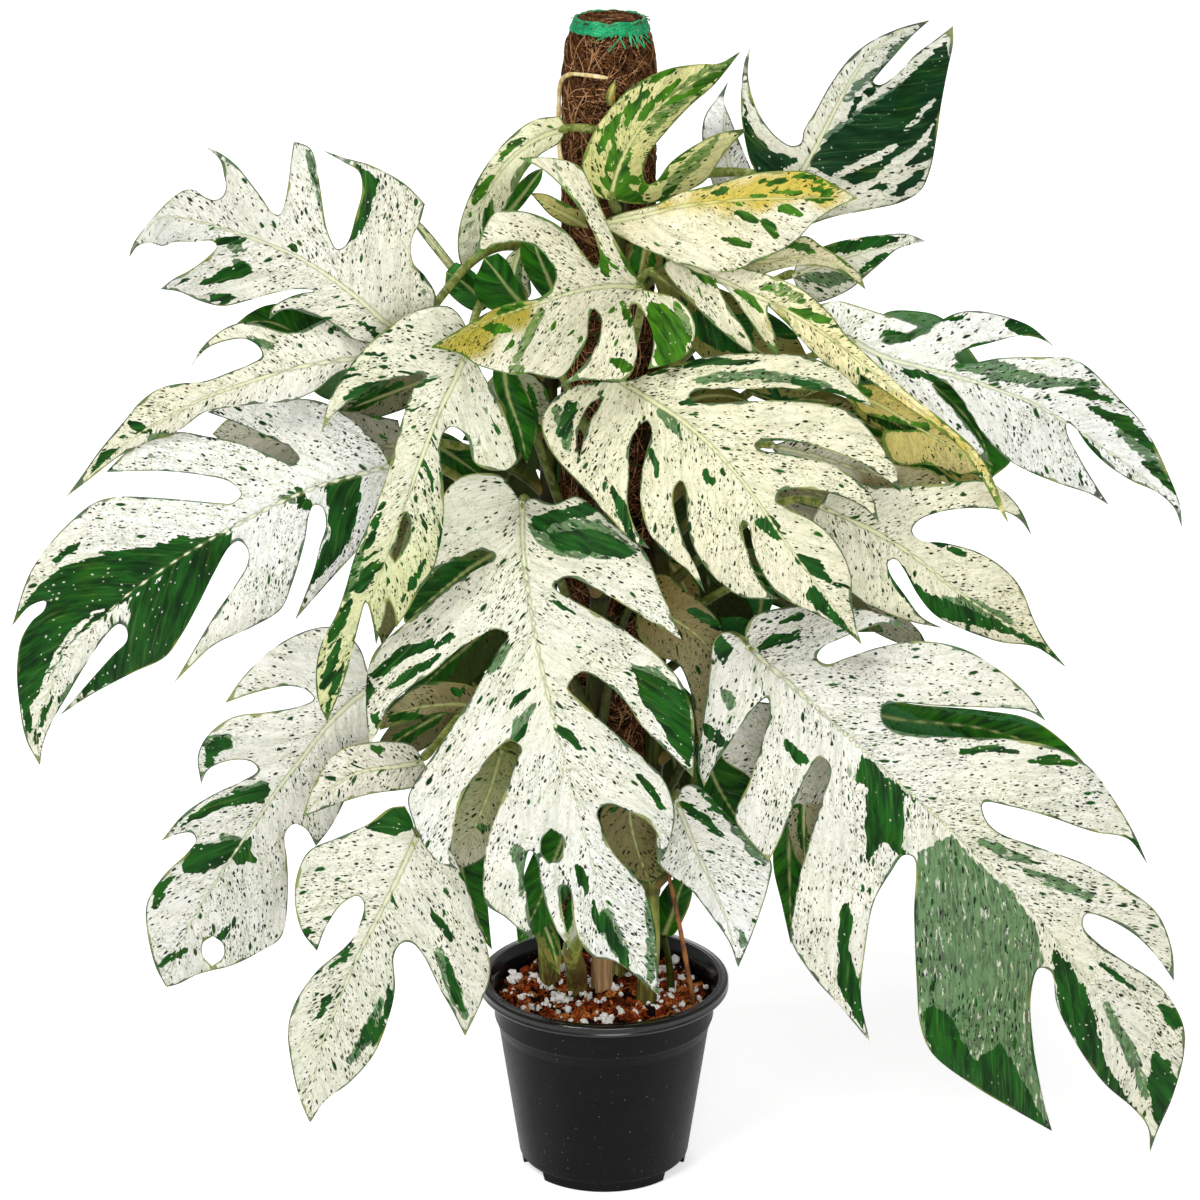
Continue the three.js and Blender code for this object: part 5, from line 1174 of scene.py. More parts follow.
def veinPlane(points, faces, rib, ribAlong, start):  # across and along the veins, both true to scale
    middle = points[faces].mean(1)
    ahead = np.gradient(rib, axis=0)
    ahead /= np.linalg.norm(ahead, axis=1, keepdims=True)

    def rootOf(values):
        return np.stack([np.interp(values, ribAlong, rib[:, k]) for k in (0, 1)], 1)

    near = nearest(middle, rib)[1]
    out = np.stack([-ahead[near, 1], ahead[near, 0]], 1)
    side = np.where(((middle - rib[near]) * out).sum(1) < 0, -1.0, 1.0)[:, None]
    way = middle - rootOf(start[faces].mean(1)) + 4 * (0.75 * ahead[near] + 0.66 * side * out)
    way /= np.linalg.norm(way, axis=1, keepdims=True)
    turned = np.stack([-way[:, 1], way[:, 0]], 1)
    length = np.linalg.norm(points - rootOf(start), axis=1)
    across = followed(points, faces, -side * turned, start)
    along = followed(points, faces, way, length)
    return across * view["pixel"], along * view["pixel"], side[:, 0]


def markedBy(points, marks):  # mm inside the nearest patch or stroke, or below 0 outside them
    best = np.full(len(points), -60.0)
    for text in filter(None, marks.split(";")):
        mark = pointsOf(text)
        if mark.shape[1] == 3:  # a stroke, with its half-width at each point
            away, along = segmentsAway(points, mark[:-1, :2], mark[1:, :2])
            widths = mark[:-1, 2] + along * (mark[1:, 2] - mark[:-1, 2])
            found = (widths - away).max(1)
        else:
            away = segmentsAway(points, mark, np.roll(mark, -1, 0))[0].min(1)
            found = np.where(insideRing(points, mark), away, -away)
        best = np.maximum(best, found)
    return best * view["pixel"]


def bladeNet(shape, rib, margins, step):
    # a net of triangles inside the margins, with lines along the margin and the rib; and its edge points
    ring = np.vstack([margins[0][:-1], margins[1][:0:-1]])
    holes = [withCorners(hole, bladeLook["marginSpacing"], closed=True) for hole in shape["holes"]]
    low, high = ring.min(0), ring.max(0)
    rows = np.arange(low[1], high[1], step * 0.866)
    grid = [np.stack([np.arange(low[0], high[0], step) + (k % 2) * step / 2,
                      np.full(len(np.arange(low[0], high[0], step)), y)], 1) for k, y in enumerate(rows)]
    inner = np.vstack(grid)
    inner = inner[insideRing(inner, ring)]
    for hole in holes:
        inner = inner[~insideRing(inner, hole)]
    edge = np.vstack([ring, *holes])
    spine = evenly(rib, step)[1:-1]
    inner = inner[(nearest(inner, spine)[0] > 0.6 * step) & (nearest(inner, edge)[0] > 0.6 * step)]
    spine = spine[insideRing(spine, ring)]
    spine = spine[nearest(spine, edge)[0] > 0.6 * step]
    links = []
    first = 0
    for loop in [ring, *holes]:
        count = len(loop)
        links += [(first + i, first + (i + 1) % count) for i in range(count)]
        first += count
    everything = np.vstack([edge, spine, inner])
    gaps = np.linalg.norm(np.diff(spine, axis=0), axis=1)
    links += [(first + i, first + i + 1) for i in range(len(spine) - 1) if gaps[i] < 1.6 * step]
    found = delaunay_2d_cdt([Vector(p) for p in everything], links, [], 0, 1e-4, False)
    points = np.array([tuple(p) for p in found[0]])
    faces = np.array(found[2])
    middles = points[faces].mean(1)
    keep = insideRing(middles, ring)
    for hole in holes:
        keep &= ~insideRing(middles, hole)
    faces = faces[keep]
    used, faces = np.unique(faces, return_inverse=True)
    return points[used], faces.reshape(-1, 3), edge


def veinStarts(points, rib, ribAlong, margins, isOne, sweep):  # where on the rib each point's vein starts
    start = np.zeros(len(points))
    for one, margin in zip((True, False), margins):
        samples, values = marginVeins(margin, rib, ribAlong, sweep)
        samples = np.vstack([samples, rib])
        values = np.concatenate([values, ribAlong])
        mine = isOne == one
        for k in range(0, len(points), block):
            some = slice(k, k + block)
            gap = points[some, None] - samples
            weight = 1 / ((gap * gap).sum(2) + 4) ** 2
            start[some] = np.where(mine[some], (weight * values).sum(1) / weight.sum(1), start[some])
    return start


def reliefOf(points, start, reach, edgeAway, along, seed):  # mm that the blade swells upwards
    look = bladeLook
    betweenRibs = smoothstep(1.5, 9, reach) * smoothstep(0, 6, edgeAway)
    quilt = 0.5 - 0.5 * np.cos(2 * np.pi * start / look["quiltEvery"])
    relief = look["quilt"] * (quilt ** 0.6 - 0.5) * betweenRibs
    relief -= look["groove"] * np.exp(-(reach / 2.6) ** 2) * (1 - 0.5 * along)
    relief -= look["curl"] * np.exp(-edgeAway / 5) * smoothstep(0, 12, reach)
    relief += look["wave"] * ripple(points, 150, seed) * smoothstep(4, 40, reach)
    relief += 0.5 * look["wave"] * ripple(points, 62, seed + 1) * smoothstep(10, 50, reach)
    return relief


def bladeOf(shape, seed, step):
    # the leaf's blade as points in pixels, triangles, and what its shader reads at each point
    curve = throughPoints(shape["rib"], 14)
    rib = curve[:, :2]
    ribAlong = lengthAlong(rib)
    ends = shape["rib"][[0, -1], :2]
    halves = [np.vstack([ends[0], shape[half], ends[1]]) for half in ("one", "two")]
    margins = [withCorners(half, bladeLook["marginSpacing"]) for half in halves]
    points, faces, edge = bladeNet(shape, rib, margins, step)

    ribAway, ribNear = nearest(points, rib)
    ahead = np.gradient(rib, axis=0)
    side = np.sign(crossOf(ahead[ribNear], points - rib[ribNear]))
    oneNear = nearest(shape["one"], rib)[1]
    isOne = side == np.sign(crossOf(ahead[oneNear], shape["one"] - rib[oneNear]).sum())
    reach = ribAway * view["pixel"]
    coarseRib = throughPoints(shape["rib"], 6)
    gap = (points[:, None] - coarseRib[None, :, :2]) * view["pixel"]
    weight = 1 / ((gap * gap).sum(2) + 1) ** 2
    front = (weight * coarseRib[:, 2]).sum(1) / weight.sum(1)
    lean = np.where(isOne, *shape["lean"])
    front += lean * reach - shape["droop"] * reach * reach

    allEdges = np.vstack([faces[:, [0, 1]], faces[:, [1, 2]], faces[:, [2, 0]]])
    allEdges = np.unique(np.sort(allEdges, 1), axis=0)
    onRib = ribAway < 0.6
    start = veinStarts(points, rib, ribAlong, margins, isOne, shape["sweep"])
    start = np.where(onRib, ribAlong[ribNear], start)
    start = smoothed(start, allEdges, 40, onRib | (nearest(points, edge)[0] < 0.5))
    across, alongVein, sides = veinPlane(points, faces, rib, ribAlong, start)
    edgeAway = nearest(points, edge)[0] * view["pixel"]
    along = ribAlong[ribNear] / ribAlong[-1]
    ribHalf = bladeLook["ribWidth"] * (1 - 0.72 * along)
    relief = reliefOf(points, start * view["pixel"], reach, edgeAway, along, seed)
    thin, full = bladeLook["marginThickness"], bladeLook["thickness"]
    keelWidth = 1.1 * (1.3 - 0.8 * along)
    own = np.full(len(points), seed * 3.7)  # no two leaves share a pattern
    return {
        "points": points, "faces": faces, "sides": sides, "side": side, "along": along,
        "front": front + relief * (-1 if shape["back"] else 1),
        "thick": thin + (full - thin) * smoothstep(0, 2.5, edgeAway),
        "keel": bladeLook["keel"] * (1 - 0.75 * along) * np.exp(-(reach / keelWidth) ** 2),
        "vein": np.stack([across + 61.3 * seed, alongVein + 37.7 * seed, own], 1),
        "rim": np.stack([edgeAway, reach / ribHalf], 1),
    }


def bladeMesh(shape, blade):  # the two faces of the blade and the wall round its margin
    points, faces = blade["points"], blade["faces"]
    middle = place(points[:, 0], points[:, 1], blade["front"])
    normals = np.zeros_like(middle)
    a, b, c = (middle[faces[:, k]] for k in range(3))
    facing = np.cross(b - a, c - a)
    if (facing[:, 1].sum() > 0) != shape["back"]:  # the upper face looks at -Y, or at +Y on a far-side leaf
        faces = faces[:, ::-1]
        facing = -facing
    for k in range(3):
        np.add.at(normals, faces[:, k], facing)
    normals /= np.linalg.norm(normals, axis=1, keepdims=True) + 1e-15
    half = (blade["thick"] / 2 * mm)[:, None]
    upper = middle + normals * half
    under = middle - normals * (half + (blade["keel"] * mm)[:, None])
    count = len(points)
    pairs = np.vstack([faces[:, [0, 1]], faces[:, [1, 2]], faces[:, [2, 0]]])
    known = set(map(tuple, pairs.tolist()))
    rim = np.array([(p, q) for p, q in known if (q, p) not in known])
    rim = rim[np.lexsort((rim[:, 1], rim[:, 0]))]
    walls = np.stack([rim[:, 1], rim[:, 0], rim[:, 0] + count, rim[:, 1] + count], 1)
    return np.vstack([upper, under]), [faces, faces[:, ::-1] + count, walls]


# Leaf finishes

marbling = {  # sizes across and along the veins in mm; a fleck's third number is its radius in its cell
    "dots": (2.5, 6.8, 0.25), "specks": (1.6, 3.4, 0.26), "dashes": (6.0, 16.0, 0.21),
    "gleams": (2.7, 4.2, 0.21),
    "streaks": (8, 42), "sageStreaks": (11, 34), "jags": (3.2, 13), "jagDepth": 6.4, "net": (2.6, 8),
    "patchShade": (4.5, 26), "hue": (38, 30), "drift": 5,
}


def makeVariegation():
    # the whole pattern of a blade: freckles and dashes along the veins, streaks, patches, margin, midrib
    group, given, out = newGroup(
        "variegation", {"Green": "colour", "Bright": "colour", "Sage": "colour", "Freckle": "colour"},
        {"Color": "colour", "Roughness": "value", "Height": "value"})
    vein = attribute(group, "vein")
    dose = parts(group, attribute(group, "dose"))
    marks = parts(group, attribute(group, "marks"))
    rim = parts(group, attribute(group, "rim"))
    ground = attribute(group, "ground", "Color")
    drift = noise(group, stretch(group, vein, (0.11, 0.07, 1)), 1.0, 2.0, output="Color")
    wander = marbling["drift"]
    flow = stretch(group, drift, (wander, wander, 0), vein)  # veins that aren't quite straight
    patchy = between(group, noise(group, stretch(group, vein, (0.035, 0.03, 1)), 1.0, 2.0), 0.32, 0.66)

    def fleck(kind, share):
        across, along, radius = marbling[kind]
        cells = stretch(group, flow, (1 / across, 1 / along, 1))
        return useGroup(group, flecks, {"Vector": cells, "Radius": radius, "Share": share})["Mask"]

    def field(size, shift, roughness, detail=3.0):
        place = stretch(group, flow, (1 / size[0], 1 / size[1], 1), shift)
        return noise(group, place, 1.0, detail, roughness)

    density = times(group, dose[0], calc(group, "MULTIPLY_ADD", patchy, 1.15, 0.18))
    dots = fleck("dots", density)
    specks = fleck("specks", times(group, density, 0.5))
    dashes = fleck("dashes", times(group, density, 0.42))
    freckles = calc(group, "MAXIMUM", dots, specks)

    def streak(size, low, high, shift):
        return between(group, field(size, shift, 0.6), low, high)

    level = calc(group, "MULTIPLY_ADD", dose[1], -0.13, 0.76)
    streakField = field(marbling["streaks"], (7, 3, 9), 0.55)
    streaks = between(group, calc(group, "SUBTRACT", streakField, level), 0.0, 0.012)
    sageField = field(marbling["sageStreaks"], (2, 8, 4), 0.6)
    sageLevel = calc(group, "MULTIPLY_ADD", dose[2], -0.1, 0.74)
    sageStreaks = between(group, calc(group, "SUBTRACT", sageField, sageLevel), 0.0, 0.03)

    jagged = field(marbling["jags"], (4, 4, 4), 0.5, 2.0)
    jag = calc(group, "MULTIPLY_ADD", jagged, marbling["jagDepth"], -marbling["jagDepth"] / 2)
    darkPatch = between(group, calc(group, "ADD", marks[0], jag), -0.15, 0.15)
    sagePatch = between(group, calc(group, "ADD", marks[1], jag), -0.3, 0.3)
    palePatch = between(group, calc(group, "ADD", marks[2], jag), -0.2, 0.2)
    unpaled = calc(group, "SUBTRACT", 1.0, palePatch)
    darkPatch = times(group, darkPatch, unpaled)
    sagePatch = times(group, sagePatch, unpaled)

    soft = streak((3.2, 16), 0.35, 0.7, (1, 1, 1))
    clouds = cloudy(group, stretch(group, flow, (0.1, 0.06, 1)))
    shaded = tinted(group, ground, (0.72, 0.74, 0.66, 1))
    base = mixed(group, times(group, soft, 0.5), ground, shaded)
    creamier = tinted(group, base, (1.0, 0.985, 0.93, 1))
    base = mixed(group, clouds, base, creamier)
    fine = noise(group, stretch(group, vein, (0.32, 0.02, 1)), 1.0, 1.0)
    # painted shade: faint darker bands along the veins, standing for the shading of the blade's creases
    creaseShaded = tinted(group, base, (0.8, 0.82, 0.78, 1))
    base = mixed(group, times(group, between(group, fine, 0.5, 0.68), 0.6), base, creaseShaded)
    netField = field(marbling["net"], (8, 1, 3), 0.65)
    fromLine = calc(group, "ABSOLUTE", calc(group, "SUBTRACT", netField, 0.5))
    netLine = between(group, fromLine, 0.004, 0.035, 1.0, 0.0)
    netted = tinted(group, base, (0.42, 0.46, 0.33, 1))
    netShare = calc(group, "MULTIPLY_ADD", patchy, 0.5, 0.45)
    base = mixed(group, times(group, netLine, netShare), base, netted)

    shade = streak(marbling["patchShade"], 0.3, 0.7, (6, 2, 5))
    greens = mixed(group, shade, given["Green"], given["Bright"])
    veined = between(group, noise(group, stretch(group, vein, (1 / 1.3, 1 / 30, 1)), 1.0, 1.0), 0.55, 0.75)
    greens = mixed(group, times(group, veined, 0.13), greens, (0.22, 0.4, 0.12, 1))
    fresh = tinted(group, greens, (1.5, 1.15, 0.4, 1))
    hueField = stretch(group, vein, (1 / marbling["hue"][0], 1 / marbling["hue"][1], 1), (5, 8, 2))
    hue = between(group, noise(group, hueField, 1.0, 1.0), 0.5, 0.72)
    greens = mixed(group, times(group, hue, 0.75), greens, fresh)
    sageTone = mixed(group, streak((1.6, 7), 0.42, 0.62, (3, 9, 2)), given["Sage"], greens)
    sageTone = mixed(group, times(group, streak((2.0, 6.5), 0.58, 0.68, (5, 5, 1)), 0.75), sageTone, base)

    sage = calc(group, "MAXIMUM", times(group, sageStreaks, 0.75), times(group, sagePatch, 0.9))
    color = mixed(group, sage, base, sageTone)
    color = mixed(group, times(group, freckles, 0.97), color, given["Freckle"])
    color = mixed(group, dashes, color, greens)
    gleam = times(group, fleck("gleams", 0.15), 0.75)
    solid = times(group, calc(group, "MAXIMUM", streaks, darkPatch), calc(group, "SUBTRACT", 1.0, gleam))
    color = mixed(group, solid, color, greens)

    edgeNoise = noise(group, stretch(group, vein, (0.08, 0.08, 1)), 1.0, 1.0)
    broad = calc(group, "DIVIDE", rim[0], between(group, edgeNoise, 0.5, 0.7, 1.0, 2.7))
    edge = times(group, between(group, broad, 0.6, 1.0, 1.0, 0.0), between(group, edgeNoise, 0.28, 0.45))
    olive = (0.20, 0.24, 0.05, 1)
    edgeTone = mixed(group, between(group, noise(group, vein, 0.03, 1.0), 0.36, 0.5), olive, greens)
    color = mixed(group, times(group, edge, 0.88), color, edgeTone)
    midrib = between(group, rim[1], 0.7, 1.1, 1.0, 0.0)
    # painted shade: a dark line along each side of the midrib, where its groove is shaded
    ribGrooveShade = between(group, rim[1], 1.1, 1.9, 1.0, 0.0)
    ribTone = mixed(group, 0.5, ground, (0.56, 0.6, 0.22, 1))
    color = mixed(group, times(group, ribGrooveShade, 0.55), color, (0.17, 0.21, 0.07, 1))
    color = mixed(group, times(group, midrib, 0.95), color, ribTone)
    under = calc(group, "SUBTRACT", 1.0, rim[2])
    dull = mixed(group, 0.35, color, tinted(group, ground, (0.62, 0.66, 0.42, 1)))
    color = mixed(group, under, color, dull)
    group.links.new(color, out["Color"])

    glossy = calc(group, "MULTIPLY_ADD", soft, 0.1, 0.34)
    group.links.new(calc(group, "MULTIPLY_ADD", under, 0.18, glossy), out["Roughness"])
    grain = noise(group, stretch(group, vein, (1.4, 0.5, 1)), 1.0, 3.0, 0.6)
    group.links.new(calc(group, "MULTIPLY_ADD", fine, 0.75, times(group, grain, 0.4)), out["Height"])
    return group


variegation = makeVariegation()


def makeLeafFinish(name, green, bright, sage, freckle, coat):
    material, tree, shader = newMaterial(name, IOR=1.42, Specular_IOR_Level=0.13, Coat_Weight=coat,
                                         Coat_Roughness=0.28)
    colours = {"Green": green, "Bright": bright, "Sage": sage, "Freckle": freckle}
    pattern = useGroup(tree, variegation, {label: paint(code) for label, code in colours.items()})
    tree.links.new(pattern["Roughness"], shader.inputs["Roughness"])
    return finished(material, tree, shader, pattern["Color"], pattern["Height"], 0.0016, 0.7)


leafMarbled = makeLeafFinish("leafMarbled", "062808", "1b5615", "48743e", "0b1606", 0.0)
leafCream = makeLeafFinish("leafCream", "143c06", "437c14", "6e8848", "1a2608", 0.0)
leafGreen = makeLeafFinish("leafGreen", "083006", "256a0c", "3c6a30", "0a1c08", 0.02)
leafDeep = makeLeafFinish("leafDeep", "05240d", "123c1e", "42684a", "0a1c10", 0.02)


def makeStalkSkin():
    material, tree, shader = newMaterial("stalkSkin", Roughness=0.38, Specular_IOR_Level=0.2)
    at = attribute(tree, "stalk", "Fac")
    here = position(tree)
    streaks = noise(tree, stretch(tree, here, (130, 130, 130)), 1.0, 3.0, 0.6)
    tone = mixed(tree, between(tree, streaks, 0.4, 0.62), paint("6f8030"), paint("a3ab5c"))
    pale = between(tree, noise(tree, stretch(tree, here, (420, 420, 420)), 1.0, 2.0), 0.56, 0.64)
    tone = mixed(tree, times(tree, pale, 0.5), tone, paint("d6d09a"))
    # painted shade: the nearer a stalk runs to the pole's axis, the darker it is, most of all below 0.45 m
    level = stretch(tree, here, (1, 1, 0))
    out = addNode(tree, "VectorMath", {0: level}, operation="LENGTH").outputs["Value"]
    low = between(tree, parts(tree, here)[2], 0.45, 0.6, 1.0, 0.3)
    inner = times(tree, between(tree, out, 0.035, 0.12, 1.0, 0.0), low)
    shadedTone = tinted(tree, tone, (0.09, 0.105, 0.03, 1))  # painted shade: stalks near the pole's axis, deep in the plant, darker
    tone = mixed(tree, inner, tone, shadedTone)
    brown = mixed(tree, streaks, paint("6f5a2c"), paint("a58a4c"))
    tone = mixed(tree, between(tree, at, 0.0, 0.14, 0.8, 0.0), tone, brown)
    return finished(material, tree, shader, tone, streaks, 0.0006, 0.5)


stalkSkin = makeStalkSkin()

poleLook = {
    "radius": 28.0, "footX": -1.2, "lean": 0.0073, "soil": 116.0,
    "coreRadius": 7.0, "coreTop": 706.0, "gap": 0.3,
}
stemLook = {"base": 7.0, "tip": 5.0}
stems = {
    "main_stem": {
        "rooted": ((-17, -1, 84), (-17, -2, 116), (-17.5, -10, 136), (-20, -29.5, 158)),
        "climb": ((180, -112), (260, -104), (360, -98), (460, -92), (560, -86), (640, -80), (690, -76)),
        "nodes": (196, 676),
    },
    "left_stem": {
        "rooted": ((-35, 8, 84), (-35, 8, 116), (-35.5, 6, 140), (-36.4, 5, 160)),
        "climb": ((182, 172), (260, 176), (360, 180), (460, 184), (560, 190), (610, 192)),
        "nodes": (230, 598),
    },
    "right_stem": {
        "rooted": ((27, -18, 84), (27, -18, 116), (28, -18.5, 140), (29.4, -19.6, 160)),
        "climb": ((182, -34), (260, -30), (360, -24), (460, -18), (560, -12), (655, -6)),
        "nodes": (196, 642),
    },
    "back_stem": {
        "rooted": ((8, 18, 84), (8, 19, 116), (8, 26, 140), (7, 34, 160)),
        "climb": ((182, 82), (260, 86), (360, 92), (460, 98), (560, 100)),
        "nodes": (240, 548),
    },
}
mainStemBetween = (500, 655)  # leaves whose bases lie between these pixels grow from the main stem


def poleX(z):
    return poleLook["footX"] + poleLook["lean"] * (z - poleLook["soil"])


def climbing(z, degrees, radius):  # a point on the fibre, for something of this radius
    turn = math.radians(degrees)
    away = poleLook["radius"] + radius + 2 * poleLook["gap"]
    return (poleX(z) + away * math.cos(turn), away * math.sin(turn), z)


def stemLine(stem):
    climb = [climbing(z, degrees, stemLook["base"]) for z, degrees in stem["climb"]]
    return throughPoints([*stem["rooted"], *climb], 24)


for stem in stems.values():
    stem["line"] = stemLine(stem)
    stem["leaves"] = []


def stemOf(shape):
    if shape["back"]:
        return stems["back_stem"]
    x = shape["rib"][0, 0]
    if x < mainStemBetween[0]:
        return stems["left_stem"]
    return stems["right_stem"] if x > mainStemBetween[1] else stems["main_stem"]


def readShape(drawn):  # a leaf drawn as a rib, the points of its two halves, and a hole if it has one
    lines = {part: pointsOf(drawn[part]) for part in ("rib", "one", "two")}
    return {**drawn, **lines, "holes": [pointsOf(drawn["hole"])] if "hole" in drawn else [], "back": False}


def readShapes():
    shapes = {}
    for name, drawn in leafShapes.items():
        shapes[name] = {**readShape(drawn), "sweep": leafPaint.get(name, {}).get("sweep", 1.2)}
    for name, drawn in backLeafShapes.items():
        shape = {**drawn, "rib": pointsOf(drawn["rib"])}
        shapes[name] = {
            "rib": shape["rib"], "one": lobedMargin(shape, -1), "two": lobedMargin(shape, 1), "holes": [],
            "lean": [backLook["lean"]] * 2, "droop": backLook["droop"], "back": True, "sweep": 1.2,
        }
    for shape in shapes.values():
        shape["base"] = place(*shape["rib"][0]) / mm
        stemOf(shape)["leaves"].append(shape)
    for stem in stems.values():
        order = sorted(stem["leaves"], key=lambda shape: shape["base"][2])
        for i, shape in enumerate(order):
            z = stem["nodes"][0] + (stem["nodes"][1] - stem["nodes"][0]) * i / (len(order) - 1)
            line = stem["line"]
            shape["start"] = np.array([np.interp(z, line[:, 2], line[:, k]) for k in range(3)])
    return shapes


def stalkOf(shape):  # the leaf stalk from its stem to the blade's base
    base, start = shape["base"], shape["start"]
    along = place(*shape["rib"][1]) / mm - base
    along /= np.linalg.norm(along)
    outward = 1 if shape["back"] else -1
    reach = np.linalg.norm(base - start)
    away = np.array([start[0] - poleX(start[2]), start[1], 0])
    away /= np.linalg.norm(away)
    away[0] += stalkLook["turn"] * np.sign(base[0] - start[0])
    away[2] = stalkLook["rise"]
    first = start + stalkLook["start"] * reach * away
    last = base - stalkLook["end"] * reach * along + np.array([0, -outward * stalkLook["bow"] * reach, 0])
    line = bezier(start, first, last, base + 5 * along, stalkLook["steps"])
    t = np.linspace(0, 1, stalkLook["steps"])
    radius = stalkLook["base"] + (stalkLook["tip"] - stalkLook["base"]) * t
    radius = radius * (1 + 0.3 * np.exp(-((t - 0.9) / 0.05) ** 2) + 0.35 * np.exp(-(t / 0.06) ** 2))
    radius[-3:] *= (0.8, 0.55, 0.2)
    vertices, faces = strands([line * mm], [radius * mm], stalkLook["sides"], lean=(0.2, 1.0, 0.1))
    return vertices, faces, np.repeat(t, stalkLook["sides"])


def paintOf(look, blade):  # ground colour, marks and dose at each point of the blade
    points = blade["points"]
    share = smoothstep(0, 1, blade["along"] + 0.16 * ripple(points, 170, len(points)))
    near, far = (np.array(rgb(code)) for code in look["ground"].split())
    ground = (near + (far - near) * share[:, None]) * look["cool"]
    for code, marks in look.get("washes", {}).items():
        wash = smoothstep(-5, 6, markedBy(points, marks) + 3 * ripple(points, 30, 5))
        ground += (np.array(rgb(code)) - ground) * wash[:, None]
    marks = np.stack([markedBy(points, look.get(kind, "")) for kind in ("dark", "sage", "pale")], 1)
    return ground, marks, np.repeat([look["dose"]], len(points), 0)


def leafMesh(name, shape, seed, look, stalk=None):
    # a blade, with its stalk if it has one, and everything that their shaders read
    look = {**leafPaint["usual"], **look}
    coarse = 1.0
    blade = bladeOf(shape, seed, bladeLook["spacing"] * coarse * shape.get("coarse", 1))
    vertices, faces = bladeMesh(shape, blade)
    ground, marks, dose = paintOf(look, blade)
    stalk, stalkFaces, stalkAt = stalk or (np.zeros((0, 3)), [], np.zeros(0))
    count, bare = len(vertices), len(stalk)
    bladeFaces = len(faces[0]) * 2 + len(faces[2])
    faces = [*faces, *(group + count for group in stalkFaces)]
    mesh = meshOf(name, np.vstack([vertices, stalk]), faces, 60)

    def onAll(values, rest, under=1.0):
        return np.vstack([values, values * under, np.repeat([rest], bare, 0)])

    upper = np.r_[np.ones(count // 2), np.zeros(count // 2), np.ones(bare)]
    # a dark olive under on the far side's leaves is painted shade, for the gaps between the front leaves
    under = np.array(rgb(look["under"])) if "under" in look else 1.0
    rimSides = blade["side"][faces[2][:, 0] % (count // 2)]
    sides = [np.repeat(blade["sides"], 3)] * 2 + [np.repeat(rimSides, 4)]
    corners = np.concatenate([group.ravel() for group in faces])
    sides = np.r_[np.concatenate(sides), np.zeros(len(corners) - sum(map(len, sides)))]
    vein = onAll(blade["vein"], (0, 0, 0))[corners] + sides[:, None] * (23.7, 11.3, 0.9)
    addAttribute(mesh, "vein", vein, "CORNER")  # the halves differ, so a freckle ends at the midrib
    addAttribute(mesh, "rim", np.column_stack([onAll(blade["rim"], (0, 0)), upper]))
    addAttribute(mesh, "ground", onAll(ground, rgb("9aa64a"), under))
    addAttribute(mesh, "marks", onAll(marks, (-60, -60, -60)))
    addAttribute(mesh, "dose", onAll(dose, (0, 0, 0)))
    addAttribute(mesh, "stalk", np.r_[np.zeros(count), stalkAt])
    return mesh, bladeFaces


def colourFaces(mesh, bladeFaces):  # the stalk's faces take the second material
    numbers = np.r_[np.zeros(bladeFaces, np.int32), np.ones(len(mesh.polygons) - bladeFaces, np.int32)]
    mesh.polygons.foreach_set("material_index", numbers)


creamLeaves = ("leaf_gold_tip", "leaf_cream_tail", "leaf_cream_long", "leaf_top_right", "leaf_arch_left",
               "leaf_cream_right", "leaf_right_gold")


def leafFinish(name):  # a leaf's material and its slot
    if name == "leaf_dark_right":
        return leafDeep, "leaf_green"
    if any(word in name for word in ("green", "dark", "shade")):
        return leafGreen, "leaf_green"
    if name in creamLeaves:
        return leafCream, "leaf_cream"
    return leafMarbled, "leaf_marbled"


def growLeaves():
    shapes = readShapes()
    for number, (name, shape) in enumerate(shapes.items()):
        mesh, bladeFaces = leafMesh(name, shape, 11 + number, leafPaint.get(name, {}), stalkOf(shape))
        material, slot = leafFinish(name)
        addPiece(name.replace("leaf_", "grown_"), mesh, [material, stalkSkin], slot, name)
        colourFaces(mesh, bladeFaces)
    print("leaves grown:", len(shapes))


growLeaves()


# Pot

potLook = {
    "sides": 180, "rimRadius": 80.0, "height": 128.0, "lipBottom": 120.4, "footRadius": 53.0,
    "footHeight": 6.0, "slots": (62, 118, 242, 298), "slotWidth": 28.0, "soilTop": 116.0,
}


def makePotPlastic():
    material, tree, shader = newMaterial("potPlastic", IOR=1.45, Specular_IOR_Level=0.2, Coat_Roughness=0.16)
    here = position(tree)
    cloud = cloudy(tree, stretch(tree, here, (38, 38, 38)))
    grain = noise(tree, stretch(tree, here, (900, 900, 900)), 1.0, 2.0)
    specks = stretch(tree, here, (260, 260, 260))
    dust = useGroup(tree, motes, {"Vector": specks, "Radius": 0.14, "Share": 0.5})
    slanted = stretch(tree, here, (500, 60, 90))
    scratches = between(tree, noise(tree, slanted, 1.0, 3.0, 0.7), 0.7, 0.74)
    tone = mixed(tree, cloud, paint("050506"), paint("0a0a0b"))
    tone = mixed(tree, times(tree, scratches, 0.2), tone, paint("3c3d3e"))
    tone = mixed(tree, times(tree, dust["Mask"], 0.22), tone, paint("a8a7a2"))
    rough = calc(tree, "MULTIPLY_ADD", cloud, 0.1, 0.2)
    tree.links.new(calc(tree, "MULTIPLY_ADD", grain, 0.06, rough), shader.inputs["Roughness"])
    lip = between(tree, parts(tree, here)[2], 0.1185, 0.1215)  # the moulded lip is handled smooth
    tree.links.new(times(tree, lip, 0.9), shader.inputs["Coat Weight"])
    return finished(material, tree, shader, tone, grain, 0.0002, 0.5)


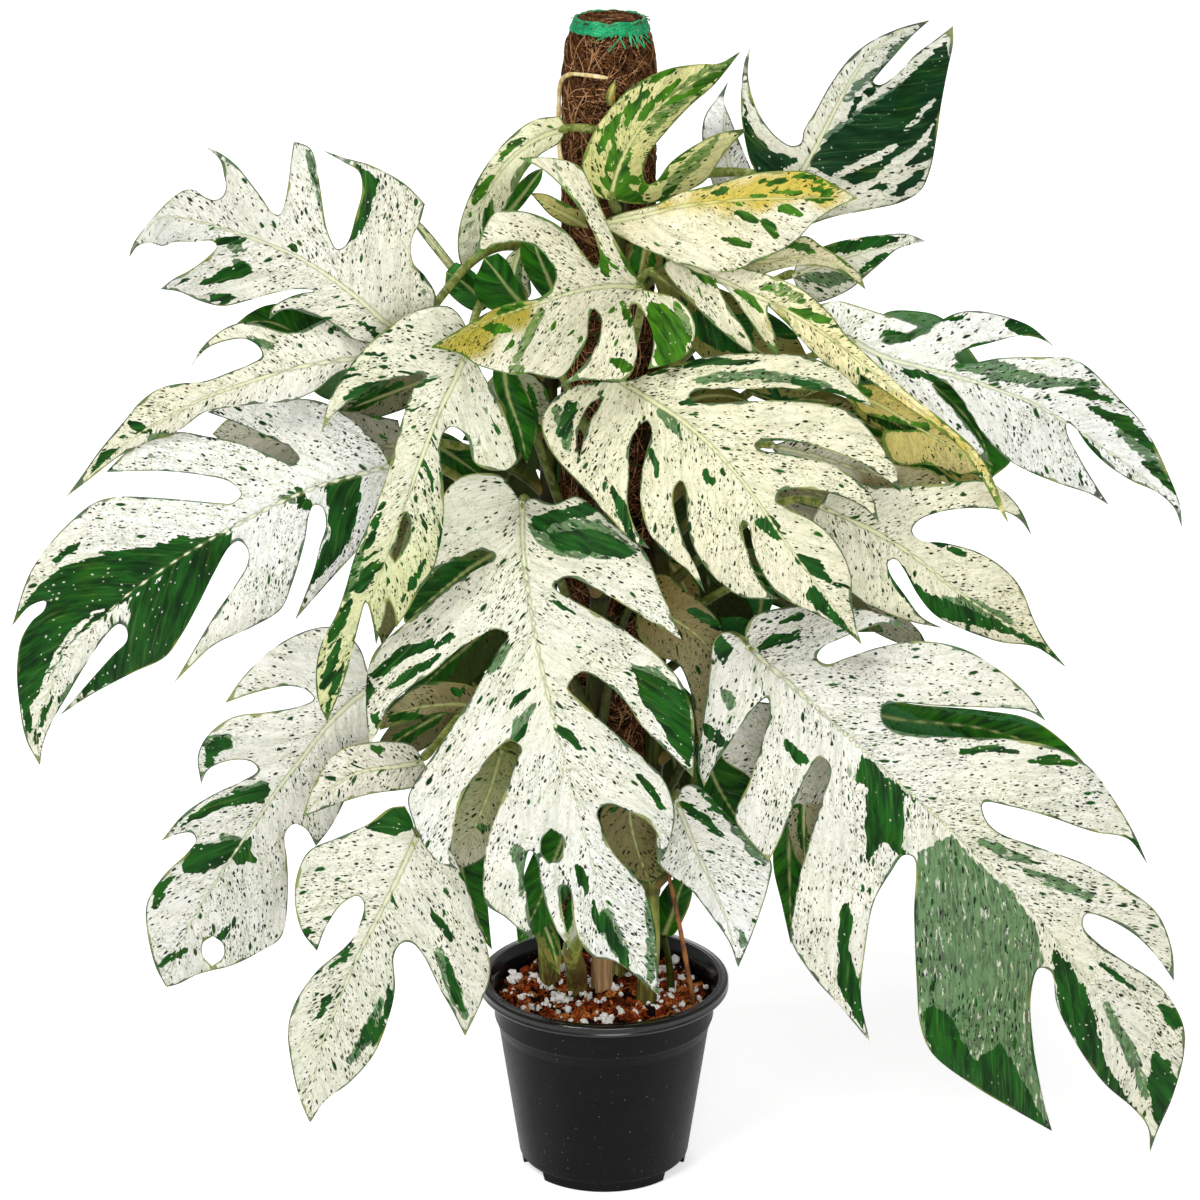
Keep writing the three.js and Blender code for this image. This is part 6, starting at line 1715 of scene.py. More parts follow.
def makePot():
    look = potLook
    foot, height, rim = look["footRadius"], look["height"], look["rimRadius"]
    outline = [
        (0, 0), (16, 0), (18, 2.2), (46, 2.2), (48, 0), (foot, 0), (foot, look["footHeight"]),
        (foot + 1.6, look["footHeight"] + 1.2), (67.4, 94.5), (69.2, 99.6), (69.4, 100.5), (70.2, 102),
        (70.9, look["lipBottom"] - 0.4), (rim - 1.2, look["lipBottom"]), (rim, look["lipBottom"] + 1.4),
        (rim - 0.7, 123.6), (rim - 0.1, height - 1.4), (rim - 1.6, height), (rim - 4.2, height - 0.5),
        (rim - 6.2, height), (rim - 7, height - 1), (70.6, 122), (69, look["soilTop"]), (51, 4.5), (0, 4.5),
    ]
    profile = rounded(outline, 0.7, 4)
    vertices, faces = lathe(profile, look["sides"])
    turn = np.degrees(np.arctan2(vertices[:, 0], -vertices[:, 1])) % 360
    radius = np.hypot(vertices[:, 0], vertices[:, 1])
    halfAngle = math.degrees(look["slotWidth"] / 2 / foot)
    for middle in look["slots"]:  # the drain slots lift the foot's ring
        away = np.abs((turn - middle + 180) % 360 - 180)
        lifted = (away < halfAngle) & (radius > 46.5) & (vertices[:, 2] < look["footHeight"] - 0.2)
        vertices[lifted, 2] = look["footHeight"] - 0.6
    mesh = meshOf("pot", vertices * mm, faces, 40)
    addPiece("nursery_pot_moulding", mesh, [makePotPlastic()], "pot_plastic", "nursery_pot")
    print("pot turned")


makePot()


# Potting mix

mixLook = {
    "chips": 1000, "perlite": 330, "clumps": 20, "husks": 90,
    "radius": 68.2, "top": 115.4, "edge": 112.4, "bottom": 12,  # mm: it is heaped a little at the middle
    "chipSize": (2.0, 6.8), "perliteSize": (1.3, 3.9), "chipRoughness": 0.34, "perliteRoughness": 0.38,
}


def ballOf(rings=5, sides=7):  # a small closed ball: points on a unit sphere, and its faces
    turn = np.linspace(0, np.pi, rings + 2)
    vertices, faces = lathe(np.stack([np.sin(turn), -np.cos(turn)], 1), sides)
    return vertices, faces


def scatter(centres, sizes, stretches, dice, roughness, rings=4, sides=6):
    # irregular lumps: one bumpy ball for each centre, turned at random; also each lump's own number
    ball, ballFaces = ballOf(rings, sides)
    vertices, groups, lump = [], [[] for _ in ballFaces], []
    for i, (centre, size, shape) in enumerate(zip(centres, sizes, stretches)):
        spin = np.linalg.qr(dice.normal(size=(3, 3)))[0]
        spin[:, 0] *= np.sign(np.linalg.det(spin))
        uneven = 1 + roughness * dice.uniform(-1, 1, (len(ball), 1))
        vertices.append((ball * uneven * shape * size) @ spin.T + centre)
        for group, made in zip(ballFaces, groups):
            made.append(group + i * len(ball))
        lump.append(np.full(len(ball), dice.uniform()))
    return np.vstack(vertices), [np.vstack(made) for made in groups], np.concatenate(lump)


def mixHeight(x, y):
    radius = np.hypot(x, y)
    base = mixLook["top"] + (mixLook["edge"] - mixLook["top"]) * smoothstep(30, 68, radius)
    return base + 1.1 * ripple(np.stack([x, y], -1).reshape(-1, 2), 17, 3).reshape(np.shape(x))


def makeMixFinish():
    material, tree, shader = newMaterial("barkMix", Roughness=0.9, Specular_IOR_Level=0.1)
    here = position(tree)
    own = attribute(tree, "own", "Fac")
    grain = noise(tree, stretch(tree, here, (700, 700, 700)), 1.0, 3.0, 0.6)
    tone = mixed(tree, between(tree, own, 0.1, 0.5), paint("200c04"), paint("a8481a"))
    tone = mixed(tree, between(tree, own, 0.5, 0.95), tone, paint("e8904a"))
    darker = tinted(tree, tone, (0.2, 0.15, 0.12, 1))
    tone = mixed(tree, between(tree, grain, 0.38, 0.62), tone, darker)
    return finished(material, tree, shader, tone, grain, 0.0008, 0.8)


def makePerliteFinish():
    material, tree, shader = newMaterial("perlite", Roughness=0.85, Specular_IOR_Level=0.2)
    here = position(tree)
    grain = noise(tree, stretch(tree, here, (900, 900, 900)), 1.0, 3.0, 0.6)
    tone = mixed(tree, between(tree, grain, 0.4, 0.68), paint("fffefa"), paint("e9e4da"))
    return finished(material, tree, shader, tone, grain, 0.0005, 0.8)


def onMix(dice, count, spacing):  # places on the mix, clear of the wall
    radius = mixLook["radius"] * np.sqrt(dice.uniform(0, 1, count)) - spacing
    turn = dice.uniform(0, 2 * np.pi, count)
    x, y = radius * np.cos(turn), radius * np.sin(turn)
    return np.stack([x, y, mixHeight(x, y)], 1)


def makeMix():
    dice = np.random.default_rng(41)
    radii = np.linspace(1.5, mixLook["radius"], 34)
    low = mixLook["bottom"]
    profile = [(0, low), (50, low), (52, low + 2), (mixLook["radius"], mixLook["edge"] - 3)]
    profile += [(r, mixLook["top"]) for r in radii[::-1]] + [(0, mixLook["top"])]
    vertices, faces = lathe(profile, 72)
    top = vertices[:, 2] > mixLook["edge"] - 1
    vertices[top, 2] = mixHeight(vertices[top, 0], vertices[top, 1]) - 0.8
    bed = (vertices, faces, np.full(len(vertices), 0.15))
    places = onMix(dice, mixLook["chips"], 2.5)
    places[:, 2] += dice.uniform(-0.6, 1.6, len(places))
    sizes = dice.uniform(*mixLook["chipSize"], len(places)) * dice.uniform(0.6, 1, len(places))
    stretches = np.stack([dice.uniform(0.8, 1.5, len(places)), dice.uniform(0.5, 1, len(places)),
                        dice.uniform(0.25, 0.6, len(places))], 1)
    chips = scatter(places, sizes, stretches, dice, mixLook["chipRoughness"])
    steps = 8
    t = np.linspace(-1, 1, steps)
    places = onMix(dice, mixLook["husks"], 8.0)  # husk fibres and dead roots on top
    way = dice.uniform(0, 2 * np.pi, len(places))[:, None] + dice.normal(0, 0.7, len(places))[:, None] * t
    span = dice.uniform(4, 11, len(places))[:, None] * t
    lift = dice.uniform(0.5, 5, len(places))[:, None] * (1 - t * t)
    paths = np.stack([places[:, :1] + span * np.cos(way), places[:, 1:2] + span * np.sin(way),
                      places[:, 2:] + 1.2 + lift], -1)
    paths[..., :2] *= np.minimum(1, 68.5 / np.linalg.norm(paths[..., :2], axis=2, keepdims=True))
    husks, huskFaces = strands(paths, np.repeat(dice.uniform(0.25, 0.9, (len(places), 1)), steps, 1), 5)
    own = np.repeat(dice.uniform(0.2, 0.95, len(places)), steps * 5)
    both = joined([bed, chips, (husks, huskFaces, own)])
    mesh = meshOf("barkMix", both[0] * mm, both[1], 40)
    addAttribute(mesh, "own", both[2])
    addPiece("potting_mix_bed", mesh, [makeMixFinish()], "potting_mix", "potting_mix")
    places = onMix(dice, mixLook["perlite"], 2.0)
    clumps = onMix(dice, mixLook["clumps"], 8.0)
    crowd = dice.integers(0, 2 * mixLook["clumps"], len(places))
    near = crowd < mixLook["clumps"]  # half of the grains lie in clumps
    places[near] = clumps[crowd[near]] + dice.normal(0, 2.1, (near.sum(), 3)) * (1, 1, 0.1)
    places[:, 2] = mixHeight(places[:, 0], places[:, 1]) + dice.uniform(2.2, 5.2, len(places))
    sizes = dice.uniform(*mixLook["perliteSize"], len(places)) * dice.uniform(0.5, 1, len(places))
    stretches = dice.uniform(0.7, 1.1, (len(places), 3))
    white = scatter(places, sizes, stretches, dice, mixLook["perliteRoughness"])
    mesh = meshOf("perlite", white[0] * mm, white[1], 60)
    addPiece("perlite_grains", mesh, [makePerliteFinish()], "potting_mix", "potting_mix")
    print("mix scattered")


def joined(made):  # several (vertices, face groups, values) as one
    vertices, groups, values, count = [], [], [], 0
    for points, faces, value in made:
        groups += [group + count for group in faces]
        vertices.append(points)
        values.append(value)
        count += len(points)
    return np.vstack(vertices), groups, np.concatenate(values)


makeMix()


# Pole

coirLook = {
    "upper": 4200, "lower": 4200, "tufts": 300,  # fibres above and below "from", and on top
    "length": (16, 48), "thickness": (0.2, 0.46), "tuftReach": 18, "steps": 7, "from": 560,
    "profile": ((172, 26), (177, 27.2), (712, 27.2), (724, 26.2), (732.5, 24.6),
                (739.5, 22.2), (745.5, 19.6)),  # height and radius
}


def coirRadius(z):
    heights, radii = zip(*coirLook["profile"])
    return np.interp(z, heights, radii)


def makeCoirFinish():
    material, tree, shader = newMaterial("coirFibre", Roughness=0.85, Specular_IOR_Level=0.12)
    own = attribute(tree, "own", "Fac")
    here = position(tree)
    grain = noise(tree, stretch(tree, here, (500, 500, 500)), 1.0, 3.0, 0.6)
    # own near 0.05, the core under the fibres, comes out near black: painted shade between the fibres
    tone = mixed(tree, between(tree, own, 0.05, 0.5), paint("070301"), paint("5e3a1e"))
    tone = mixed(tree, between(tree, own, 0.6, 1.0), tone, paint("b98a60"))
    tone = mixed(tree, between(tree, grain, 0.45, 0.75, 0.0, 0.5), tone, paint("1c0f08"))
    return finished(material, tree, shader, tone, grain, 0.0005, 0.7)


def fibresOn(dice, count, low, high, lift):
    steps = coirLook["steps"]
    t = np.linspace(0, 1, steps)
    length = dice.uniform(*coirLook["length"], count)
    heading = dice.uniform(0, 2 * np.pi, count)[:, None] + dice.normal(0, 2.2, count)[:, None] * t
    stride = (length / (steps - 1))[:, None]
    z = dice.uniform(low, high, count)[:, None] + np.cumsum(np.sin(heading) * stride, 1)
    z = np.clip(z, coirLook["profile"][0][0] + 1, coirLook["profile"][-1][0])
    turn = dice.uniform(0, 2 * np.pi, count)[:, None] + np.cumsum(np.cos(heading) * stride / 27, 1)
    out = coirRadius(z) - 0.3 + dice.uniform(*lift, count)[:, None] * np.sin(np.pi * t) ** 0.8
    return np.stack([poleX(z) + out * np.cos(turn), out * np.sin(turn), z], -1)


def makePole():
    dice = np.random.default_rng(23)
    steps = coirLook["steps"]
    low, high = coirLook["profile"][0][0], coirLook["profile"][-1][0]
    heights = np.linspace(low, high, 150)
    vertices, faces = lathe([(0, low), *[(coirRadius(z) - 1.1, z) for z in heights], (0, high)], 64)
    vertices[:, :2] *= (1 + 0.018 * ripple(vertices, 7, 9) + 0.02 * ripple(vertices, 19, 10))[:, None]
    vertices[:, 0] += poleX(vertices[:, 2])
    # the core under the fibres takes the blackest coir tone: painted shade in the gaps between the fibres
    body = (vertices, faces, np.full(len(vertices), 0.05))
    share = 1

    def wound(count, low, high, lift):
        paths = fibresOn(dice, count, low, high, lift)
        thick = dice.uniform(*coirLook["thickness"], len(paths))[:, None] * np.ones(steps)
        thick[:, [0, -1]] *= 0.4
        return *strands(paths, thick), np.repeat(dice.uniform(0.12, 1, len(paths)), steps * 3)

    upper = wound(coirLook["upper"] // share, coirLook["from"], high, (0.0, 1.7))
    lower = wound(coirLook["lower"] // share, low, coirLook["from"], (0.0, 1.5))
    count = coirLook["tufts"]
    turn = dice.uniform(0, 2 * np.pi, count)  # the gathered top, seen from above
    reach = np.sqrt(dice.uniform(0, 1, count)) * coirLook["tuftReach"]
    t = np.linspace(-1, 1, steps)
    curl = dice.uniform(0, 2 * np.pi, count)[:, None] + dice.normal(0, 0.9, count)[:, None] * t
    span = dice.uniform(3, 8, count)[:, None] * t
    top = np.stack([poleX(high) + (reach * np.cos(turn))[:, None] + span * np.cos(curl),
                    (reach * np.sin(turn))[:, None] + span * np.sin(curl),
                    high - 0.4 + dice.uniform(0.2, 1.6, count)[:, None] * (1 - t * t)], -1)
    tufts = (*strands(top, np.full((count, steps), 0.3)),
             np.repeat(dice.uniform(0.2, 0.9, count), steps * 3))
    finish = makeCoirFinish()
    for label, made in (("coir_pole_body", [body, lower]), ("coir_pole_top", [upper, tufts])):
        pieces = joined(made)
        mesh = meshOf(label, pieces[0] * mm, pieces[1], 60)
        addAttribute(mesh, "own", pieces[2])
        addPiece(label, mesh, [finish], "coir_fibre", "coir_pole")
    print("coir wound")


def makeNetFinish():
    material, tree, shader = newMaterial("netPlastic", Roughness=0.42)
    here = position(tree)
    cloud = cloudy(tree, stretch(tree, here, (130, 130, 130)))
    tone = mixed(tree, cloud, paint("067a48"), paint("19b878"))
    return finished(material, tree, shader, tone, cloud, 0.0004, 0.5)


netLook = {
    "rows": 20, "low": 739.5, "tall": 6.2, "off": 0.9,  # mm off the fibre
    "crossings": 150, "top": 746.2, "tailEvery": 9, "tailSide": -58,  # degrees: where the longer tails hang
}


def makeNet():
    dice = np.random.default_rng(31)
    look = netLook
    steps = 90
    t = np.linspace(0, 2 * np.pi, steps)
    paths, radii = [], []
    for _ in range(look["rows"]):
        level = look["low"] + look["tall"] * dice.uniform()
        z = level + 0.9 * np.sin(t * dice.integers(3, 14) + dice.uniform(0, 6))
        out = coirRadius(z) + look["off"] + 0.6 * np.sin(t * dice.integers(5, 20) + dice.uniform(0, 6))
        paths.append(np.stack([poleX(z) + out * np.cos(t), out * np.sin(t), z], 1))
        radii.append(np.full(steps, dice.uniform(0.4, 0.75)))
    vertices, faces = strands(paths, radii, 5, lean=(0.05, 0.1, 1.0))
    short = []
    for k in range(look["crossings"]):  # cross strands, and a few that hang down
        tail = k % look["tailEvery"] == 0
        turn = math.radians(look["tailSide"] + dice.normal(0, 9)) if tail else dice.uniform(0, 2 * np.pi)
        drop = dice.uniform(9, 16) if tail else dice.uniform(4, 8)
        s = np.linspace(0, 1, 10)
        z = look["top"] - drop * s
        angle = turn + dice.normal(0, 0.14) * s * drop / 6
        out = coirRadius(z) + look["off"] + 0.5 * np.sin(np.pi * s)
        short.append(np.stack([poleX(z) + out * np.cos(angle), out * np.sin(angle), z], 1))
    crossing, crossFaces = strands(short, np.full((look["crossings"], 10), 0.4), 5)
    both = joined([(vertices, faces, np.zeros(len(vertices))),
                   (crossing, crossFaces, np.zeros(len(crossing)))])
    mesh = meshOf("net", both[0] * mm, both[1], 60)
    addPiece("net_band_strands", mesh, [makeNetFinish()], "net_plastic", "net_band")
    print("net tied")


makePole()
makeNet()


def makeWoodFinish():
    material, tree, shader = newMaterial("coreWood", Roughness=0.7)
    here = position(tree)
    grain = noise(tree, stretch(tree, here, (420, 420, 22)), 1.0, 3.0, 0.6)
    tone = mixed(tree, between(tree, grain, 0.35, 0.65), paint("8f6f45"), paint("c4a070"))
    return finished(material, tree, shader, tone, grain, 0.0006, 0.7)


def makeCore():
    radius, low, high = poleLook["coreRadius"], 24, poleLook["coreTop"]
    profile = [(0, low), (radius - 1, low), (radius, low + 1), *[(radius, z) for z in range(40, 180, 6)],
               (radius, high), (0, high)]
    vertices, faces = lathe(profile, 28)
    vertices[:, :2] *= (1 + 0.03 * ripple(vertices, 14, 2))[:, None]
    vertices[:, 0] += poleX(vertices[:, 2])
    mesh = meshOf("core", vertices * mm, faces, 40)
    addPiece("pole_core_stick", mesh, [makeWoodFinish()], "core_wood", "pole_core")


makeCore()


# Stems and roots

def makeStemSkin():
    material, tree, shader = newMaterial("stemSkin", Roughness=0.48, Specular_IOR_Level=0.2)
    here = position(tree)
    at = attribute(tree, "stalk", "Fac")  # 1 at a node's ring
    streaks = noise(tree, stretch(tree, here, (300, 300, 45)), 1.0, 3.0, 0.6)
    tone = mixed(tree, between(tree, streaks, 0.4, 0.62), paint("6f7a2e"), paint("a3a552"))
    bark = between(tree, noise(tree, stretch(tree, here, (45, 45, 14)), 1.0, 2.0), 0.5, 0.62)
    tone = mixed(tree, times(tree, bark, 0.75), tone, paint("6b5230"))
    tone = mixed(tree, times(tree, at, 0.85), tone, paint("3a2a16"))
    uneven = noise(tree, stretch(tree, here, (80, 80, 40)), 1.0, 2.0)
    height = calc(tree, "MULTIPLY_ADD", uneven, 0.06, parts(tree, here)[2])
    husk = between(tree, height, 0.16, 0.175, 0.85, 0.0)  # dead sheaths round the foot
    fray = between(tree, noise(tree, stretch(tree, here, (500, 500, 60)), 1.0, 3.0), 0.4, 0.6)
    frayed = calc(tree, "MULTIPLY_ADD", fray, 0.6, 0.4)
    tone = mixed(tree, times(tree, husk, frayed), tone, paint("4a3018"))
    # painted shade: the stem darker above about 0.16 to 0.24 m, where it climbs in among the leaves
    shadedTone = tinted(tree, tone, (0.16, 0.18, 0.09, 1))
    tone = mixed(tree, between(tree, parts(tree, here)[2], 0.16, 0.24), tone, shadedTone)
    return finished(material, tree, shader, tone, streaks, 0.0008, 0.6)


stemSkin = makeStemSkin()


def makeStem(name, stem):
    line = evenly(stem["line"], 3.0)
    t = np.linspace(0, 1, len(line))
    radius = stemLook["base"] + (stemLook["tip"] - stemLook["base"]) * t
    rings = np.zeros(len(line))
    for shape in stem["leaves"]:
        gap = line[:, 2] - shape["start"][2]
        rings = np.maximum(rings, np.exp(-(gap / 2.2) ** 2))
    radius = radius * (0.94 + 0.06 * ripple(line, 30, len(name))) + 0.7 * rings
    radius[-3:] *= (0.9, 0.7, 0.35)
    vertices, faces = strands([line], [radius], 18, lean=(0.1, 1.0, 0.2))
    marks = np.repeat(rings, 18)
    dice = np.random.default_rng(len(stem["leaves"]) + 50)
    roots, count = [], 26
    for k in range(count):  # short roots that grip the fibre
        z = dice.uniform(190, line[-1, 2] - 10)
        start = np.array([np.interp(z, line[:, 2], line[:, j]) for j in range(3)])
        angle = math.atan2(start[1], start[0] - poleX(z))
        s = np.linspace(0, 1, 10)
        turn = angle + dice.choice((-1, 1)) * dice.uniform(0.25, 0.9) * s
        out = poleLook["radius"] + 2.2 * (1 - s) ** 2 + 0.7
        zs = z - dice.uniform(-4, 16) * s
        roots.append(np.stack([poleX(zs) + out * np.cos(turn), out * np.sin(turn), zs], 1))
    grips, gripFaces = strands(roots, np.linspace(1.3, 0.5, 10)[None] * np.ones((count, 1)), 6)
    both = joined([(vertices, faces, marks), (grips, gripFaces, np.full(len(grips), 0.55))])
    mesh = meshOf(name, both[0] * mm, both[1], 60)
    addAttribute(mesh, "stalk", both[2])
    addPiece(name + "_grown", mesh, [stemSkin], "stem_skin", name)


for name, stem in stems.items():
    makeStem(name, stem)


def makeRootFinish(name, dark, pale):
    material, tree, shader = newMaterial(name, Roughness=0.7)
    here = position(tree)
    streaks = noise(tree, stretch(tree, here, (260, 260, 120)), 1.0, 3.0, 0.6)
    tone = mixed(tree, between(tree, streaks, 0.35, 0.65), paint(dark), paint(pale))
    return finished(material, tree, shader, tone, streaks, 0.0006, 0.7)


rootLook = {
    "rod": ((58, -22, 98), (57, -24, 118), (52, -30, 150), (45, -34, 190), (36.4, -26.4, 226)),
    "rodRadius": 1.5,
    "pale": ((655, -150), (667, -168), (682, -176), (697, -176), (710, -162), (716, -140), (717, -115),
             (716, -92)),  # height and degrees round the pole
    "paleRadius": 1.35,
}


def makeRoots():
    line = evenly(throughPoints(rootLook["rod"], 16), 2.5)
    radius = rootLook["rodRadius"] * (1 + 0.12 * ripple(line, 12, 4))
    vertices, faces = strands([line * mm], [radius * mm], 10)
    addPiece("rod_root_grown", meshOf("rodRoot", vertices, faces, 60),
             [makeRootFinish("rootBark", "5a3218", "a0642e")], "root_bark", "rod_root")
    line = evenly(throughPoints([climbing(z, degrees, 1.4) for z, degrees in rootLook["pale"]], 12), 2.0)
    radius = rootLook["paleRadius"] * (1 + 0.1 * ripple(line, 10, 6))
    radius[:3] *= (0.5, 0.8, 0.95)
    radius[-3:] *= (0.95, 0.8, 0.5)
    vertices, faces = strands([line * mm], [radius * mm], 10)
    addPiece("pale_root_grown", meshOf("paleRoot", vertices, faces, 60),
             [makeRootFinish("rootCream", "c9a860", "ece0b0")], "root_cream", "pale_root")


makeRoots()


def smallLeaf(drawn):
    return {"lean": (-0.15, -0.15), "droop": 0.0, "sweep": 1.6, "coarse": 0.6, **readShape(drawn)}


youngShoot = {
    "rib": "664,936,8 672,915,14 680,890,16 690,868,14", "one": "672,936 684,918 692,894",
    "two": "656,930 656,906 668,884", "lean": (-0.2, -0.2), "ground": "2c6a2c 235a26",
    "dose": (0, 0.8, 0.1), "dark": "600,800 760,800 760,1000 600,1000",
}


def growYoungShoot():
    top = place(664, 936, 8) / mm
    line = evenly(throughPoints([(44, 2, 96), (43, 0, 116), (42, -2, 134), tuple(top)], 10), 2.5)
    radius = np.linspace(3.4, 1.8, len(line))
    vertices, faces = strands([line * mm], [radius * mm], 12, lean=(0.2, 1.0, 0.1))
    stalk = (vertices, faces, np.full(len(vertices), 0.5))
    mesh, bladeFaces = leafMesh("youngShoot", smallLeaf(youngShoot), 90, youngShoot, stalk)
    addPiece("young_shoot_grown", mesh, [leafGreen, stalkSkin], "leaf_green", "young_shoot")
    colourFaces(mesh, bladeFaces)


growYoungShoot()


# Small leaves of the crown and the foot, which show between the large ones; the inner ones are coloured dark
# olive, green and greyed beige as painted shade for the gaps

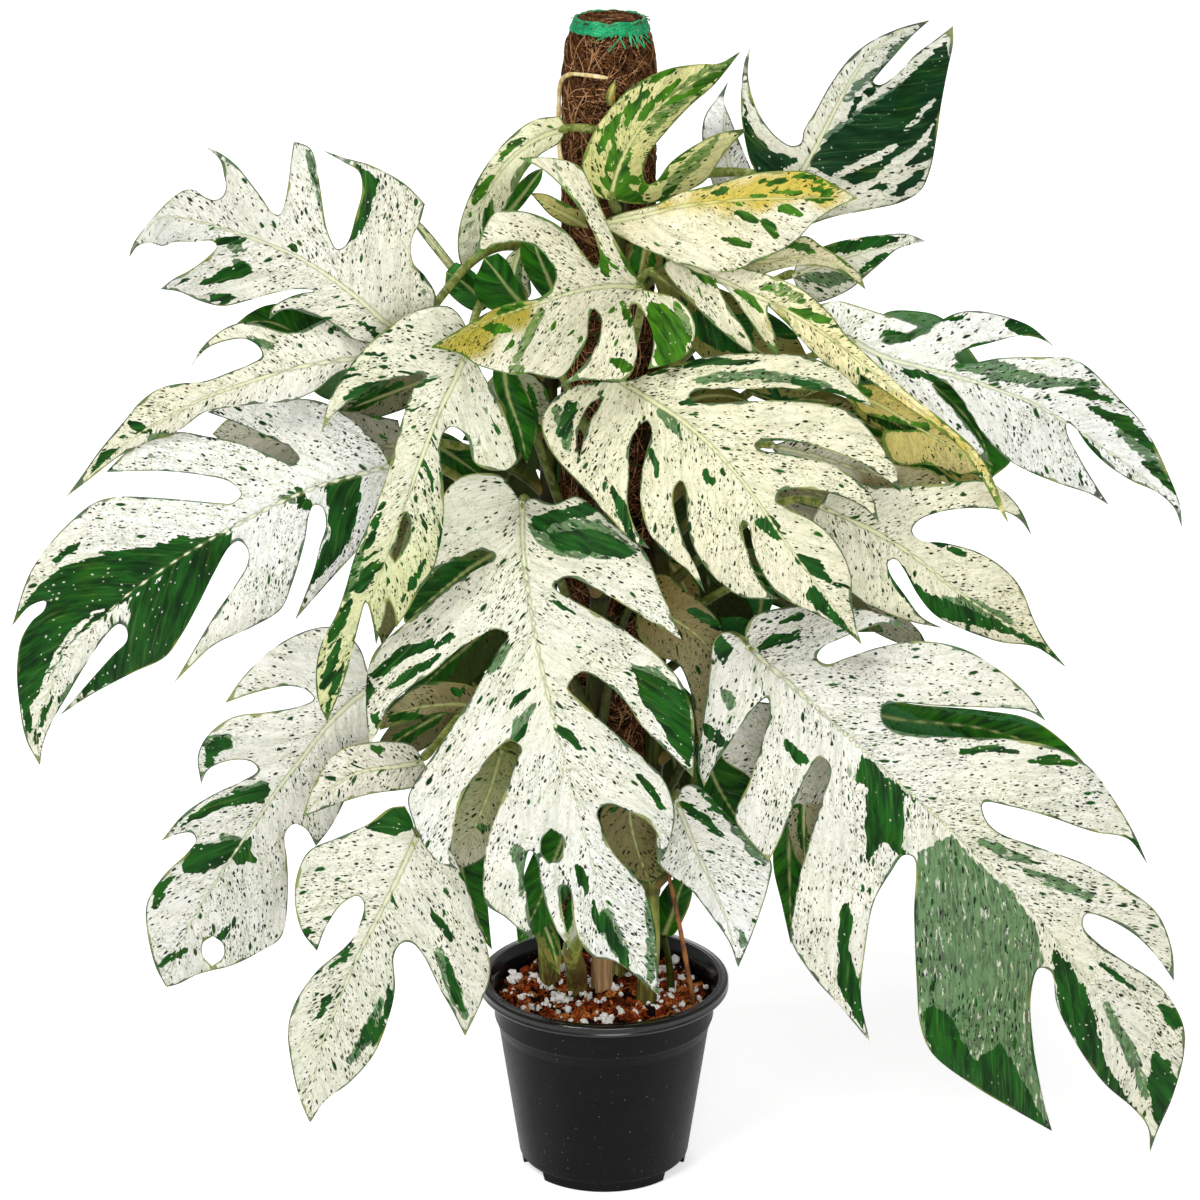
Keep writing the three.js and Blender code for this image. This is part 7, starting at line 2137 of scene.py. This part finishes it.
smallLeaves = {
    "foot_strap": {
        "rib": "528,890,40 540,915,52 552,945,56 560,975,52", "one": "526,905 534,935 548,962",
        "two": "540,896 553,920 561,950", "ground": "3a7a30 8a7a3a", "dose": (0, 0.8, 0.2),
        "dark": "520,880,3 540,915,5 552,945,5 558,962,2",
    },
    "foot_dark": {
        "rib": "585,868,34 580,895,42 574,920,46 567,950,44", "one": "574,885 566,910 562,934",
        "two": "594,888 588,915 578,938", "ground": "e2e2d0 cfd0b0", "dose": (0.2, 0.8, 0.2),
        "dark": "572,872,4 570,900,7 566,930,4",
    },
    "crown_dark": {
        "rib": "560,306,42 548,278,48 538,254,50 528,226,46", "one": "546,300 528,276 520,250",
        "two": "578,286 566,256 546,234", "ground": "235a26 2c6a2c", "dose": (0.2, 0.8, 0.1),
        "dark": "480,200 620,200 620,320 480,320", "washes": {"7a3a16": "546,266 560,268 560,282 548,280"},
    },
    "crown_olive": {
        "rib": "588,228,40 568,216,48 549,206,50 530,193,46", "one": "570,226 550,215 538,202",
        "two": "584,214 566,204 546,194", "ground": "8f8c48 cfc27a", "dose": (0.3, 0.8, 0.2),
        "dark": "560,230,3 576,240,5 590,250,3",
    },
    "crown_spike": {
        "rib": "468,288,44 446,260,54 424,232,56 401,205,52", "one": "462,286 442,262 418,231",
        "two": "467,281 448,255 426,228", "ground": "d9d6a2 e6e2c4", "dose": (0.3, 0.3, 0.2),
    },
    "crown_stripe": {
        "rib": "505,216,44 520,198,48 532,182,50 543,168,46", "one": "500,206 514,188 532,172",
        "two": "516,212 530,196 541,180", "ground": "235a26 2c6a2c", "dose": (0.2, 0.8, 0.1),
        "dark": "480,140 560,140 560,230 480,230",
    },
    "crown_green": {
        "rib": "490,306,44 474,292,54 460,280,56 446,272,52", "one": "478,312 458,302 446,288",
        "two": "488,292 474,272 456,262", "ground": "2c6a2c 3f8a34", "dose": (0.2, 0.8, 0.1),
        "dark": "480,290,6 462,280,8",
    },
    "inner_left": {
        "rib": "506,604,20 474,640,26 442,668,28 404,704,22", "one": "476,606 436,632 408,672",
        "two": "510,640 480,676 436,704", "ground": "3a4a1c 4c5a24", "dose": (0.4, 1.0, 0.3),
        "dark": "480,630,8 440,664,14 416,690,6",
    },
    "inner_low_left": {
        "rib": "478,690,16 444,712,24 410,732,26 372,758,20", "one": "446,692 410,708 384,734",
        "two": "476,716 440,740 402,758", "ground": "5c5a34 77724c", "dose": (0.6, 1.0, 0.4),
        "dark": "440,716,5 400,740,8",
    },
    "inner_shoulder": {
        "rib": "436,376,30 404,388,40 372,400,42 336,414,34", "one": "410,370 376,380 350,398",
        "two": "428,396 396,412 360,420", "ground": "8a8768 a39f80", "dose": (0.6, 1.0, 0.6),
        "dark": "400,386,4 370,400,6 350,410,4",
    },
    "inner_right": {
        "rib": "796,396,10 836,410,26 876,428,30 912,450,24", "one": "822,394 862,408 896,430",
        "two": "812,412 852,434 890,448", "ground": "8f8450 a89c62", "dose": (0.6, 0.9, 0.3),
        "dark": "830,408,3 860,422,5 884,436,3",
    },
    "inner_right_low": {
        "rib": "756,474,8 800,488,22 842,502,28 880,516,22", "one": "792,476 836,488 868,504",
        "two": "780,496 822,510 862,520", "ground": "a39c78 b9b290", "dose": (0.6, 0.7, 0.3),
    },
    "inner_foot": {
        "rib": "580,800,60 558,850,72 540,900,68 518,944,58", "one": "558,812 532,856 516,906",
        "two": "592,836 574,884 546,926", "ground": "1d4a1c 2c5a24", "dose": (0.2, 0.8, 0.1),
        "dark": "480,780 620,780 620,960 480,960",
    },
    "crown_core": {
        "rib": "646,232,24 644,252,34 640,272,36 634,294,28", "one": "622,246 616,268 620,286",
        "two": "664,244 662,266 652,286", "ground": "8f8c48 6a6a30", "dose": (0.3, 1.2, 0.3),
        "dark": "640,240,3 636,262,6 630,286,3; 654,244,2 652,262,4 646,282,2",
    },
    "crown_pale": {
        "rib": "522,246,34 515,266,42 514,286,44 522,304,38", "one": "508,256 502,276 508,294",
        "two": "532,256 530,278 531,294", "ground": "cfd2a0 e0dfc0", "dose": (0.5, 1.1, 0.5),
        "sage": "520,256,3 518,276,5 522,296,3",
    },
    "crown_low": {
        "rib": "500,368,16 512,390,28 522,412,30 532,438,22", "one": "486,384 496,408 512,430",
        "two": "536,376 549,398 548,424", "ground": "b9bf98 a8a882", "dose": (0.5, 1.1, 0.5),
        "dark": "510,380,3 518,400,6 526,424,3; 528,384,2 534,404,4 536,424,2",
    },
    "inner_hole": {
        "rib": "424,492,20 406,536,32 394,590,34 382,646,26", "one": "438,520 424,566 402,616",
        "two": "400,508 384,552 372,606", "ground": "6a6a3c 8a865a", "dose": (0.5, 0.9, 0.3),
    },
    "inner_neck": {
        "rib": "426,440,12 444,450,24 462,462,26 482,476,18", "one": "440,432 462,442 478,460",
        "two": "430,458 448,472 468,480", "ground": "1d4a1c 2c5a24", "dose": (0.2, 0.8, 0.1),
        "dark": "400,400 520,400 520,500 400,500",
    },
    "inner_speck": {
        "rib": "462,668,10 474,684,20 486,702,22 498,720,14", "one": "478,664 494,686 502,706",
        "two": "462,686 472,704 486,718", "ground": "3a4a1c 4c5a24", "dose": (0.4, 1.0, 0.3),
    },
    "inner_chink": {
        "rib": "664,556,4 676,572,14 686,590,16 692,610,8", "one": "682,560 696,580 700,598",
        "two": "664,574 672,592 684,606", "ground": "7d6a30 8a7a44", "dose": (0.4, 1.0, 0.3),
    },
    "inner_gold": {
        "rib": "846,398,32 898,424,44 948,460,46 1000,500,38", "one": "872,398 924,428 974,470",
        "two": "860,416 908,446 966,488", "ground": "c9b860 a8a050", "dose": (0.4, 1.3, 0.3),
        "dark": "870,414,3 910,438,6 960,474,3",
    },
    "inner_gold_low": {
        "rib": "838,440,26 890,450,38 940,466,40 985,490,32", "one": "870,436 920,448 966,472",
        "two": "860,456 908,468 956,486", "ground": "b8a850 c9c080", "dose": (0.4, 1.3, 0.3),
        "dark": "860,446,3 910,460,6 950,474,3",
    },
    "inner_wedge": {
        "rib": "836,596,10 872,612,24 902,628,28 928,648,20", "one": "868,598 900,614 920,632",
        "two": "850,616 878,634 908,646", "ground": "c8c4ac b8b49c", "dose": (0.6, 0.8, 0.3),
    },
    "inner_cleft": {
        "rib": "806,776,70 804,808,82 804,840,84 806,874,76", "one": "788,796 788,830 796,858",
        "two": "822,796 824,828 816,860", "ground": "b8b292 8a8660", "dose": (0.6, 1.0, 0.3),
        "dark": "800,800,3 802,826,5 804,850,3",
    },
    "inner_bridge": {
        "rib": "766,486,4 788,504,14 806,524,16 822,548,8", "one": "794,490 818,510 828,530",
        "two": "770,502 788,522 806,542", "ground": "d8d2bd c8c0a4", "dose": (0.6, 0.5, 0.3),
    },
    "inner_sliver": {
        "rib": "748,394,14 790,398,22 830,402,22 870,414,14", "one": "776,388 820,390 850,400",
        "two": "776,404 814,410 848,414", "ground": "5c5a24 77702c", "dose": (0.4, 0.9, 0.3),
    },
    "inner_strap": {
        "rib": "684,402,20 706,396,34 728,396,36 750,402,30", "one": "694,392 716,386 738,392",
        "two": "698,406 720,408 738,408", "ground": "5c5a24 77702c", "dose": (0.4, 0.9, 0.3),
    },
    "inner_lower_right": {
        "rib": "700,560,6 760,574,22 830,596,34 884,632,30", "one": "736,548 800,560 856,592",
        "two": "716,584 776,606 836,630", "ground": "4c5230 6f7048", "dose": (0.4, 1.0, 0.5),
        "dark": "740,570,8 800,588,12 850,612,6",
    },
    "pole_bud": {
        "rib": "611,106,34 610,98,37 612,90,37 615,80,34", "one": "607,104 606,96 609,87",
        "two": "615,102 615,94 616,86", "ground": "b08a3a d6b860", "dose": (0, 0.2, 0),
    },
    "left_bud": {
        "rib": "474,795,60 480,790,64 486,784,64 492,777,60", "one": "474,789 480,783 487,778",
        "two": "480,796 487,791 492,784", "ground": "c2a84a d8cb88", "dose": (0.1, 0.2, 0),
    },
}


def growSmallLeaves():
    for number, (name, drawn) in enumerate(smallLeaves.items()):
        mesh = leafMesh(name, smallLeaf(drawn), 120 + number, drawn)[0]
        addPiece(name, mesh, [leafCream if "bud" in name or "spike" in name else leafGreen], "leaf_green")
    print("small leaves grown:", len(smallLeaves))


growSmallLeaves()


# Floor and light

studio = {
    "floor": 0.9, "floorGlow": 0.5, "floorSize": 30.0, "world": 0.27,
    "sun": {"strength": 1.75, "softness": 24, "from": (-0.75, -1.1, 1.6)},
    "fill": {"at": (0.4, -2.9, 1.25), "size": 2.0, "power": 50},
    "rim": {"at": (-0.3, 2.4, 2.4), "size": 1.6, "power": 22},
}


def makeFloor():
    material, tree, shader = newMaterial("paleFloor", Roughness=0.9)
    cloud = noise(tree, stretch(tree, position(tree), (0.8, 0.8, 0.8)), 1.0, 2.0)
    pale = studio["floor"]
    lighter = pale + 0.02
    tone = mixed(tree, cloud, (pale, pale, pale, 1), (lighter, lighter, lighter, 1))
    tree.links.new(tone, shader.inputs["Base Color"])
    seen = addNode(tree, "LightPath").outputs["Is Camera Ray"]  # a white sweep in the picture only
    shader.inputs["Emission Color"].default_value = (1, 1, 1, 1)
    tree.links.new(times(tree, seen, studio["floorGlow"]), shader.inputs["Emission Strength"])
    size = studio["floorSize"]
    corners = np.array([(-size, -size, 0), (size, -size, 0), (size, size, 0), (-size, size, 0)])
    mesh = meshOf("floor", corners - (0, 0, 0.0005), [np.array([[0, 1, 2, 3]])])
    floor = bpy.data.objects.new("floor", mesh)
    bpy.context.scene.collection.objects.link(floor)
    mesh.materials.append(material)


def aimed(name, lamp, at, target=(0, 0, 0.4)):
    holder = bpy.data.objects.new(name, lamp)
    holder.location = at
    holder.rotation_euler = (Vector(target) - Vector(at)).to_track_quat("-Z", "Y").to_euler()
    bpy.context.scene.collection.objects.link(holder)


def makeLights():
    sun = bpy.data.lights.new("key", "SUN")
    sun.energy = studio["sun"]["strength"]
    sun.angle = math.radians(studio["sun"]["softness"])
    aimed("key", sun, studio["sun"]["from"], (0, 0, 0))
    for name in ("fill", "rim"):
        lamp = bpy.data.lights.new(name, "AREA")
        lamp.shape = "DISK"
        lamp.size = studio[name]["size"]
        lamp.energy = studio[name]["power"]
        aimed(name, lamp, studio[name]["at"])
    world = bpy.data.worlds.new("studio")
    bpy.context.scene.world = world
    world.use_nodes = True
    world.node_tree.nodes["Background"].inputs["Color"].default_value = (1, 1, 1, 1)
    world.node_tree.nodes["Background"].inputs["Strength"].default_value = studio["world"]
    bpy.context.scene.view_settings.view_transform = "Standard"


makeFloor()
makeLights()
